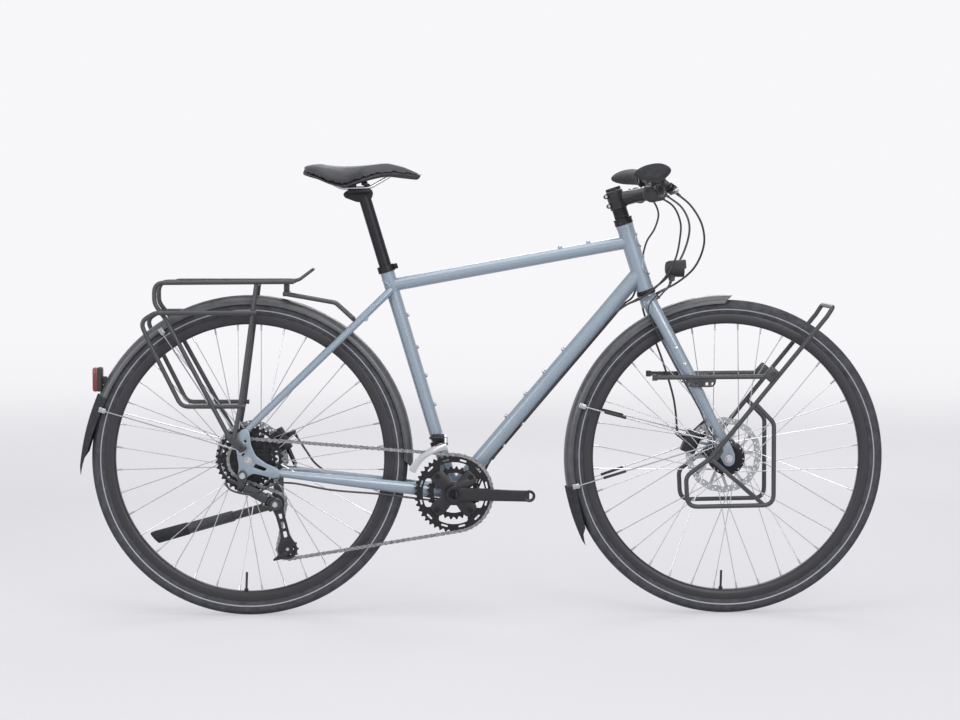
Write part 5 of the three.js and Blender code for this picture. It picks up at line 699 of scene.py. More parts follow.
# Rim extrusion: dyed a soft black that is a little paler than the machined parts
rim_black = coated("rim_anodising", "3c3c3f", Metallic=0.5, Roughness=0.4)
pattern(rim_black, "TexNoise", {"Scale": 700, "Detail": 3}, rough=(0.32, 0.5), dent=(0.06, 0.0002))

# Half of the tyre's section, from the bead to the middle of the tread, as (radius, half width)
side_wall = [(318.3, 11.8), (320.5, 13.6), (324, 15.9), (328, 17.6), (332, 18.6), (335.5, 18.7),
             (338.6, 18.1)]
shoulder_line = [(340.2, 17.7), (340.9, 16.5), (342.6, 15.2), (344, 13.9), (343.5, 13.3), (345, 11.6),
                 (346.6, 9.3), (346, 8.8), (347.5, 6), (348.3, 3.4), (347.3, 3.1), (347.4, 2.2),
                 (348.7, 1.7), (349, 0)]
half = side_wall + shoulder_line
section = half + [(radius, -wide) for radius, wide in reversed(half[:-1])]
for wheel, centre in (("rear", rear_axle), ("front", front_axle)):
    tyre = bmesh.new()
    lathe(tyre, [(r / 1000, y / 1000) for r, y in section + [(317.9, -11.2), (317.9, 11.2), section[0]]],
          centre, steps=144)
    # The side blocks of the tread are cut apart: every third step of the shoulder sinks
    for vert in tyre.verts:
        offset = vert.co - centre
        radius, step = hypot(offset.x, offset.z) * 1000, round(degrees(atan2(offset.z, offset.x)) / 2.5)
        if 340.5 < radius < 344.5 and step % 3 == 0:
            vert.co -= Vector((offset.x, 0, offset.z)).normalized() * 0.0012
    made = piece(f"{wheel}_tyre_casing", tyre, f"{wheel}_wheel", tyre_rubber, [f"{wheel}_tyre"], 55)
    line = bmesh.new()
    for side in (-1, 1):
        lathe(line, [(0.3269, side * 0.0172), (0.3272, side * 0.01745), (0.3291, side * 0.01815),
                     (0.3294, side * 0.0179), (0.3269, side * 0.0172)], centre, steps=144)
    piece(f"{wheel}_tyre_line", line, f"{wheel}_wheel", reflecting)
    rim = bmesh.new()
    walls = [(317.6, 10.4), (317.9, 11.9), (316.4, 12.3), (307, 12.2), (301, 11.4), (297.6, 9.4),
             (296.3, 6.5), (296, 0)]
    walls += [(radius, -wide) for radius, wide in reversed(walls[:-1])]
    well = [(313, -9.6), (310, -6), (309.4, 0), (310, 6), (313, 9.6)]
    lathe(rim, [(r / 1000, y / 1000) for r, y in walls + well + walls[:1]], centre, steps=144)
    piece(f"{wheel}_rim_hoop", rim, f"{wheel}_wheel", rim_black, [f"{wheel}_rim"], 50)
    valve = bmesh.new()
    lathe(valve, mm((0, 42), (2.2, 42), (2.6, 41), (2.6, 6), (4.5, 5), (4.5, 0), (0, 0)),
          centre + wheel_turn(-92) * 0.2965, -wheel_turn(-92), 16)
    piece(f"{wheel}_valve", valve, f"{wheel}_wheel", grip_rubber)

# Hubs, spokes and rotors
# Thirty-six drawn steel spokes cross three times between flange and rim, each in a short brass nipple.
# The front hub holds a dynamo, so its shell is broad. Both carry a steel rotor on the left.


def wavy(centre, count, radius_at):
    """An outline in the side view round a centre, whose radius changes with the angle."""
    turns = [2 * pi * i / count for i in range(count)]
    return [(centre.x + radius_at(turn) * cos(turn), centre.z + radius_at(turn) * sin(turn))
            for turn in turns]


hub_shapes = {
    "front": dict(right=-24, left=24, flange=38, rotor=39.5, rotor_radius=85, shell=[
        (5.2, -45.3), (9.6, -45.3), (10.6, -44), (13, -41.5), (25.6, -37.4), (27.4, -35.5),
        (28, -29), (31, -27.5), (37.2, -27), (39.4, -26), (39.4, -22), (37.2, -21), (31.4, -20),
        (30.8, -17), (30.8, 17), (31.4, 20), (37.2, 21), (39.4, 22), (39.4, 26), (37.2, 27),
        (27, 28), (23, 33), (22.4, 37.6), (22.4, 41.4), (17, 42.6), (12, 46), (9.6, 49.6),
        (5.2, 49.6), (5.2, -45.3)]),
    "rear": dict(right=-19, left=33, flange=27, rotor=52, rotor_radius=80, shell=[
        (5.2, -24.3), (17.6, -24.3), (18.2, -22.6), (26, -22), (28.2, -21), (28.2, -17), (26, -16),
        (17.6, -14.6), (15.2, -11), (14.6, 4), (15.2, 24), (17.6, 29), (26, 30.4), (28.2, 31),
        (28.2, 35), (26, 36), (19, 38), (18.6, 46), (22.2, 49.4), (22.2, 53.6), (16, 55), (11, 60),
        (9, 67.1), (5.2, 67.1), (5.2, -24.3)]),
}
# Ground stainless steel: pads have polished it, so that its gloss changes over about a millimetre
rotor_steel = coated("rotor_steel", "b4b6ba", Metallic=1, Roughness=0.34)
pattern(rotor_steel, "TexNoise", {"Scale": 900, "Detail": 4}, rough=(0.24, 0.44))
# Nickel-plated brass: bright and colourless, with small soft highlights
brass = coated("plated_brass", "b9babd", Metallic=1, Roughness=0.25)
pattern(brass, "TexNoise", {"Scale": 900}, rough=(0.2, 0.4))

for wheel, centre in (("rear", rear_axle), ("front", front_axle)):
    shape = hub_shapes[wheel]
    hub = bmesh.new()
    lathe(hub, [(r / 1000, y / 1000) for r, y in shape["shell"]], centre, steps=56)
    piece(f"{wheel}_hub_shell", hub, f"{wheel}_wheel", anodised, [f"{wheel}_hub"], 32)

    spokes, nipples = bmesh.new(), bmesh.new()
    for side in (-1, 1):
        flange = shape["left"] if side > 0 else shape["right"]
        for i in range(18):
            lean = -1 if i % 2 else 1
            rim_angle = 90 + 20 * (i + (0.25 if side < 0 else 0.75))
            hub_angle = rim_angle + lean * 60
            head = centre + wheel_turn(hub_angle) * (shape["flange"] - 2.6) / 1000
            start = head + at(0, flange + lean * 3.1, 0)
            through = head + at(0, flange - lean * 2.6, 0)
            goal = centre + wheel_turn(rim_angle) * 0.2955 + at(0, side * 2.4, 0)
            ahead = (goal - start).normalized()
            sweep_along(spokes, [through, through.lerp(start, 0.8), start + ahead * 0.0022,
                                 start + ahead * 0.012, start.lerp(goal, 0.5), goal - ahead * 0.012],
                        mm(1.2, 1.1, 1.1, 1, 0.95, 1), 8)
            sweep_along(nipples, [goal - ahead * 0.013, goal - ahead * 0.0125, goal - ahead * 0.004,
                                  goal + ahead * 0.0008], mm(1.4, 1.85, 2, 2.4), 8)
            sweep_along(nipples, [through - at(0, lean * 0.9, 0), through - at(0, lean * 0.2, 0)],
                        mm(1.6, 2.2), 10)
    piece(f"{wheel}_spokes", spokes, f"{wheel}_wheel", stainless)
    piece(f"{wheel}_nipples", nipples, f"{wheel}_wheel", brass)

    # Rotor: a waved band drilled with rows of holes, on swept arms, riveted to a black carrier
    size = shape["rotor_radius"] / 1000
    low = shape["rotor"] / 1000 - 0.0009
    count = 16
    rim_line = wavy(centre, 160, lambda turn: size - 0.001 + 0.0009 * cos(count * turn))
    holes = [wavy(centre, 160, lambda turn: size - 0.0145 + 0.001 * cos(count * turn))]
    for i in range(count * 2):
        turn = 2 * pi * (i + 0.5) / (count * 2)
        for radius, hole, lead in ((size - 0.0045, 0.0019, 0), (size - 0.0098, 0.0021, 0.06)):
            holes.append(ring_of(centre.x + radius * cos(turn + lead),
                                 centre.z + radius * sin(turn + lead), hole, 10))
    rotor = bmesh.new()
    outline_plate(rotor, rim_line, low, low + 0.0018, holes, 0)
    for i in range(6):
        turn = 2 * pi * i / 6
        for lead in (0.1, 0.62):
            start = centre + heading(turn) * 0.023
            end = centre + heading(turn + lead) * (size - 0.0135)
            ahead = (end - start).normalized()
            across = square_to(ahead) * 0.0028
            corners = [start - across, end - across * 1.3, end + across * 1.3, start + across]
            outline_plate(rotor, [(c.x, c.z) for c in corners], low, low + 0.0018, (), 0)
    piece(f"{wheel}_rotor", rotor, f"{wheel}_wheel", rotor_steel)
    carrier = bmesh.new()
    star = wavy(centre, 60, lambda turn: 0.0235 + 0.004 * max(cos(6 * turn), 0) ** 2)
    outline_plate(carrier, star, low - 0.0012, low + 0.003, [ring_of(centre.x, centre.z, 0.0155, 30)])
    for i in range(24):
        turn = 2 * pi * i / 24
        tooth = ring_of(centre.x + 0.0168 * cos(turn), centre.z + 0.0168 * sin(turn), 0.0011, 6)
        outline_plate(carrier, tooth, low + 0.0025, low + 0.0042, (), 0)
    piece(f"{wheel}_rotor_carrier", carrier, f"{wheel}_wheel", anodised)

# Axles with their nuts; the dynamo's plug stays still beside the fork end
for wheel, centre, half_space, plate, body in (("rear", rear_axle, 67.5, 6, "frame"),
                                               ("front", front_axle, 50, 7, "steering")):
    axle = bmesh.new()
    outer = (half_space + plate + 0.3) / 1000
    lathe(axle, [(0, -outer - 0.0068), (0.0042, -outer - 0.0068), (0.0047, -outer - 0.006),
                 (0.0047, outer + 0.006), (0.0042, outer + 0.0068), (0, outer + 0.0068)], centre, steps=24)
    for side in (-1, 1):
        lathe(axle, [(0.0047, outer), (0.0088, outer), (0.0088, outer + 0.0012), (0.0072, outer + 0.0014),
                     (0.0072, outer + 0.0052), (0.006, outer + 0.0064), (0.0047, outer + 0.0064),
                     (0.0047, outer)], centre, (0, side, 0), 6)
        lathe(axle, [(0.0047, outer), (0.0087, outer), (0.0087, outer + 0.0013), (0.0047, outer + 0.0013),
                     (0.0047, outer)], centre, (0, side, 0), 32)
    piece(f"{wheel}_axle_nuts", axle, body, stainless, [f"{wheel}_axle"], 30)
plug = bmesh.new()
shape = eased([(0.5375, 0.34), (0.5545, 0.343), (0.5545, 0.356), (0.5425, 0.3725),
               (0.529, 0.3725), (0.529, 0.365), (0.5365, 0.352)], 0.005)
outline_plate(plug, shape, -0.0496, -0.0458, [ring_of(front_axle.x, front_axle.z, 0.0049, 20)])
# Moulded nylon: satin black with a fine spark-eroded grain
plastic_black = coated("moulded_nylon", "2a2a2d", Roughness=0.55)
pattern(plastic_black, "TexNoise", {"Scale": 1300, "Detail": 2}, rough=(0.48, 0.64), dent=(0.15, 0.0002))
piece("dynamo_plug", plug, "steering", plastic_black)

# Cranks and chainrings
# Forged aluminium arms, the right one with a four-armed spider for two rings.
# The rings are machined plate with cut teeth, ramps and steel bolts, all dyed black.

crank_turn = radians(-1.2)
crank_ahead = heading(crank_turn)
crank_high = square_to(crank_ahead)
link_pitch, link_count = 0.0127, 116
ring_plane, small_plane = -0.046, -0.0395


def pitch_radius(teeth):
    """The radius on which the chain's pins lie round a wheel."""
    return link_pitch / (2 * sin(pi / teeth))


def toothed(centre, teeth, turn, tip=0.0026, root=0.0036):
    """The (x, z) outline of a sprocket whose rollers of 7.8 mm lie in round gaps."""
    radius, step = pitch_radius(teeth), 2 * pi / teeth
    outline = []
    for i in range(teeth):
        middle = turn + i * step
        for lead, reach in ((-0.3, 0.0002), (-0.19, -root * 0.62), (0, -root), (0.19, -root * 0.62),
                            (0.3, 0.0002), (0.42, tip * 0.86), (0.5, tip), (0.58, tip * 0.86)):
            angle = middle + lead * step
            outline.append((centre.x + (radius + reach) * cos(angle),
                            centre.z + (radius + reach) * sin(angle)))
    return outline


# Hard anodised plate: nearly black; the bare metal worn on the teeth is not drawn
ring_black = coated("ring_anodising", "222225", Metallic=0.5, Roughness=0.38)
pattern(ring_black, "TexNoise", {"Scale": 900, "Detail": 4}, rough=(0.3, 0.48), dent=(0.08, 0.0002))

# The chain's route in four parts, each an arc on a wheel and a straight run to the next one
big = pitch_radius(42)
knee = bracket + wheel_turn(182.9) * 0.392
tension = at(-427.61, 0, 151.18)
wheels = [(bracket, 42, 1), (rear_axle, 23, 1), (knee, 11, -1), (tension, 11, 1)]
legs = []
for i, (centre, teeth, turn) in enumerate(wheels):
    next_centre, next_teeth, next_turn = wheels[(i + 1) % 4]
    offset = next_centre - centre
    swing = next_turn * pitch_radius(next_teeth) - turn * pitch_radius(teeth)
    angle = atan2(offset.z, offset.x) - asin(swing / hypot(offset.x, offset.z))
    legs.append((angle - turn * pi / 2, angle - next_turn * pi / 2))
chain_route = []
for i, (centre, teeth, turn) in enumerate(wheels):
    reach_at, leave_at = legs[i - 1][1], legs[i][0]
    swept_angle = ((leave_at - reach_at) * turn) % (2 * pi)
    next_centre, next_teeth, next_turn = wheels[(i + 1) % 4]
    start = centre + heading(leave_at) * pitch_radius(teeth)
    end = next_centre + heading(legs[i][1]) * pitch_radius(next_teeth)
    arc, run = swept_angle * teeth / (2 * pi), (end - start).length / link_pitch
    chain_route.append((centre, teeth, turn, reach_at, arc, start, end, run))
route_links = sum(leg[4] + leg[7] for leg in chain_route)
link_scale = route_links / link_count


def pin_place(distance):
    """A chain pin's place, by its distance from the ring's first tooth in links."""
    rest = distance % route_links
    for centre, teeth, turn, reach_at, arc, start, end, run in chain_route:
        if rest <= arc:
            angle = reach_at + turn * rest * 2 * pi / teeth
            return centre + heading(angle) * pitch_radius(teeth)
        rest -= arc
        if rest <= run:
            return start.lerp(end, rest / run)
        rest -= run
    return pin_place(0)


def gap_turn(index):
    """The angle of a wheel's first gap, so that the chain's pins lie in its gaps."""
    before = sum(leg[4] + leg[7] for leg in chain_route[:index])
    first = -(-before // link_scale) * link_scale - before
    centre, teeth, turn, reach_at = chain_route[index][:4]
    return reach_at + turn * first * 2 * pi / teeth


spider_turns = [crank_turn + radians(45 + 90 * i) for i in range(4)]


def from_spider(angle, low, high):
    """Rises from 0 to 1 with the angle from the nearest arm of the spider."""
    return smooth_step(min(abs((angle - t + pi) % (2 * pi) - pi) for t in spider_turns), low, high)


for name, teeth, turn, plane, band, bolt, node in (
    ("chainring_large", 42, gap_turn(0), ring_plane, 0.0165, 0.052, "chainring_outer"),
    ("chainring_small", 28, 0.0, small_plane, 0.0125, 0.037, "chainring_inner"),
):
    ring = bmesh.new()
    radius, lobe, wide = pitch_radius(teeth) - band, bolt - 0.0068, 0.26 if teeth == 42 else 0.28
    inner = wavy(bracket, 144, lambda angle: lobe
                 + (radius - lobe) * from_spider(angle, wide * 0.45, wide * 1.25))
    holes = [inner] + [ring_of(bracket.x + bolt * cos(t), bracket.z + bolt * sin(t), 0.0043, 16)
                       for t in spider_turns]
    if teeth == 42:
        for i in range(12):
            angle = crank_turn + 2 * pi * i / 12 + radians(15)
            slot_at = pitch_radius(teeth) - 0.0102
            corners = (-0.1, -0.0022), (0.1, -0.0022), (0.1, 0.0018), (-0.1, 0.0018)
            hole = [(bracket.x + (slot_at + rise) * cos(angle + lead),
                     bracket.z + (slot_at + rise) * sin(angle + lead)) for lead, rise in corners]
            holes.append(eased(hole, 0.0018, 3))
    outline_plate(ring, toothed(bracket, teeth, turn), plane - 0.0011, plane + 0.0011, holes, 0)
    # The outer face steps down before the teeth, which are thinner than the band
    for vert in ring.verts:
        if hypot(vert.co.x - bracket.x, vert.co.z - bracket.z) > pitch_radius(teeth) - 0.0045:
            vert.co.y = plane + (vert.co.y - plane) * 0.8
    piece(name, ring, "crank", ring_black, [node], 30)


def crank_arm(bm, side, ahead):
    """A forged arm: deep at the root, hollowed along its outer face, with a round eye for the pedal."""
    ways, ovals = [], []
    for share in (0.02, 0.1, 0.25, 0.45, 0.65, 0.82, 0.93, 1.0):
        rise = smooth_step(share, 0.05, 0.95)
        ways.append(bracket + ahead * 0.165 * share + at(0, side * (62 + 16 * rise), 0))
        ovals.append(((0.0150 - 0.003 * share) / 2, (0.030 - 0.0048 * smooth_step(share, 0, 0.8)) / 2))
    high, rings = square_to(ahead), []
    for way, (thick, wide) in zip(ways, ovals):
        ring = []
        for i in range(28):
            angle = 2 * pi * i / 28
            x, z = cos(angle), sin(angle)
            flatten = 0.55
            across = wide * (1 if z > 0 else -1) * abs(z) ** flatten
            out = thick * (1 if x > 0 else -1) * abs(x) ** flatten
            if x > 0.5:
                out -= thick * 0.22 * (1 - abs(z)) ** 0.7
            ring.append(way + high * across + Vector((0, side * out, 0)))
        rings.append(looped(bm, ring))
    skinned(bm, rings)
    eye = bracket + ahead * 0.165
    lathe(bm, mm((7.2, 72.2), (12.2, 72.2), (13.2, 73.2), (13.2, 83), (12.2, 84), (8.8, 84), (7.2, 82.6),
                 (7.2, 72.2)), eye, (0, side, 0), 40)
    lathe(bm, mm((12.4, 44.3), (17.2, 44.3), (18, 45.3), (18, 68.6), (17.2, 69.5), (12.8, 69.5),
                 (12.4, 68.5), (12.4, 44.3)), bracket, (0, side, 0), 48)


arm = bmesh.new()
crank_arm(arm, -1, crank_ahead)
# The spider: four tapering arms joined by a dished plate
star = wavy(bracket, 120, lambda angle: 0.0605 + (0.0265 - 0.0605) * from_spider(angle, 0.2, 0.58))
outline_plate(arm, star, -0.0525, -0.0473, [ring_of(bracket.x, bracket.z, 0.0125, 30)], 0.001)
piece("crank_arm_right", arm, "crank", forged, ["crank_right"], 42)

ring_bolts = bmesh.new()
for t in spider_turns:
    spot = bracket + heading(t) * 0.052
    lathe(ring_bolts, mm((0, 52.5), (5.6, 52.5), (6, 53.1), (5.6, 54.2), (3.4, 54.5), (3, 53.5),
                         (0, 53.5)), spot, (0, -1, 0), 20)
    lathe(ring_bolts, mm((0, -45.2), (5.2, -45.2), (5.2, -44.4), (0, -44.4)), spot, (0, 1, 0), 16)
    inner = bracket + heading(t) * 0.037
    lathe(ring_bolts, mm((0, 47.5), (3.2, 47.5), (3.2, 39.2), (4.2, 39.2), (4.2, 37.4), (0, 37.4)),
          inner, (0, -1, 0), 16)
piece("ring_bolts", ring_bolts, "crank", ring_black)
rivets = bmesh.new()
for t in spider_turns:
    spot = bracket + heading(t) * 0.0755 + at(0, ring_plane * 1000 - 1, 0)
    lathe(rivets, mm((0, 0), (2.1, 0), (2.1, 0.6), (1.6, 1), (0, 1)), spot, (0, -1, 0), 12)
piece("ring_rivets", rivets, "crank", stainless)
cap = bmesh.new()
lathe(cap, mm((12.4, 67), (12.4, 70.6), (11.2, 71.4), (10.2, 71), (9.6, 69.6), (9.4, 58), (0, 58)),
      bracket, (0, -1, 0), 32)
piece("crank_cap_right", cap, "crank", anodised)

arm = bmesh.new()
crank_arm(arm, 1, -crank_ahead)
piece("crank_arm_left", arm, "crank", forged, ["crank_left"], 42)
spindle = bmesh.new()
lathe(spindle, mm((9.8, -69), (11.8, -69), (12, -68.5), (12, 68.5), (11.8, 69), (9.8, 69), (9.8, -69)),
      bracket, steps=32)
for x in (-0.0135, 0.0135):
    seat = bracket - crank_ahead * 0.021 + Vector((0, 0.0585 + x / 3, 0)) + crank_high * -0.012
    socket_screw(spindle, seat, -crank_high, 0.0032, 0.004)
piece("crank_spindle", spindle, "crank", stainless)

cups = bmesh.new()
for side in (-1, 1):
    notches = mm((12.4, 34.3), (21.2, 34.3), (21.6, 35.2), (21.6, 40.5), (20.4, 42.5), (16.5, 44),
                 (12.4, 44), (12.4, 34.3))
    lathe(cups, notches, bracket, (0, side, 0), 48)
    for i in range(16):
        spot = bracket + heading(2 * pi * i / 16) * 0.0212
        sweep_along(cups, [spot + at(0, side * 34.6, 0), spot + at(0, side * 40.5, 0)], 0.0014, 8)
piece("bracket_cups", cups, "frame", anodised, ["bottom_bracket"], 32)

# Chain
# A nine-speed chain: pairs of outer and inner plates pinned over rollers, 12.7 mm from pin to pin.
# It runs over the large ring, the fourth sprocket and both jockey wheels, a little askew between them.

# Oiled steel: dull grey where oil and dust have dried, brighter where the plates rub
chain_steel = coated("oiled_chain_steel", "8e8f92", Metallic=1, Roughness=0.36)
pattern(chain_steel, "TexNoise", {"Scale": 260, "Detail": 4}, tint=("6c6c6e", "a9aaad"), rough=(0.26, 0.5))

# The largest sprocket's plane and the step from one to the next, in mm; the chain runs on the fourth
first_plane, plane_step = -28.6, 4.35
driven_plane = first_plane - plane_step * 3


def chain_plane(x):
    """The chain's own plane, from the ring's to the driven sprocket's."""
    from_x, span = bracket.x - big, abs(knee.x - bracket.x + big) - 0.042
    share = min(max((from_x - x) / span, 0), 1)
    return ring_plane + share * (driven_plane / 1000 - ring_plane)


pins = [pin_place(i * link_scale) for i in range(link_count)]
for pin in pins:
    pin.y = chain_plane(pin.x)
plates, rollers = bmesh.new(), bmesh.new()
for i, pin in enumerate(pins):
    there = pins[(i + 1) % link_count]
    ahead = there - pin
    length = ahead.length
    ahead.normalize()
    high = ahead.cross(Vector((0, 1, 0))).normalized()
    side = high.cross(ahead)
    outer = i % 2 == 0
    for hand in (-1, 1):
        low = 0.00255 if outer else 0.0016
        waist, end_radius = (0.0029, 0.0042) if outer else (0.0031, 0.0041)
        outline = [(end_radius * x, end_radius * z)
                   for x, z in ((-1, 0), (-0.75, 0.72), (0, 1), (0.75, 0.78))]
        outline.append((length / 2, waist))
        outline += [(length - x, z) for x, z in reversed(outline[:4])]
        outline += [(x, -z) for x, z in reversed(outline[1:-1])]
        spots = [pin + ahead * x + high * z + side * hand * low for x, z in outline]
        face = plates.faces.new([bmesh.ops.create_vert(plates, co=spot)["vert"][0] for spot in spots])
        thickened(plates, [face], side * hand * 0.0009)
    sweep_along(rollers, [pin - side * 0.0016, pin + side * 0.0016], 0.00385, 12)
    sweep_along(rollers, [pin - side * 0.0036, pin + side * 0.0036], 0.0018, 8)
piece("chain_plates", plates, "frame", chain_steel, ["chain"], 30)
piece("chain_rollers", rollers, "frame", chain_steel)

# Cassette
# Nine stamped and plated steel sprockets of 11 to 36 teeth, spaced on a splined body behind a lock ring.
# The larger ones are cut away between their arms to save weight.

# Black-plated steel: near black, with a dull metal shine and paler worn patches
black_plated = coated("black_plated_steel", "1e1e20", Metallic=0.6, Roughness=0.4)
pattern(black_plated, "TexNoise", {"Scale": 90, "Detail": 4}, tint=("1a1a1c", "3a3a3d"), rough=(0.3, 0.5))

cassette, inner_parts = bmesh.new(), bmesh.new()
sprocket_teeth = (36, 30, 26, 23, 20, 17, 15, 13, 11)
for i, teeth in enumerate(sprocket_teeth):
    plane = (first_plane - plane_step * i) / 1000
    turn = gap_turn(1) if i == 3 else 0.11 * i
    holes = [ring_of(rear_axle.x, rear_axle.z, 0.0171, 36)]
    if teeth > 22:
        outer, inner = pitch_radius(teeth) - 0.0085, 0.0215
        count = 7 if teeth > 28 else 6
        for k in range(count):
            angle = 2 * pi * k / count + 0.2 * i
            hole = [(rear_axle.x + r * cos(angle + lead), rear_axle.z + r * sin(angle + lead))
                    for r, lead in ((inner, -0.27), (outer, -0.3), (outer, 0), (outer, 0.3), (inner, 0.27))]
            holes.append(eased(hole, 0.003, 3))
    outline_plate(cassette, toothed(rear_axle, teeth, turn, 0.0024, 0.0034), plane - 0.0009,
                  plane + 0.0009, holes, 0)
    if i < 8:
        lathe(inner_parts, [(0.0175, -plane + 0.0009), (0.0205, -plane + 0.0009),
                            (0.0205, -plane + 0.0034), (0.0175, -plane + 0.0034),
                            (0.0175, -plane + 0.0009)], rear_axle, (0, -1, 0), 32)
piece("sprockets", cassette, "cassette", black_plated, ["cassette"], 30)
lathe(inner_parts, wall(5.2, 17, 24.7, 63.6), rear_axle, (0, -1, 0), 40)
piece("freehub_body", inner_parts, "cassette", anodised)
lock = bmesh.new()
lathe(lock, mm((5.2, 63.7), (16.5, 63.7), (16.5, 64.5), (14.5, 65.2), (11, 65.2), (11, 66.2), (5.2, 66.2),
               (5.2, 63.7)), rear_axle, (0, -1, 0), 36)
piece("cassette_lock_ring", lock, "cassette", stainless, (), 25)

# Front derailleur
# A band clamps it to the seat tube, and a sprung parallelogram swings a bent steel cage over the rings.
# The cage is chromed sheet, the clamp and arms are black forgings.


def slab(bm, centre, sizes, edge, ahead=(1, 0, 0), high=(0, 0, 1)):
    """A block with rounded edges. Its sizes ahead, sideways and high and its edge are in mm."""
    ahead, high = Vector(ahead).normalized(), Vector(high).normalized()
    side = high.cross(ahead)
    turn = Matrix((ahead, side, high)).transposed().to_4x4()
    scale = Matrix.Diagonal((*[size / 1000 for size in sizes], 1))
    verts = bmesh.ops.create_cube(bm, size=1, matrix=Matrix.Translation(centre) @ turn @ scale)["verts"]
    edges = list({e for v in verts for e in v.link_edges})
    bmesh.ops.bevel(bm, geom=edges, offset=edge / 1000, segments=3, profile=0.5, affect="EDGES",
                    material=-1)


def round_between(start, end, start_radius, end_radius, steps=10):
    """The outline of a link with round ends between two points of the side view, with the radii in mm."""
    lean = atan2(end.z - start.z, end.x - start.x)
    outline = []
    for centre, radius, first in ((start, start_radius, lean + pi / 2), (end, end_radius, lean - pi / 2)):
        for i in range(steps + 1):
            spot = centre + heading(first + pi * i / steps) * radius / 1000
            outline.append((spot.x, spot.z))
    return outline


mech_at = bracket + seat_up * 0.11
mech_ahead = -square_to(seat_up)
band = bmesh.new()
lathe(band, wall(15.2, 19.4, -7.5, 7.5, 0.8), mech_at, seat_up, 48)
slab(band, at(-94.8, -20.4, 394.4), (26, 12, 17), 2.4)
slab(band, at(-94.8, -16.5, 386.5), (20, 9, 12), 2)
slab(band, at(-108, -26, 396), (5, 9, 12), 1.6, (1, 0, 0.2))
sweep_along(band, [at(-114.8, -27, 394.4), at(-74.8, -27, 394.4)], 0.003, 16)
piece("mech_clamp", band, "frame", forged, ["front_derailleur_clamp"])
screws = bmesh.new()
socket_screw(screws, mech_at + mech_ahead * 0.012 + at(0, 20, 0), (0, 1, 0), 0.003, 0.003)
for x in (-101, -88):
    socket_screw(screws, at(x, -20, 403), (0, 0, 1), 0.0022, 0.0022)
piece("mech_screws", screws, "frame", stainless)


def arc_plate(bm, inner, outer, start, end, low, high, edge=0.0005):
    """A curved plate about the bottom bracket, with its ends rounded. Sizes in mm, angles in degrees."""
    steps = 18
    line = [(outer, start + (end - start) * i / steps) for i in range(steps + 1)]
    line += [(inner + 2.5 * sin(pi * i / steps), end + (start - end) * i / steps) for i in range(steps + 1)]
    shape = [(bracket.x + r / 1000 * cos(radians(a)), bracket.z + r / 1000 * sin(radians(a)))
             for r, a in line]
    outline_plate(bm, eased(shape, 0.004, 3), low / 1000, high / 1000, [], edge)


cage = bmesh.new()
arc_plate(cage, 97, 112, 99, 152.5, -52.4, -51.4)
arc_plate(cage, 95.5, 112.5, 98.5, 152.5, -40.6, -39.6)
arc_plate(cage, 111.2, 113.4, 99, 112, -52.4, -39.6, 0.0003)
tail = bracket + wheel_turn(150) * 0.104
sweep_along(cage, [tail + at(0, -52, 0), tail + at(0, -40, 0)], 0.0024, 14)
lathe(cage, wall(3.3, 5.8, 0, 4), at(-80.8, -27, 394.4), (1, 0, 0), 24)
sweep_along(cage, [at(-78.8, -31.5, 393), at(-78.8, -36, 390.5), at(-78.8, -39.6, 383.5)],
            [(0.0032, 0.0045)] * 3, 14)
piece("mech_cage", cage, "front_derailleur_cage", stainless, ["front_derailleur_cage"])

# Rear derailleur
# Long-cage derailleur: a knuckle on the hanger bolt, two links, a second knuckle and the sprung cage.
# Forged and moulded parts are dark grey, cage plates are black steel with windows, wheels are nylon.

# Dark grey alloy: cast, painted and baked, with a soft metal gloss
mech_grey = coated("dark_grey_alloy", "47494d", Metallic=0.6, Roughness=0.36)
pattern(mech_grey, "TexNoise", {"Scale": 700, "Detail": 3}, rough=(0.28, 0.44), dent=(0.1, 0.0002))

link_ahead = wheel_turn(-29.2)
link_high = square_to(link_ahead)
knee_at = at(-452.71, 0, 254.17)
lower_pivot = knee_at - link_ahead * 0.022
upper_pivot = lower_pivot - link_ahead * 0.052
hanger_at = at(-523.8, 0, 316.7)


def clevis(bm, pivot, sense, reach):
    """The forked end that both links turn in."""
    middle = Vector((pivot.x, -0.07525, pivot.z))
    slab(bm, middle + link_ahead * sense * (reach / 2 + 2) / 1000, (reach, 16.6, 19.6), 2, link_ahead,
         link_high)
    for hand in (-1, 1):
        ear = middle + link_ahead * sense * (reach / 2 - 3) / 1000 + link_high * hand * 0.0118
        slab(bm, ear, (reach + 5.6, 27, 3), 1.2, link_ahead, link_high)
    slab(bm, middle + link_ahead * sense * (reach - 1) / 1000, (6, 17.4, 25.6), 1.6, link_ahead, link_high)


knuckle = bmesh.new()
clevis(knuckle, upper_pivot, -1, 13)
link_shape = round_between(hanger_at, upper_pivot - link_ahead * 0.008, 11, 9)
outline_plate(knuckle, link_shape, -0.0828, -0.0738, [], 0.0016)
lathe(knuckle, mm((4.6, 66), (5, 68), (5, 82.5)), hanger_at, (0, -1, 0), 24)
barrel = upper_pivot + at(0, -78.8, 0)
lathe(knuckle, mm((0, 6), (3.6, 6), (3.6, 18), (3, 19), (3, 24), (4, 25), (4, 38), (3, 39.5), (2.6, 43.5),
                  (0, 43.5)), barrel, -link_ahead, 20)
piece("mech_knuckle", knuckle, "derailleur_knuckle", mech_grey, ["derailleur_knuckle"])

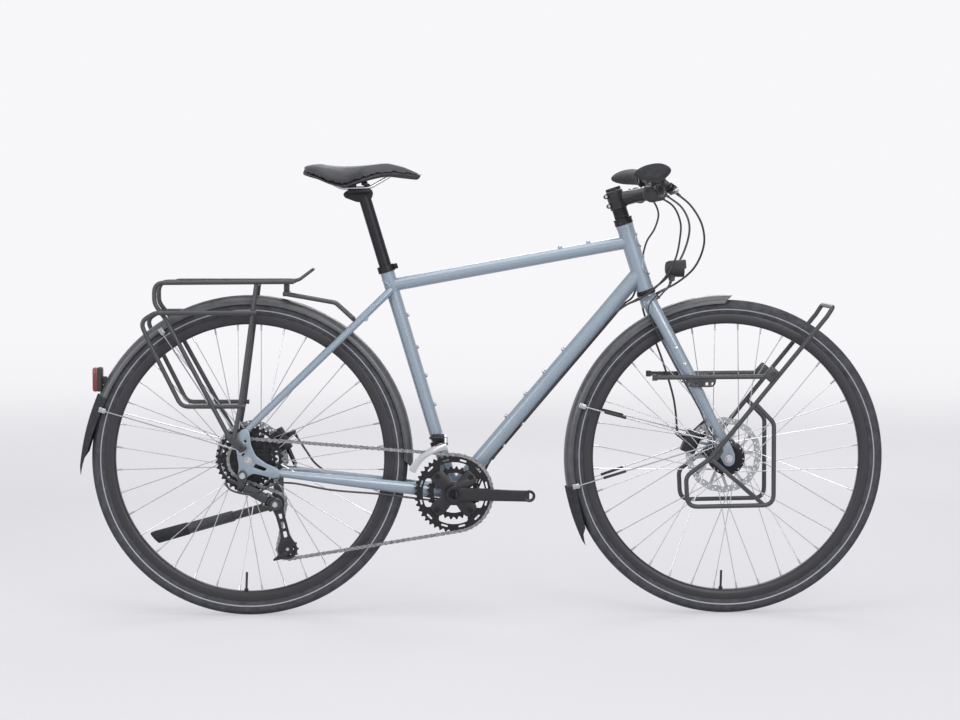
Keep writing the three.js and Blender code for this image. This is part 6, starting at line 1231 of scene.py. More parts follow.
# Each pair of pivot pins and the hanger bolt are bare steel
bolts = bmesh.new()
socket_screw(bolts, hanger_at + at(0, -82.6, 0), (0, -1, 0), 0.0072, 0.0022)
for plane in (-86.5, -64):
    pin = upper_pivot + at(0, plane, 0)
    sweep_along(bolts, [pin - link_high * 0.0137, pin + link_high * 0.0137], 0.002, 14)
piece("mech_bolts", bolts, "derailleur_knuckle", stainless)
for name, plane, node in (("outer_link", -86.5, "derailleur_outer_link"),
                          ("inner_link", -64, "derailleur_inner_link")):
    link = bmesh.new()
    middle = (upper_pivot + lower_pivot) / 2 + at(0, plane, 0)
    slab(link, middle, (56.6, 4.6, 19.8), 2.1, link_ahead, link_high)
    slab(link, middle + at(0, -1.6 if plane < -80 else 0.6, 0), (40, 1.8, 9), 0.8, link_ahead, link_high)
    piece("mech_" + name, link, node, mech_grey, [node])

knuckle = bmesh.new()
clevis(knuckle, lower_pivot, 1, 12)
lathe(knuckle, mm((0, 86.5), (11.8, 86.5), (13.6, 84.8), (14, 83), (14, 72.5), (13.2, 71.7), (13.2, 70.5),
                  (14, 69.7), (14, 49.5), (13.4, 48.6), (0, 48.6)), knee_at, (0, -1, 0), 40)
piece("mech_knee", knuckle, "derailleur_knee", mech_grey, ["derailleur_knee"])
bolts = bmesh.new()
socket_screw(bolts, knee_at + at(0, -86.3, 0), (0, -1, 0), 0.0062, 0.0018)
for plane in (-86.5, -64):
    pin = lower_pivot + at(0, plane, 0)
    sweep_along(bolts, [pin - link_high * 0.0137, pin + link_high * 0.0137], 0.002, 14)
piece("mech_knee_bolts", bolts, "derailleur_knee", stainless)

# Cage plates narrow between the wheels and are pierced by long windows
top, low_wheel = (-452.71, 254.17), (-427.61, 151.18)
lean = Vector((low_wheel[0] - top[0], low_wheel[1] - top[1]))
cage_ahead = lean.normalized()
cage_side = Vector((-cage_ahead.y, cage_ahead.x))


def cage_outline(scale, bow):
    """One side plate of the cage, which is bowed towards the back; the scale narrows the inner plate."""
    left_side, right_side = [], []
    for i in range(25):
        share = i / 24
        middle = Vector(top) + lean * share + cage_side * bow * sin(pi * share)
        half = scale * (14 - 4 * smooth_step(share, 0, 0.3) + 12 * smooth_step(share, 0.68, 1))
        left_side.append(middle + cage_side * half)
        right_side.append(middle - cage_side * half)
    cap = [Vector(low_wheel) + (cage_side * cos(t) + cage_ahead * sin(t)) * 22 * scale
           for t in (pi * k / 14 for k in range(1, 14))]
    head = [Vector(top) - (cage_side * cos(t) + cage_ahead * sin(t)) * 14 * scale
            for t in (pi * k / 14 for k in range(1, 14))]
    return [tuple(p / 1000) for p in left_side + cap + right_side[::-1] + head]


cage = bmesh.new()
for low, high, scale in ((-48.2, -46.7, 1.0), (-36.6, -35.1, 0.86)):
    holes = []
    for first, last, wide in ((0.2, 0.36, 4.2), (0.41, 0.57, 3.8), (0.62, 0.76, 4.6)):
        hole = []
        for share, side in ((first, -1), (last, -1), (last, 1), (first, 1)):
            across = cage_side * (3.2 * sin(pi * share) + side * wide * scale)
            hole.append(tuple((Vector(top) + lean * share + across) / 1000))
        holes.append(eased(hole, 0.004, 4))
    window = [(radians(a), 17.5) for a in range(-10, 171, 15)]
    window += [(radians(a), 12.5) for a in range(170, -11, -15)]
    holes.append([tuple((Vector(low_wheel) + (cage_side * cos(t) + cage_ahead * sin(t)) * r) / 1000)
                  for t, r in window])
    outline_plate(cage, cage_outline(scale, 3.2), low / 1000, high / 1000, holes, 0.0004)
for x, z in (top, low_wheel):
    sweep_along(cage, [at(x, -48, z), at(x, -35.3, z)], 0.0023, 14)
sweep_along(cage, [at(top[0], -78, top[1]), at(top[0], -47, top[1])], 0.0049, 20)
low_wheel_at = at(low_wheel[0], 0, low_wheel[1])
fin = round_between(low_wheel_at + at(-8, 0, -13), low_wheel_at + at(-29, 0, -23), 8, 2.6)
outline_plate(cage, fin, -0.0483, -0.0466, [], 0.0004)
piece("mech_cage_plates", cage, "derailleur_cage", forged, ["derailleur_cage"])
bolts = bmesh.new()
for x, z in (top, low_wheel):
    socket_screw(bolts, at(x, -35.2, z), (0, 1, 0), 0.0036, 0.0014)
socket_screw(bolts, at(low_wheel[0], -48.1, low_wheel[1]), (0, -1, 0), 0.0038, 0.0014)
piece("mech_cage_bolts", bolts, "derailleur_cage", stainless)

for name, (x, z), index in (("guide_pulley", top, 2), ("tension_pulley", low_wheel, 3)):
    centre = at(x, 0, z)
    wheel = bmesh.new()
    holes = [ring_of(x / 1000, z / 1000, 0.0052, 20)]
    holes += [ring_of(x / 1000 + 0.0115 * cos(t), z / 1000 + 0.0115 * sin(t), 0.0026, 12) for t in
              [2 * pi * i / 6 for i in range(6)]]
    outline_plate(wheel, toothed(centre, 11, gap_turn(index), 0.0024, 0.0036), -0.0426, -0.0407, holes, 0)
    lathe(wheel, wall(3.2, 6, 39.2, 44.1), centre, (0, -1, 0), 24)
    piece("mech_" + name, wheel, name, plastic_black, [name], 30)

# Disc brakes
# Cable-pulled calipers: two halves bolted round the rotor, a finned drum for the pad's screw, and an arm.
# Everything is black paint on cast aluminium, with steel bolts; the stub of bare inner cable is not drawn.


def brake(name, body, arm_body, centre, radius, plane, angle, reach_angle, posts, nodes):
    """One caliper with its arm. Radius and plane are the rotor's, in mm, and the angles are in degrees."""
    outward = wheel_turn(angle)
    edge = square_to(outward)
    middle = centre + outward * (radius - 6) / 1000 + at(0, plane, 0)
    case = bmesh.new()
    for low, high, long in ((-12.5, -2.4, 46), (2.4, 17, 52)):
        slab(case, middle + at(0, (low + high) / 2, 0), (33, high - low, long), 3, outward, edge)
    for hand in (-1, 1):
        slab(case, middle + edge * hand * 0.0205 + outward * 0.0115 + at(0, 2, 0), (9, 26, 9), 1.6,
             outward, edge)
    lathe(case, mm((15.2, 12), (15.2, 16.5), (14.2, 17.2), (15.2, 17.9), (15.2, 18.9), (14.2, 19.6),
                   (15.2, 20.3), (15.2, 21.2), (14.2, 22), (3.6, 22), (3.6, 12)), middle - outward * 0.001,
          (0, 1, 0), 36)
    for start, end in posts:
        a, b = at(*start), at(*end)
        sweep_along(case, [a, a.lerp(b, 0.15), a.lerp(b, 0.85), b],
                    mm((4.6, 5.2), (4.6, 5.2), (4.2, 5), (4.6, 5)), 18)
    piece(name + "_caliper_case", case, body, forged, [nodes[0]])
    steel = bmesh.new()
    for hand in (-1, 1):
        socket_screw(steel, middle + edge * hand * 0.02 + outward * 0.011 + at(0, 16.6, 0), (0, 1, 0),
                     0.0034, 0.003)
    for start, end in posts:
        socket_screw(steel, at(*end) + at(0, -3, 0), (0, -1, 0), 0.0034, 0.003)
    socket_screw(steel, middle - outward * 0.001 + at(0, 26.2, 0), (0, 1, 0), 0.0042, 0.0018)
    piece(name + "_caliper_bolts", steel, body, stainless)
    arm = bmesh.new()
    low = (plane + 22.3) / 1000
    pivot = centre + outward * (radius - 7) / 1000
    tip = pivot + wheel_turn(reach_angle) * 0.034
    outline_plate(arm, round_between(pivot, tip, 8.8, 4.8), low, low + 0.004,
                  [ring_of(pivot.x, pivot.z, 0.0038)], 0.0009)
    lathe(arm, mm((3.8, 4.2), (6.2, 4.2), (5.8, 5.2), (3.8, 5.2), (3.8, 4.2)),
          pivot + Vector((0, low, 0)), (0, 1, 0), 20)
    socket_screw(arm, tip + Vector((0, low + 0.0038, 0)), (0, 1, 0), 0.0032, 0.0012)
    piece(name + "_brake_lever_arm", arm, arm_body, forged, [nodes[1]])


rear_posts = [[(-438, 64, 366), (-434, 62, 331.5)], [(-431, 64, 366), (-414, 60, 328.4)]]
front_posts = [[(478, 51, 398), (505, 54, 423)], [(482, 51, 380), (513, 54, 400)]]
brake("rear", "frame", "rear_brake_arm", rear_axle, 80, 52, 28, 32, rear_posts,
      ("rear_caliper", "rear_brake_arm"))
brake("front", "steering", "front_brake_arm", front_axle, 85, 39.5, 158, 150, front_posts,
      ("front_caliper", "front_brake_arm"))

# Brake levers and shifters
# Each side has a split clamp ring, a forked perch for the two-finger lever, and a moulded shifter pod below.
# A thumb paddle sticks out of the pod towards the grip.

pod_ahead = wheel_turn(-42)
pod_high = square_to(pod_ahead)
for side, word in ((-1, "right"), (1, "left")):
    near, far = bar_at(side * 0.15), bar_at(side * 0.164)
    run = (far - near).normalized()
    middle = (near + far) / 2
    body = bmesh.new()
    lathe(body, wall(11.4, 15.4, -6.6, 6.6, 0.6), middle, run, 40)
    pivot = near + pod_ahead * 0.032
    slab(body, middle + pod_ahead * 0.0195, (20, 12.5, 15), 3, pod_ahead, pod_high)
    slab(body, middle + pod_ahead * 0.026 + at(0, -side * 3, 0), (12, 14, 11), 3, pod_ahead, pod_high)
    lathe(body, mm((0, -7.9), (6.4, -7.9), (6.9, -7.2), (6.9, 7.2), (6.4, 7.9), (0, 7.9)),
          pivot, pod_high, 24)
    slab(body, middle - pod_high * 0.0155, (13, 8, 9), 2, pod_ahead, pod_high)
    # The cable's adjuster points inwards and holds the end of the brake cable
    adjuster, cable_end = pivot + at(0, -side * 4, 0), at(424, side * 122, 930)
    lathe(body, mm((0, 0), (4.8, 0), (4.8, 18), (3.8, 19), (3.4, 34.5), (0, 34.5)),
          adjuster, (cable_end - adjuster).normalized(), 20)
    piece("lever_perch_" + word, body, "steering", forged, ["control_" + word])
    pod = bmesh.new()
    below = bar_at(side * 0.149) - pod_high * 0.038 + pod_ahead * 0.0095
    shares = [(-0.5, 0.22), (-0.3, 0.46), (0.28, 0.48), (0.54, 0.16), (0.54, -0.2), (0.28, -0.5),
              (-0.18, -0.5), (-0.48, -0.14)]
    sections = []
    for share, wide in ((-0.5, 0.72), (-0.42, 0.9), (-0.25, 1), (0.25, 1), (0.42, 0.92), (0.5, 0.76)):
        shape = eased([(x * 0.038 * wide, z * 0.03 * wide) for x, z in shares], 0.006, 3)
        station = below + at(0, share * 33.4, 0)
        sections.append(looped(pod, [station + pod_ahead * x + pod_high * z for x, z in shape]))
    skinned(pod, sections)
    lathe(pod, mm((0, 0.5), (5.2, 0.5), (5.2, 7), (4.4, 8), (3.2, 12.5), (0, 12.5)),
          below + at(0, -side * 16, 0) + pod_ahead * 0.006, Vector((0.85, -side, -0.1)), 20)
    piece("shifter_pod_" + word, pod, "steering", plastic_black, (), 32)
    screws = bmesh.new()
    socket_screw(screws, middle - pod_ahead * 0.0148, -pod_ahead, 0.0034, 0.003)
    socket_screw(screws, pivot + pod_high * 0.0077, pod_high, 0.0034, 0.0016)
    socket_screw(screws, below + at(0, side * 15.6, 0) - pod_ahead * 0.004, (0, side, 0), 0.0032, 0.001)
    piece("control_screws_" + word, screws, "steering", stainless)

    # The lever: two cheeks on the pivot, then a slim blade that curls out to a rounded end
    lever = bmesh.new()
    bend = pivot + at(9, side * 16.1, -4.8)
    flat_way = (bend - pivot) - pod_high * (bend - pivot).dot(pod_high)
    outward = flat_way.normalized()
    for hand in (-1, 1):
        slab(lever, pivot + outward * 0.006 + pod_high * hand * 0.0098, (24, 8.6, 2.8), 1.1, outward,
             pod_high)
    slab(lever, pivot + outward * 0.0155, (6, 8.4, 20.5), 1.6, outward, pod_high)
    way = [pivot + outward * 0.015, bend, pivot + at(10, side * 30, -7), pivot + at(9, side * 46, -8.8),
           pivot + at(4, side * 70, -9.8), pivot + at(-1, side * 92, -10.9),
           pivot + at(-3.6, side * 108, -11.2), pivot + at(-3.2, side * 111.5, -11.2)]
    wide = mm((4, 9.2), (4.2, 8.6), (4.1, 7.2), (4, 6.4), (3.8, 6.2), (3.8, 6.2), (3.8, 6), (2.4, 4))
    sweep_along(lever, way, wide, 24, across=pod_ahead)
    piece("brake_lever_blade_" + word, lever, "brake_lever_" + word, forged,
          ["brake_lever_" + word])

    paddle = bmesh.new()
    root = bar_at(side * 0.149) - pod_high * 0.038 + at(0, side * 17.3, 0)
    tip = root + at(0, side * 34, 0) - pod_ahead * 0.01133
    way = [root.lerp(tip, share) for share in (0, 0.12, 0.3, 0.6, 0.9, 1)]
    sweep_along(paddle, way, mm((1.4, 1.9), (2.2, 2.2), (4.8, 2.4), (4.5, 2.4), (3.4, 2), (1.8, 1.2)),
                20, across=pod_ahead)
    piece("thumb_paddle_" + word, paddle, "shift_paddle_" + word, plastic_black,
          ["shift_paddle_" + word])


# Seat
# A forged collar with a pinch bolt holds the black seatpost. Its head clamps two bright steel rails.
# The saddle is foam on a stiff plastic pan, under a stretched grained cover.


def through(points, steps=6):
    """A smooth centripetal curve through points with any number of parts."""
    line = [2 * points[0] - points[1], *points, 2 * points[-1] - points[-2]]
    curve = []
    for a, b, c, d in zip(line, line[1:], line[2:], line[3:]):
        gaps = [max((q - p).length, 1e-6) ** 0.5 for p, q in ((a, b), (b, c), (c, d))]
        leave = ((b - a) / gaps[0] - (c - a) / (gaps[0] + gaps[1]) + (c - b) / gaps[1]) * gaps[1]
        reach = ((c - b) / gaps[1] - (d - b) / (gaps[1] + gaps[2]) + (d - c) / gaps[2]) * gaps[1]
        for i in range(steps):
            t = i / steps
            curve.append(b * (2 * t**3 - 3 * t**2 + 1) + leave * (t**3 - 2 * t**2 + t)
                         + c * (3 * t**2 - 2 * t**3) + reach * (t**3 - t**2))
    return curve + [points[-1]]


def bent(points, bend, steps=6):
    """A line of straight runs whose corners are bent round, with the bend in mm."""
    route = [points[0]]
    for before, corner, after in zip(points, points[1:], points[2:]):
        back, on = before - corner, after - corner
        half_turn = (pi - back.angle(on)) / 2
        cut = min(bend / 1000 * abs(sin(half_turn) / max(cos(half_turn), 0.05)), back.length * 0.48,
                  on.length * 0.48)
        start, end = corner + back.normalized() * cut, corner + on.normalized() * cut
        for i in range(steps + 1):
            t = i / steps
            route.append(start * (1 - t) ** 2 + corner * 2 * t * (1 - t) + end * t * t)
    return route + [points[-1]]


def grow(bm, rows, closed=False):
    """Draws the first row of points as a line of edges and extrudes it from row to row."""
    verts = [bmesh.ops.create_vert(bm, co=point)["vert"][0] for point in rows[0]]
    edges = [bm.edges.new(pair) for pair in zip(verts, verts[1:] + verts[:1] if closed else verts[1:])]
    first = edges
    for row in rows[1:]:
        new, edges = grown_from(bm, edges)
        verts = [next(e.other_vert(v) for e in v.link_edges if e.other_vert(v) in new) for v in verts]
        for vert, point in zip(verts, row):
            vert.co = point
    if closed:
        for loop in (first, edges):
            bmesh.ops.contextual_create(bm, geom=loop)


collar = bmesh.new()
lathe(collar, mm((15, -7.5), (18.2, -7.5), (19, -6.6), (19, 6.6), (18.2, 7.5), (15, 7.5), (15, -7.5)),
      seat_top, seat_up, 48)
seat_back = -square_to(seat_up)
for hand in (-1, 1):
    slab(collar, seat_top + seat_back * 0.0215 + at(0, hand * 5, 0), (9.6, 7, 12), 1.6, seat_back, seat_up)
socket_screw(collar, seat_top + seat_back * 0.0225 + at(0, -8.5, 0), (0, -1, 0), 0.0034, 0.003)
piece("seat_collar", collar, "frame", anodised, ["seat_clamp"], 32)

rail_base = at(-255.75, 0, 922.45)
post = bmesh.new()
post_low, post_high = seat_top - seat_up * 0.17, rail_base + seat_up * 0.004
lathe(post, [(0.0112, 0), (0.0136, 0), (0.0136, (post_high - post_low).length),
             (0, (post_high - post_low).length)], post_low, seat_up, 40)
head = mm((-273, 914), (-300, 924), (-304, 932), (-296, 940), (-268, 943), (-246, 944), (-237, 937),
          (-239, 926), (-247, 914))
outline_plate(post, eased(head, 0.006, 4), -0.011, 0.011, [], 0.003)
sweep_along(post, [at(-297, -13, 930.5), at(-297, 13, 930.5)], 0.0058, 20)
sweep_along(post, [at(-246, -13.5, 936), at(-246, 13.5, 936)], 0.0074, 22)
slab(post, at(-268, 0, 938.6), (50, 56, 8.4), 2.4, (1, 0, 0.03), (-0.03, 0, 1))
for x, z, long, lean in ((-283, 950.6, 17, 0.28), (-254, 953, 19, -0.3)):
    slab(post, at(x, 0, z), (long, 52, 7.6), 2.6, (1, 0, lean), (-lean, 0, 1))
    sweep_along(post, [at(x, 0, z - 18), at(x, 0, z + 5.5)], 0.0028, 14)
    socket_screw(post, at(x, 0, z + 3.6), (0, 0, 1), 0.0042, 0.0034)
piece("seatpost_tube", post, "seat", anodised, ["seatpost"])

rails = bmesh.new()
for hand in (-1, 1):
    line = [at(rail_base.x * 1000 + x, hand * y, z) for x, y, z in
            ((-92.1, 32, 966), (-51.5, 22, 944.8), (10.8, 22, 945.8), (66.9, 9, 978))]
    sweep_along(rails, bent(line, 26, 7), 0.0035, 14)
piece("saddle_rail_pair", rails, "seat", stainless, ["saddle_rails"])

# Grained synthetic cover: dry grey-black with a pressed leather grain of about 1.2 mm and a soft edge sheen
cover_vinyl = coated("saddle_vinyl", "38393c", Roughness=0.52, Sheen_Weight=0.12, Sheen_Roughness=0.4)
pattern(cover_vinyl, "TexVoronoi", {"Scale": 820}, dent=(0.35, 0.0004))
pattern(cover_vinyl, "TexNoise", {"Scale": 22, "Detail": 3}, tint=("303134", "3f4044"), rough=(0.46, 0.6))

saddle_shares = ((0, .24, .88, .7), (.03, .6, .96, .52), (.12, .93, .93, .36), (.22, 1, .85, .16),
                 (.33, .9, .81, .03), (.45, .68, .82, .2), (.57, .46, .87, .38), (.7, .33, .93, .5),
                 (.83, .26, .9, .46), (.94, .2, .72, .42), (1, .1, .56, .44))


def saddle_ring(station, shrink, low_side=False):
    """One slice across the saddle: a crowned top, drooping sides and a hollow underneath."""
    share, half, top, low = station
    x, ring = -394 + shrink + (271 - 2 * shrink) * share, []
    low, top = 947 + 56 * low + shrink * 0.4, 947 + 56 * top - shrink
    turns = range(25, 48) if low_side else range(48)
    for c, s in ((cos(2 * pi * i / 48), sin(2 * pi * i / 48)) for i in turns):
        y = (76 * half - shrink) * abs(c) ** 0.8 * (1 if c > 0 else -1)
        if s >= 0:
            z = low + 4 + (top - low - 4) * s ** 0.72
        else:
            z = low + 4 * max(1 + 5 * s, 0) + 0.42 * (top - low) * smooth_step(-s, 0.15, 0.95)
        ring.append(at(x, y * (0.965 if low_side else 1), z - (1.6 if low_side else 0)))
    return ring


stations = through([Vector(station) for station in saddle_shares], 4)
pad = bmesh.new()
grow(pad, [saddle_ring(station, 3) for station in stations], closed=True)
saddle = piece("saddle_cover", pad, "seat", cover_vinyl, ["saddle"], 180)
finish_of_saddle = saddle.data.materials[0]
# The foam pushes the cover out by up to 4 mm while the hollow underside stays on its pan
remesh = saddle.modifiers.new("remesh", "REMESH")
remesh.mode, remesh.voxel_size = "VOXEL", 0.004
depsgraph = bpy.context.evaluated_depsgraph_get()
saddle.data = bpy.data.meshes.new_from_object(saddle.evaluated_get(depsgraph))
saddle.modifiers.clear()
rest = [vert.co.copy() for vert in saddle.data.vertices]
held = [vert.normal.z < -0.2 for vert in saddle.data.vertices]
cloth = saddle.modifiers.new("cloth", "CLOTH")
cloth.settings.use_pressure = True
cloth.settings.uniform_pressure_force = 4
cloth.settings.effector_weights.gravity = 0
cloth.settings.quality = 5
cloth.point_cache.frame_end = 20
for moment in range(1, 21):
    bpy.context.scene.frame_set(moment)
blown = saddle.evaluated_get(bpy.context.evaluated_depsgraph_get()).to_mesh()
swollen = [vert.co.copy() for vert in blown.vertices]
saddle.modifiers.clear()
bpy.context.scene.frame_set(1)
for vert, start, end, still in zip(saddle.data.vertices, rest, swollen, held):
    move = end - start
    move.length = min(move.length, 0.004)
    vert.co = start if still else start + move
soft = bmesh.new()
soft.from_mesh(saddle.data)
for _ in range(3):
    bmesh.ops.smooth_vert(soft, verts=soft.verts, factor=0.5, use_axis_x=True, use_axis_y=True,
                          use_axis_z=True)
soft.to_mesh(saddle.data)
soft.free()
saddle.data.shade_smooth()
saddle.data.materials.clear()
saddle.data.materials.append(finish_of_saddle)
subdivided = saddle.modifiers.new("subdivision", "SUBSURF")
subdivided.levels = subdivided.render_levels = 1

pan = bmesh.new()
grow(pan, [saddle_ring(station, 3, True) for station in stations[2:-2]])
bmesh.ops.solidify(pan, geom=pan.faces[:], thickness=0.0022)
slab(pan, at(-190, 0, 978.5), (24, 26, 9), 2.5, (1, 0, 0.1), (-0.1, 0, 1))
for hand in (-1, 1):
    slab(pan, at(-346, hand * 32, 968), (16, 12, 10), 2.5, (1, 0, -0.5), (0.5, 0, 1))
piece("saddle_pan", pan, "seat", plastic_black)


# Mudguards
# Rolled plastic channels over each tyre, with a soft flap riveted to the tail.
# Thin steel wires run from plated clips on the rolled edges to the eyelets by the axles.

# Extruded polycarbonate skin: dark grey with a soft, slightly rippled gloss along its length
guard_skin = coated("mudguard_polycarbonate", "4c4d50", Roughness=0.36, Coat_Weight=0.2, Coat_Roughness=0.3)
pattern(guard_skin, "TexNoise", {"Scale": 60, "Detail": 2}, tint=("47484b", "535457"), rough=(0.3, 0.44),
        dent=(0.08, 0.0003))

guard_crown, guard_edge, guard_half, clip_at = 361, 342, 23.5, 340


def guard(name, body, centre, start, end, flap, flare, clips, eyelets, sleeves, node):
    """One channel with its flap, clips and wires. Angles run from straight ahead upwards, in degrees."""
    def spot(radius, angle, across):
        """A point by its radius from the axle in mm, its angle and its distance across in mm."""
        return centre + wheel_turn(angle) * radius / 1000 + at(0, across, 0)

    skin = bmesh.new()
    rows = []
    for i in range(61):
        angle = start + (end - start) * i / 60
        cut_back = 3 * max(1 - i / 4, 0)
        rows.append([spot(guard_edge + (guard_crown - guard_edge) * sin(turn) ** 0.85,
                          angle + cut_back * (1 - sin(turn)), guard_half * cos(turn))
                     for turn in (pi * k / 20 for k in range(21))])
    grow(skin, rows)
    bmesh.ops.solidify(skin, geom=skin.faces[:], thickness=0.0018)
    for k in (0, 20):
        sweep_along(skin, [row[k] for row in rows], 0.0015, 8)
    piece(name + "_channel", skin, body, guard_skin, [node], 50)

    tail = bmesh.new()
    rows = []
    for i in range(13):
        share, row = i / 12, []
        for k in range(13):
            across = k / 6 - 1
            angle = end + degrees(flap / guard_crown) * (share * (1.08 - 0.3 * across**2) - 0.12)
            deep = (22 - 3 * share) * (1 - (1 - across**2) ** 0.5)
            half = (guard_half + 1.6) * (1 - 0.1 * share)
            row.append(spot(guard_crown + 1.4 + flare * share**2 - deep, angle, half * across))
        rows.append(row)
    grow(tail, rows)
    bmesh.ops.solidify(tail, geom=tail.faces[:], thickness=0.0022)
    for angle in (end - 2.4, end - 0.9):
        lathe(tail, mm((0, 3.2), (3, 2.4), (4.2, 0), (0, 0)), spot(guard_crown + 1, angle, 0),
              wheel_turn(angle), 16)
    piece(name + "_flap", tail, body, grip_rubber, (), 60)

    wires, covers = bmesh.new(), bmesh.new()
    for angle in clips:
        for hand, eyelet in eyelets:
            edge = spot(clip_at, angle, hand * (guard_half + 1.5))
            outward, along = wheel_turn(angle), wheel_turn(angle + 90)
            slab(wires, edge - at(0, -hand * 0.6, 0) + outward * 0.001, (15, 2.4, 11), 0.9, outward, along)
            slab(wires, edge + at(0, hand * 3, 0) - outward * 0.003, (10, 4.6, 7), 1.3, outward, along)
            lathe(wires, mm((0, 3.2), (2.4, 3), (3.4, 1.2), (3.4, 0), (0, 0)),
                  edge + outward * 0.0045 + at(0, hand * 1.8, 0), (0, hand, 0), 14)
            first = edge + at(0, hand * 4.2, 0) + outward * 0.004
            last = at(*eyelet) + at(0, hand * 2, 0)
            sweep_along(wires, [first, first.lerp(last, 0.5), last], 0.0016, 8)
            loop = [last + (wheel_turn(angle + turn)) * 0.0052 - outward * 0.0052
                    for turn in range(0, 300, 24)]
            sweep_along(wires, loop, 0.0015, 6)
            if sleeves:
                low, high = (0.2, 0.36) if angle > 175 else (0.17, 0.33)
                sweep_along(covers, [first.lerp(last, low + (high - low) * s) for s in (0, 0.04, 0.96, 1)],
                            mm(2.4, 3.1, 3.1, 2.4), 12)
    for hand, eyelet in eyelets:
        socket_screw(wires, at(*eyelet) + at(0, hand * 3, 0), (0, hand, 0), 0.0044, 0.0034)
    piece(name + "_wires", wires, body, stainless)
    if sleeves:
        piece(name + "_wire_sleeves", covers, body, plastic_black)


guard("rear_mudguard", "frame", rear_axle, -4, 160, 168, 14, (161.5, 124.2),
      ((-1, (-532, -76, 373)), (1, (-532, 76, 373))), False, "rear_mudguard")
guard("front_mudguard", "steering", front_axle, 88, 193, 128, 7, (190.7, 160.3),
      ((-1, (520, -59.5, 385)), (1, (520, 86.3, 385))), True, "front_mudguard")


# Racks
# Both carriers are welded from bent steel rod under black powder coat. The rear one has a flat deck and
# side hoops for bags; the low front one hangs a bag frame on each fork blade.

# Powder coat: an even satin black-grey with a fine orange peel about 1.5 mm across
powder = coated("black_powder_coat", "3a3b3d", Roughness=0.42, Coat_Weight=0.15, Coat_Roughness=0.35)
pattern(powder, "TexNoise", {"Scale": 650, "Detail": 1}, tint=("363739", "404144"), rough=(0.36, 0.48),
        dent=(0.15, 0.0002))


def on_rear(x, z, y):
    """A point of the rear rack, in shares of 305 mm along and 391 mm up from the axle, and mm across."""
    return rear_axle + at(305 * x, y, 391 * z)


def oblong(x, y, long, wide):
    """The corners of an oblong about a point, by half its length and width."""
    return [(x - long, y - wide), (x + long, y - wide), (x + long, y + wide), (x - long, y + wide)]


rack = bmesh.new()
for hand in (-1, 1):
    rail = [on_rear(x, z, hand * y) for x, z, y in
            ((.33, 1, 52), (-.67, .995, 52), (-.67, .88, 52), (-.58, .785, 61), (-.13, .128, 82))]
    sweep_along(rack, bent(rail, 34), 0.005, 14)
    hoop = [on_rear(x, z, hand * y) for x, z, y in
            ((.06, .828, 62), (-.66, .828, 70.8), (-.765, .78, 71.6), (-.7, .66, 72.4),
             (-.475, .306, 73.2), (-.02, .306, 74))]
    sweep_along(rack, bent(hoop, 26), 0.005, 14)
    leg = [on_rear(x, z, hand * y) for x, z, y in ((.06, .985, 52), (-.055, .31, 72), (-.1, .128, 82))]
    sweep_along(rack, bent(leg, 26), 0.005, 14)
    foot_a = on_rear(-.12, .13, 0)
    foot_b = foot_a + at(22, 0, -22)
    outline_plate(rack, round_between(foot_a, foot_b, 9, 9), hand * 0.078, hand * 0.084, [], 0.0012)
    socket_screw(rack, foot_b + at(0, hand * 84, 0), (0, hand, 0), 0.0046, 0.0036)
for x, z in ((.3, 1), (.06, .985), (-.3, 1), (-.5, 1)):
    sweep_along(rack, [on_rear(x, z, -52), on_rear(x, z, 52)], 0.004, 12)
deck = on_rear(-.1, 1, 0) + at(0, 0, 4.6)
slots = [eased(oblong(deck.x + x, y, 0.036, 0.006), 0.006, 4)
         for x in (-0.084, 0, 0.084) for y in (-0.016, 0.016)]
plate = bmesh.new()
outline_plate(plate, eased(oblong(deck.x, 0, 0.128, 0.031), 0.008), -0.0014, 0.0014, slots, 0.0006)
bmesh.ops.rotate(plate, cent=(0, 0, 0), matrix=Matrix.Rotation(pi / 2, 3, "X"), verts=plate.verts)
bmesh.ops.translate(plate, vec=(0, 0, deck.z), verts=plate.verts)
piece("rear_rack_deck", plate, "frame", powder, (), 40)
tongue = bmesh.new()
rise = through([on_rear(x, z, 0) for x, z in ((.3, 1.012), (.34, 1.016), (.4, 1.034), (.452, 1.064))], 4)
grow(tongue, [[p + at(0, y * (1 - 0.22 * i / 12), 0) for y in (-29, -14, 0, 14, 29)]
              for i, p in enumerate(rise)])
bmesh.ops.solidify(tongue, geom=tongue.faces[:], thickness=0.0024)
piece("rear_rack_tongue", tongue, "frame", powder, (), 40)
for hand in (-1, 1):
    sweep_along(rack, bent([on_rear(.3, 1, hand * 31), on_rear(.36, 1.008, hand * 31),
                            on_rear(.462, 1.068, hand * 23), on_rear(.462, 1.068, 0)], 16), 0.0034, 12)
slab(rack, at(-428.65, 0, 712.6), (16, 56, 10), 2)
slab(rack, at(-428.65, 0, 727), (12, 28, 24), 2)
stay_foot, stay_head = at(-519, 65, 411), at(-196, 18, 723.2)
for hand in (-1, 1):
    on_stay = stay_foot.lerp(stay_head, 0.76)
    up = (stay_head - stay_foot).normalized()
    end = on_stay + square_to(up) * 0.0125
    end.y = end.y * hand
    arm = [at(-432.65, hand * 26, 712.6), at(-320.65, hand * 24, 692.6), end]
    sweep_along(rack, bent(arm, 20), 0.0042, 12)
    socket_screw(rack, end + at(0, hand * 2, 0), (0, hand, 0), 0.0044, 0.004)
piece("rear_rack_rods", rack, "frame", powder, ["rear_rack"], 40)


def on_front(x, z, y=76):
    """A point of the front rack, in shares of 322 mm along and 335 mm up from the axle, and mm across."""
    return front_axle + at(322 * x, y, 335 * z)


def side_line(hand, points):
    """Points of one side of the front rack, 76 mm from the middle."""
    return [on_front(x, z, hand * 76) for x, z in points]


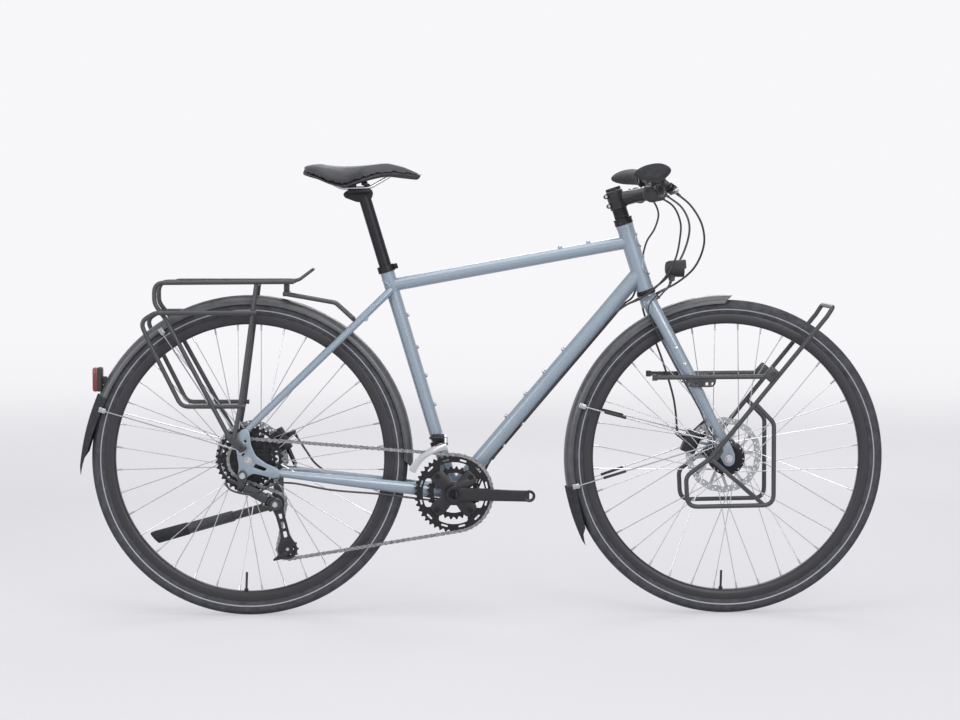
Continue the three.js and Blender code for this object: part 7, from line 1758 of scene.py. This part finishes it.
rack = bmesh.new()
for hand in (-1, 1):
    sweep_along(rack, side_line(hand, ((-.51, .54), (.29, .545))), 0.005, 14)
    sweep_along(rack, side_line(hand, ((-.515, .52), (-.515, .56))), 0.0058, 14)
    loop = ((.66, .94), (-.12, .02), (-.3, -.11), (-.29, -.31), (.3, -.3), (.3, .24), (.18, .36))
    sweep_along(rack, bent(side_line(hand, loop), 24), 0.005, 14)
    strut = round_between(on_front(-.13, .005), on_front(.23, -.295), 4.5, 4.5, 6)
    outline_plate(rack, strut, hand * 0.0735, hand * 0.0785, [], 0.001)
    joint = on_front(.28, .56, hand * 76)
    slab(rack, joint, (30, 14, 24), 3, (0.66, 0, 0.74), (-0.74, 0, 0.66))
    socket_screw(rack, joint + at(4, hand * 7, 2), (0, hand, 0), 0.0044, 0.003)
    mount = on_front(-.2, .515, hand * 74)
    holes = [ring_of(mount.x + step / 1000, mount.z - 0.0055, 0.0034, 14) for step in (-26, -13, 13, 26)]
    shape = [(mount.x + x / 1000, mount.z + z / 1000) for x, z in
             ((-33, 11), (33, 11), (33, -4), (26, -13), (-26, -13), (-33, -4))]
    outline_plate(rack, eased(shape, 0.006), hand * 0.0705, hand * 0.0775, holes, 0.001)
    socket_screw(rack, mount + at(0, hand * 3.5, -5.5), (0, hand, 0), 0.0052, 0.004)
    eyelet = on_front(-.07, .06, 0)
    shape = round_between(on_front(-.1, .02), eyelet, 9, 8)
    outline_plate(rack, shape, hand * 0.0573, hand * 0.078, [], 0.0012)
    socket_screw(rack, eyelet + at(0, hand * 78, 0), (0, hand, 0), 0.0046, 0.0034)
tip = [on_front(.66, .94, -76), on_front(.7, 1, -76), on_front(.7, 1, 76), on_front(.66, .94, 76)]
sweep_along(rack, bent(tip, 18), 0.005, 14)
piece("front_rack_rods", rack, "steering", powder, ["front_rack"], 40)


# Lights
# The dynamo lamp is a black moulded barrel with a clear lens over its mirror, on a steel bracket.
# The tail light is a moulded black box with a red prismatic lens, screwed to the mudguard.

# Clear polycarbonate: glassy, with upright flutes 2.4 mm apart that spread the beam
lens_clear = coated("clear_polycarbonate", "f2f5f8", Roughness=0.08, Transmission_Weight=0.9, IOR=1.58)
pattern(lens_clear, "TexWave", {"Scale": 66}, dent=(0.4, 0.0006), bands_direction="Y")

# Red acrylic: deep colour with a glossy face and a prism pattern of 2 mm behind it
lens_red = coated("red_acrylic", "7c2026", Roughness=0.14, Coat_Weight=0.6, Coat_Roughness=0.05)
pattern(lens_red, "TexVoronoi", {"Scale": 480}, tint=("8c252b", "661a1f"), dent=(0.4, 0.0005),
        ends=(0.1, 0.7))

lamp_at = at(431, 0, 767.5)
lamp = bmesh.new()
lathe(lamp, mm((0, -23), (9, -22.6), (14.5, -20.5), (17.2, -14), (18.6, -4), (19, 6), (19, 18.6),
               (17.8, 19.2), (17.2, 17.8), (16.8, 16)), lamp_at, (1, 0, 0), 48)
visor = mm((4, 19.2), (22.5, 19.8), (22.5, 18.6), (4, 17.8))
grow(lamp, [[lamp_at + Vector((x, radius * sin(turn), radius * cos(turn)))
             for turn in (pi * (k / 14 - 0.5) for k in range(15))] for x, radius in visor])
slab(lamp, lamp_at + at(-8, 0, -20), (14, 9, 12), 2)
sweep_along(lamp, [at(423, -9, 745), at(423, 9, 745)], 0.0052, 18)
for hand in (-1, 1):
    slab(lamp, at(423, hand * 10.2, 750), (11, 2.6, 20), 1)
piece("headlight_case", lamp, "headlight", plastic_black, ["headlight"])
bowl = bmesh.new()
lathe(bowl, mm((16.6, 16), (13.5, 6), (8, -1), (2.8, -4), (0, -4.2)), lamp_at, (1, 0, 0), 40)
piece("headlight_mirror", bowl, "headlight", stainless)
glass = bmesh.new()
lathe(glass, mm((0, 19.5), (9, 19), (16.8, 17.2), (16.8, 15.6), (0, 16.6)), lamp_at, (1, 0, 0), 40)
piece("headlight_lens", glass, "headlight", lens_clear)

bracket_route = through([at(x, 0, z) for x, z in
                         ((388.5, 700), (394, 705), (404, 716), (415, 729), (423, 740))], 4)
strap = bmesh.new()
grow(strap, [[p + at(0, y, 0) for y in (-8, -4, 4, 8)] for p in bracket_route])
bmesh.ops.solidify(strap, geom=strap.faces[:], thickness=0.0026)
socket_screw(strap, at(392, 0, 703), (0.75, 0, 0.66), 0.0046, 0.004)
for hand in (-1, 1):
    lathe(strap, mm((0, 2.2), (3.6, 2), (4.2, 0.8), (4.2, 0), (0, 0)), at(423, hand * 11.4, 745),
          (0, hand, 0), 14)
sweep_along(strap, [at(423, -8, 744), at(423, 8, 744)], 0.0054, 16)
piece("headlight_strap", strap, "steering", powder, ["headlight_bracket"])

tail_turn = wheel_turn(151)
tail_at = rear_axle + tail_turn * 0.3615 - at(17.5, 0, 0)
case = bmesh.new()
slab(case, tail_at + at(3.5, 0, 0), (12, 37, 53), 4)
slab(case, tail_at + at(12, 0, -2), (14, 15, 17), 2)
piece("rear_light_case", case, "frame", plastic_black, ["rear_light"])
red = bmesh.new()
slab(red, tail_at + at(-5, 0, 0), (13, 37.6, 53.4), 5.4)
piece("rear_light_lens", red, "frame", lens_red)

# Side stand
# A forged bracket is bolted to the left dropout. The leg turns on its pin and is a round bar that slides
# in a sleeve, with a moulded foot clipped on its end.

stand_pivot = at(-453, 78, 231)
stand_axis = Vector((-0.2209, 0.9339, 0.2812)).normalized()
stand_drop = Vector((-283, 4, -78)).normalized()
foot = bmesh.new()
outline_plate(foot, round_between(at(-453, 0, 231), at(-452, 0, 318), 13, 10.5), 0.0695, 0.0765, [], 0.0016)
lathe(foot, mm((0, 4.3), (13.6, 4.3), (14.2, 3.6), (14.2, -8), (12.8, -9), (0, -9)),
      stand_pivot, stand_axis, 36)
for height in (266, 317):
    socket_screw(foot, at(-452, 76.4, height), (0, 1, 0), 0.0056, 0.005)
piece("stand_bracket", foot, "frame", powder)

leg = bmesh.new()
lathe(leg, mm((3, 4.8), (12.8, 4.8), (14, 6), (14, 31), (12.8, 32.2), (6, 32.3), (5.5, 31.4), (3, 31.4),
              (3, 4.8)), stand_pivot, stand_axis, 40)
root = stand_pivot + stand_axis * 0.0185
sweep_along(leg, [root + stand_drop * d / 1000 for d in (2, 14, 30, 96, 104)],
            mm(11.8, 10.8, 9.8, 9.8, 9.8), 28)
sweep_along(leg, [root + stand_drop * d / 1000 for d in (100, 101.5, 104, 200, 222)],
            mm(10.2, 11.8, 12.4, 12.8, 12.8), 28)
lathe(leg, mm((0, 13.6), (3.4, 13.4), (4.2, 12.6), (0, 12.6)), root + stand_drop * 0.158, (0, -1, -0.1), 16)
piece("stand_leg_bar", leg, "stand", powder, ["stand_leg"])
shoe = bmesh.new()
sweep_along(shoe, [root + stand_drop * d / 1000 for d in (206, 208, 262, 282, 291, 293)],
            mm(13, 14.1, 14.6, 14.8, 13.8, 11.8), 28)
slant = root + stand_drop * 0.287
bmesh.ops.bisect_plane(shoe, geom=shoe.verts[:] + shoe.edges[:] + shoe.faces[:], plane_co=slant,
                       plane_no=(stand_drop + at(0, 0, -620)).normalized(), clear_outer=True)
bmesh.ops.holes_fill(shoe, edges=[e for e in shoe.edges if e.is_boundary])
piece("stand_foot", shoe, "stand", grip_rubber)


# Cables
# Five plastic-sheathed lines bow forward from the levers and shifters, cross at the head tube and follow
# the down tube or the fork. Each ends in a metal ferrule. The lengths are those of the routes.

# Extruded sheath: glossy black plastic whose steel winding shows as fine rings 2 mm apart
sheath = coated("cable_sheath", "262629", Roughness=0.34, Coat_Weight=0.2)
pattern(sheath, "TexNoise", {"Scale": 500, "Detail": 1}, tint=("222225", "2f2f33"), dent=(0.12, 0.0002))

front_brake_route = ((424, -120, 930), (458, -70, 905), (490, -10, 860), (497, 30, 815), (478, 46, 768),
                     (440, 46, 735), (396, 48, 712), (366, 68, 690), (372, 74, 655), (396, 72, 598),
                     (416, 64, 540), (434, 63, 478), (440, 64, 440), (443, 64, 400.1))
rear_brake_route = ((424, 124, 930), (456, 84, 900), (468, 52, 858), (452, 34, 800), (420, 26, 752),
                    (388, 30, 724), (352, 32, 700), (324, 26, 686), (300.2, 14, 675.5), (138.1, 12, 485.2),
                    (21.4, 12, 348.1), (-28, 22, 258), (-60, 26, 246.5), (-94, 30, 253), (-160, 41, 266),
                    (-296, 57, 290), (-366, 72, 326), (-392, 77, 360), (-415, 76.5, 395.6))
rear_shift_route = ((373, -123.5, 925.6), (390, -110, 921), (418, -90, 903), (435, -68, 868),
                    (436, -50, 836), (428, -34, 790), (408, -30, 752), (380, -30, 722), (348, -28, 700),
                    (322, -20, 688), (296, -9, 667), (139.9, -8, 483.6), (23.2, -8, 346.5),
                    (-30, -20, 250), (-100, -32, 256), (-220, -44, 272), (-330, -56, 283),
                    (-420, -68, 300), (-455, -100, 300), (-500, -108, 280), (-548, -96, 288),
                    (-560, -82, 300))
front_shift_route = ((373, 123.5, 925.6), (390, 110, 919), (402, 92, 890), (392, 72, 856), (372, 52, 826),
                     (360, 36, 785), (352, 30, 745), (338, 20, 704), (318, 6, 689), (296, 2, 663),
                     (141.9, 2, 481.9), (25.2, 2, 344.8))
dynamo_route = ((420, -11, 742), (410, -24, 722), (394, -42, 716), (368, -62, 690), (366, -72, 668),
                (384, -70, 630), (434, -60, 541), (478, -58, 461), (500, -54, 412), (508, -48, 401),
                (520, -47, 386), (531, -47.6, 374))
ferrules = {"steering": bmesh.new(), "frame": bmesh.new()}
for name, points, radius, ends, node in (
    ("front_brake_cable_line", front_brake_route, 2.4, ("steering", "steering"), "front_brake_cable"),
    ("rear_brake_cable_line", rear_brake_route, 2.4, ("steering", "frame"), "rear_brake_cable"),
    ("rear_shift_cable_line", rear_shift_route, 2.2, ("steering", "frame"), "rear_shift_cable"),
    ("front_shift_cable_line", front_shift_route, 2.2, ("steering", "frame"), "front_shift_cable"),
    ("dynamo_wire_line", dynamo_route, 1.5, ("steering", "steering"), "dynamo_wire"),
):
    route = through([at(*point) for point in points], 8)
    tube = bmesh.new()
    sweep_along(tube, route, radius / 1000, 12)
    line = piece(name, tube, "steering", sheath, [node])
    length = sum((b - a).length for a, b in zip(route, route[1:]))
    tuple(route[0])
    [tuple(point) for point in route]
    if ends[1] == "frame":
        line.parent = None
        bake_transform(line)
    for body, tip, inner in ((ends[0], route[0], route[2]), (ends[1], route[-1], route[-3])):
        ahead = (inner - tip).normalized()
        lathe(ferrules[body], [(0, -0.0012), (radius / 1000 + 0.0008, -0.0012),
                               (radius / 1000 + 0.0008, 0.0075), (radius / 1000 + 0.0002, 0.0085),
                               (0, 0.0085)], tip, ahead, 16)
for body, caps in ferrules.items():
    piece("cable_ferrules_" + body, caps, body, mech_grey)

# End
# The box of what is drawn, leaving out the backdrop, is measured.

low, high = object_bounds()
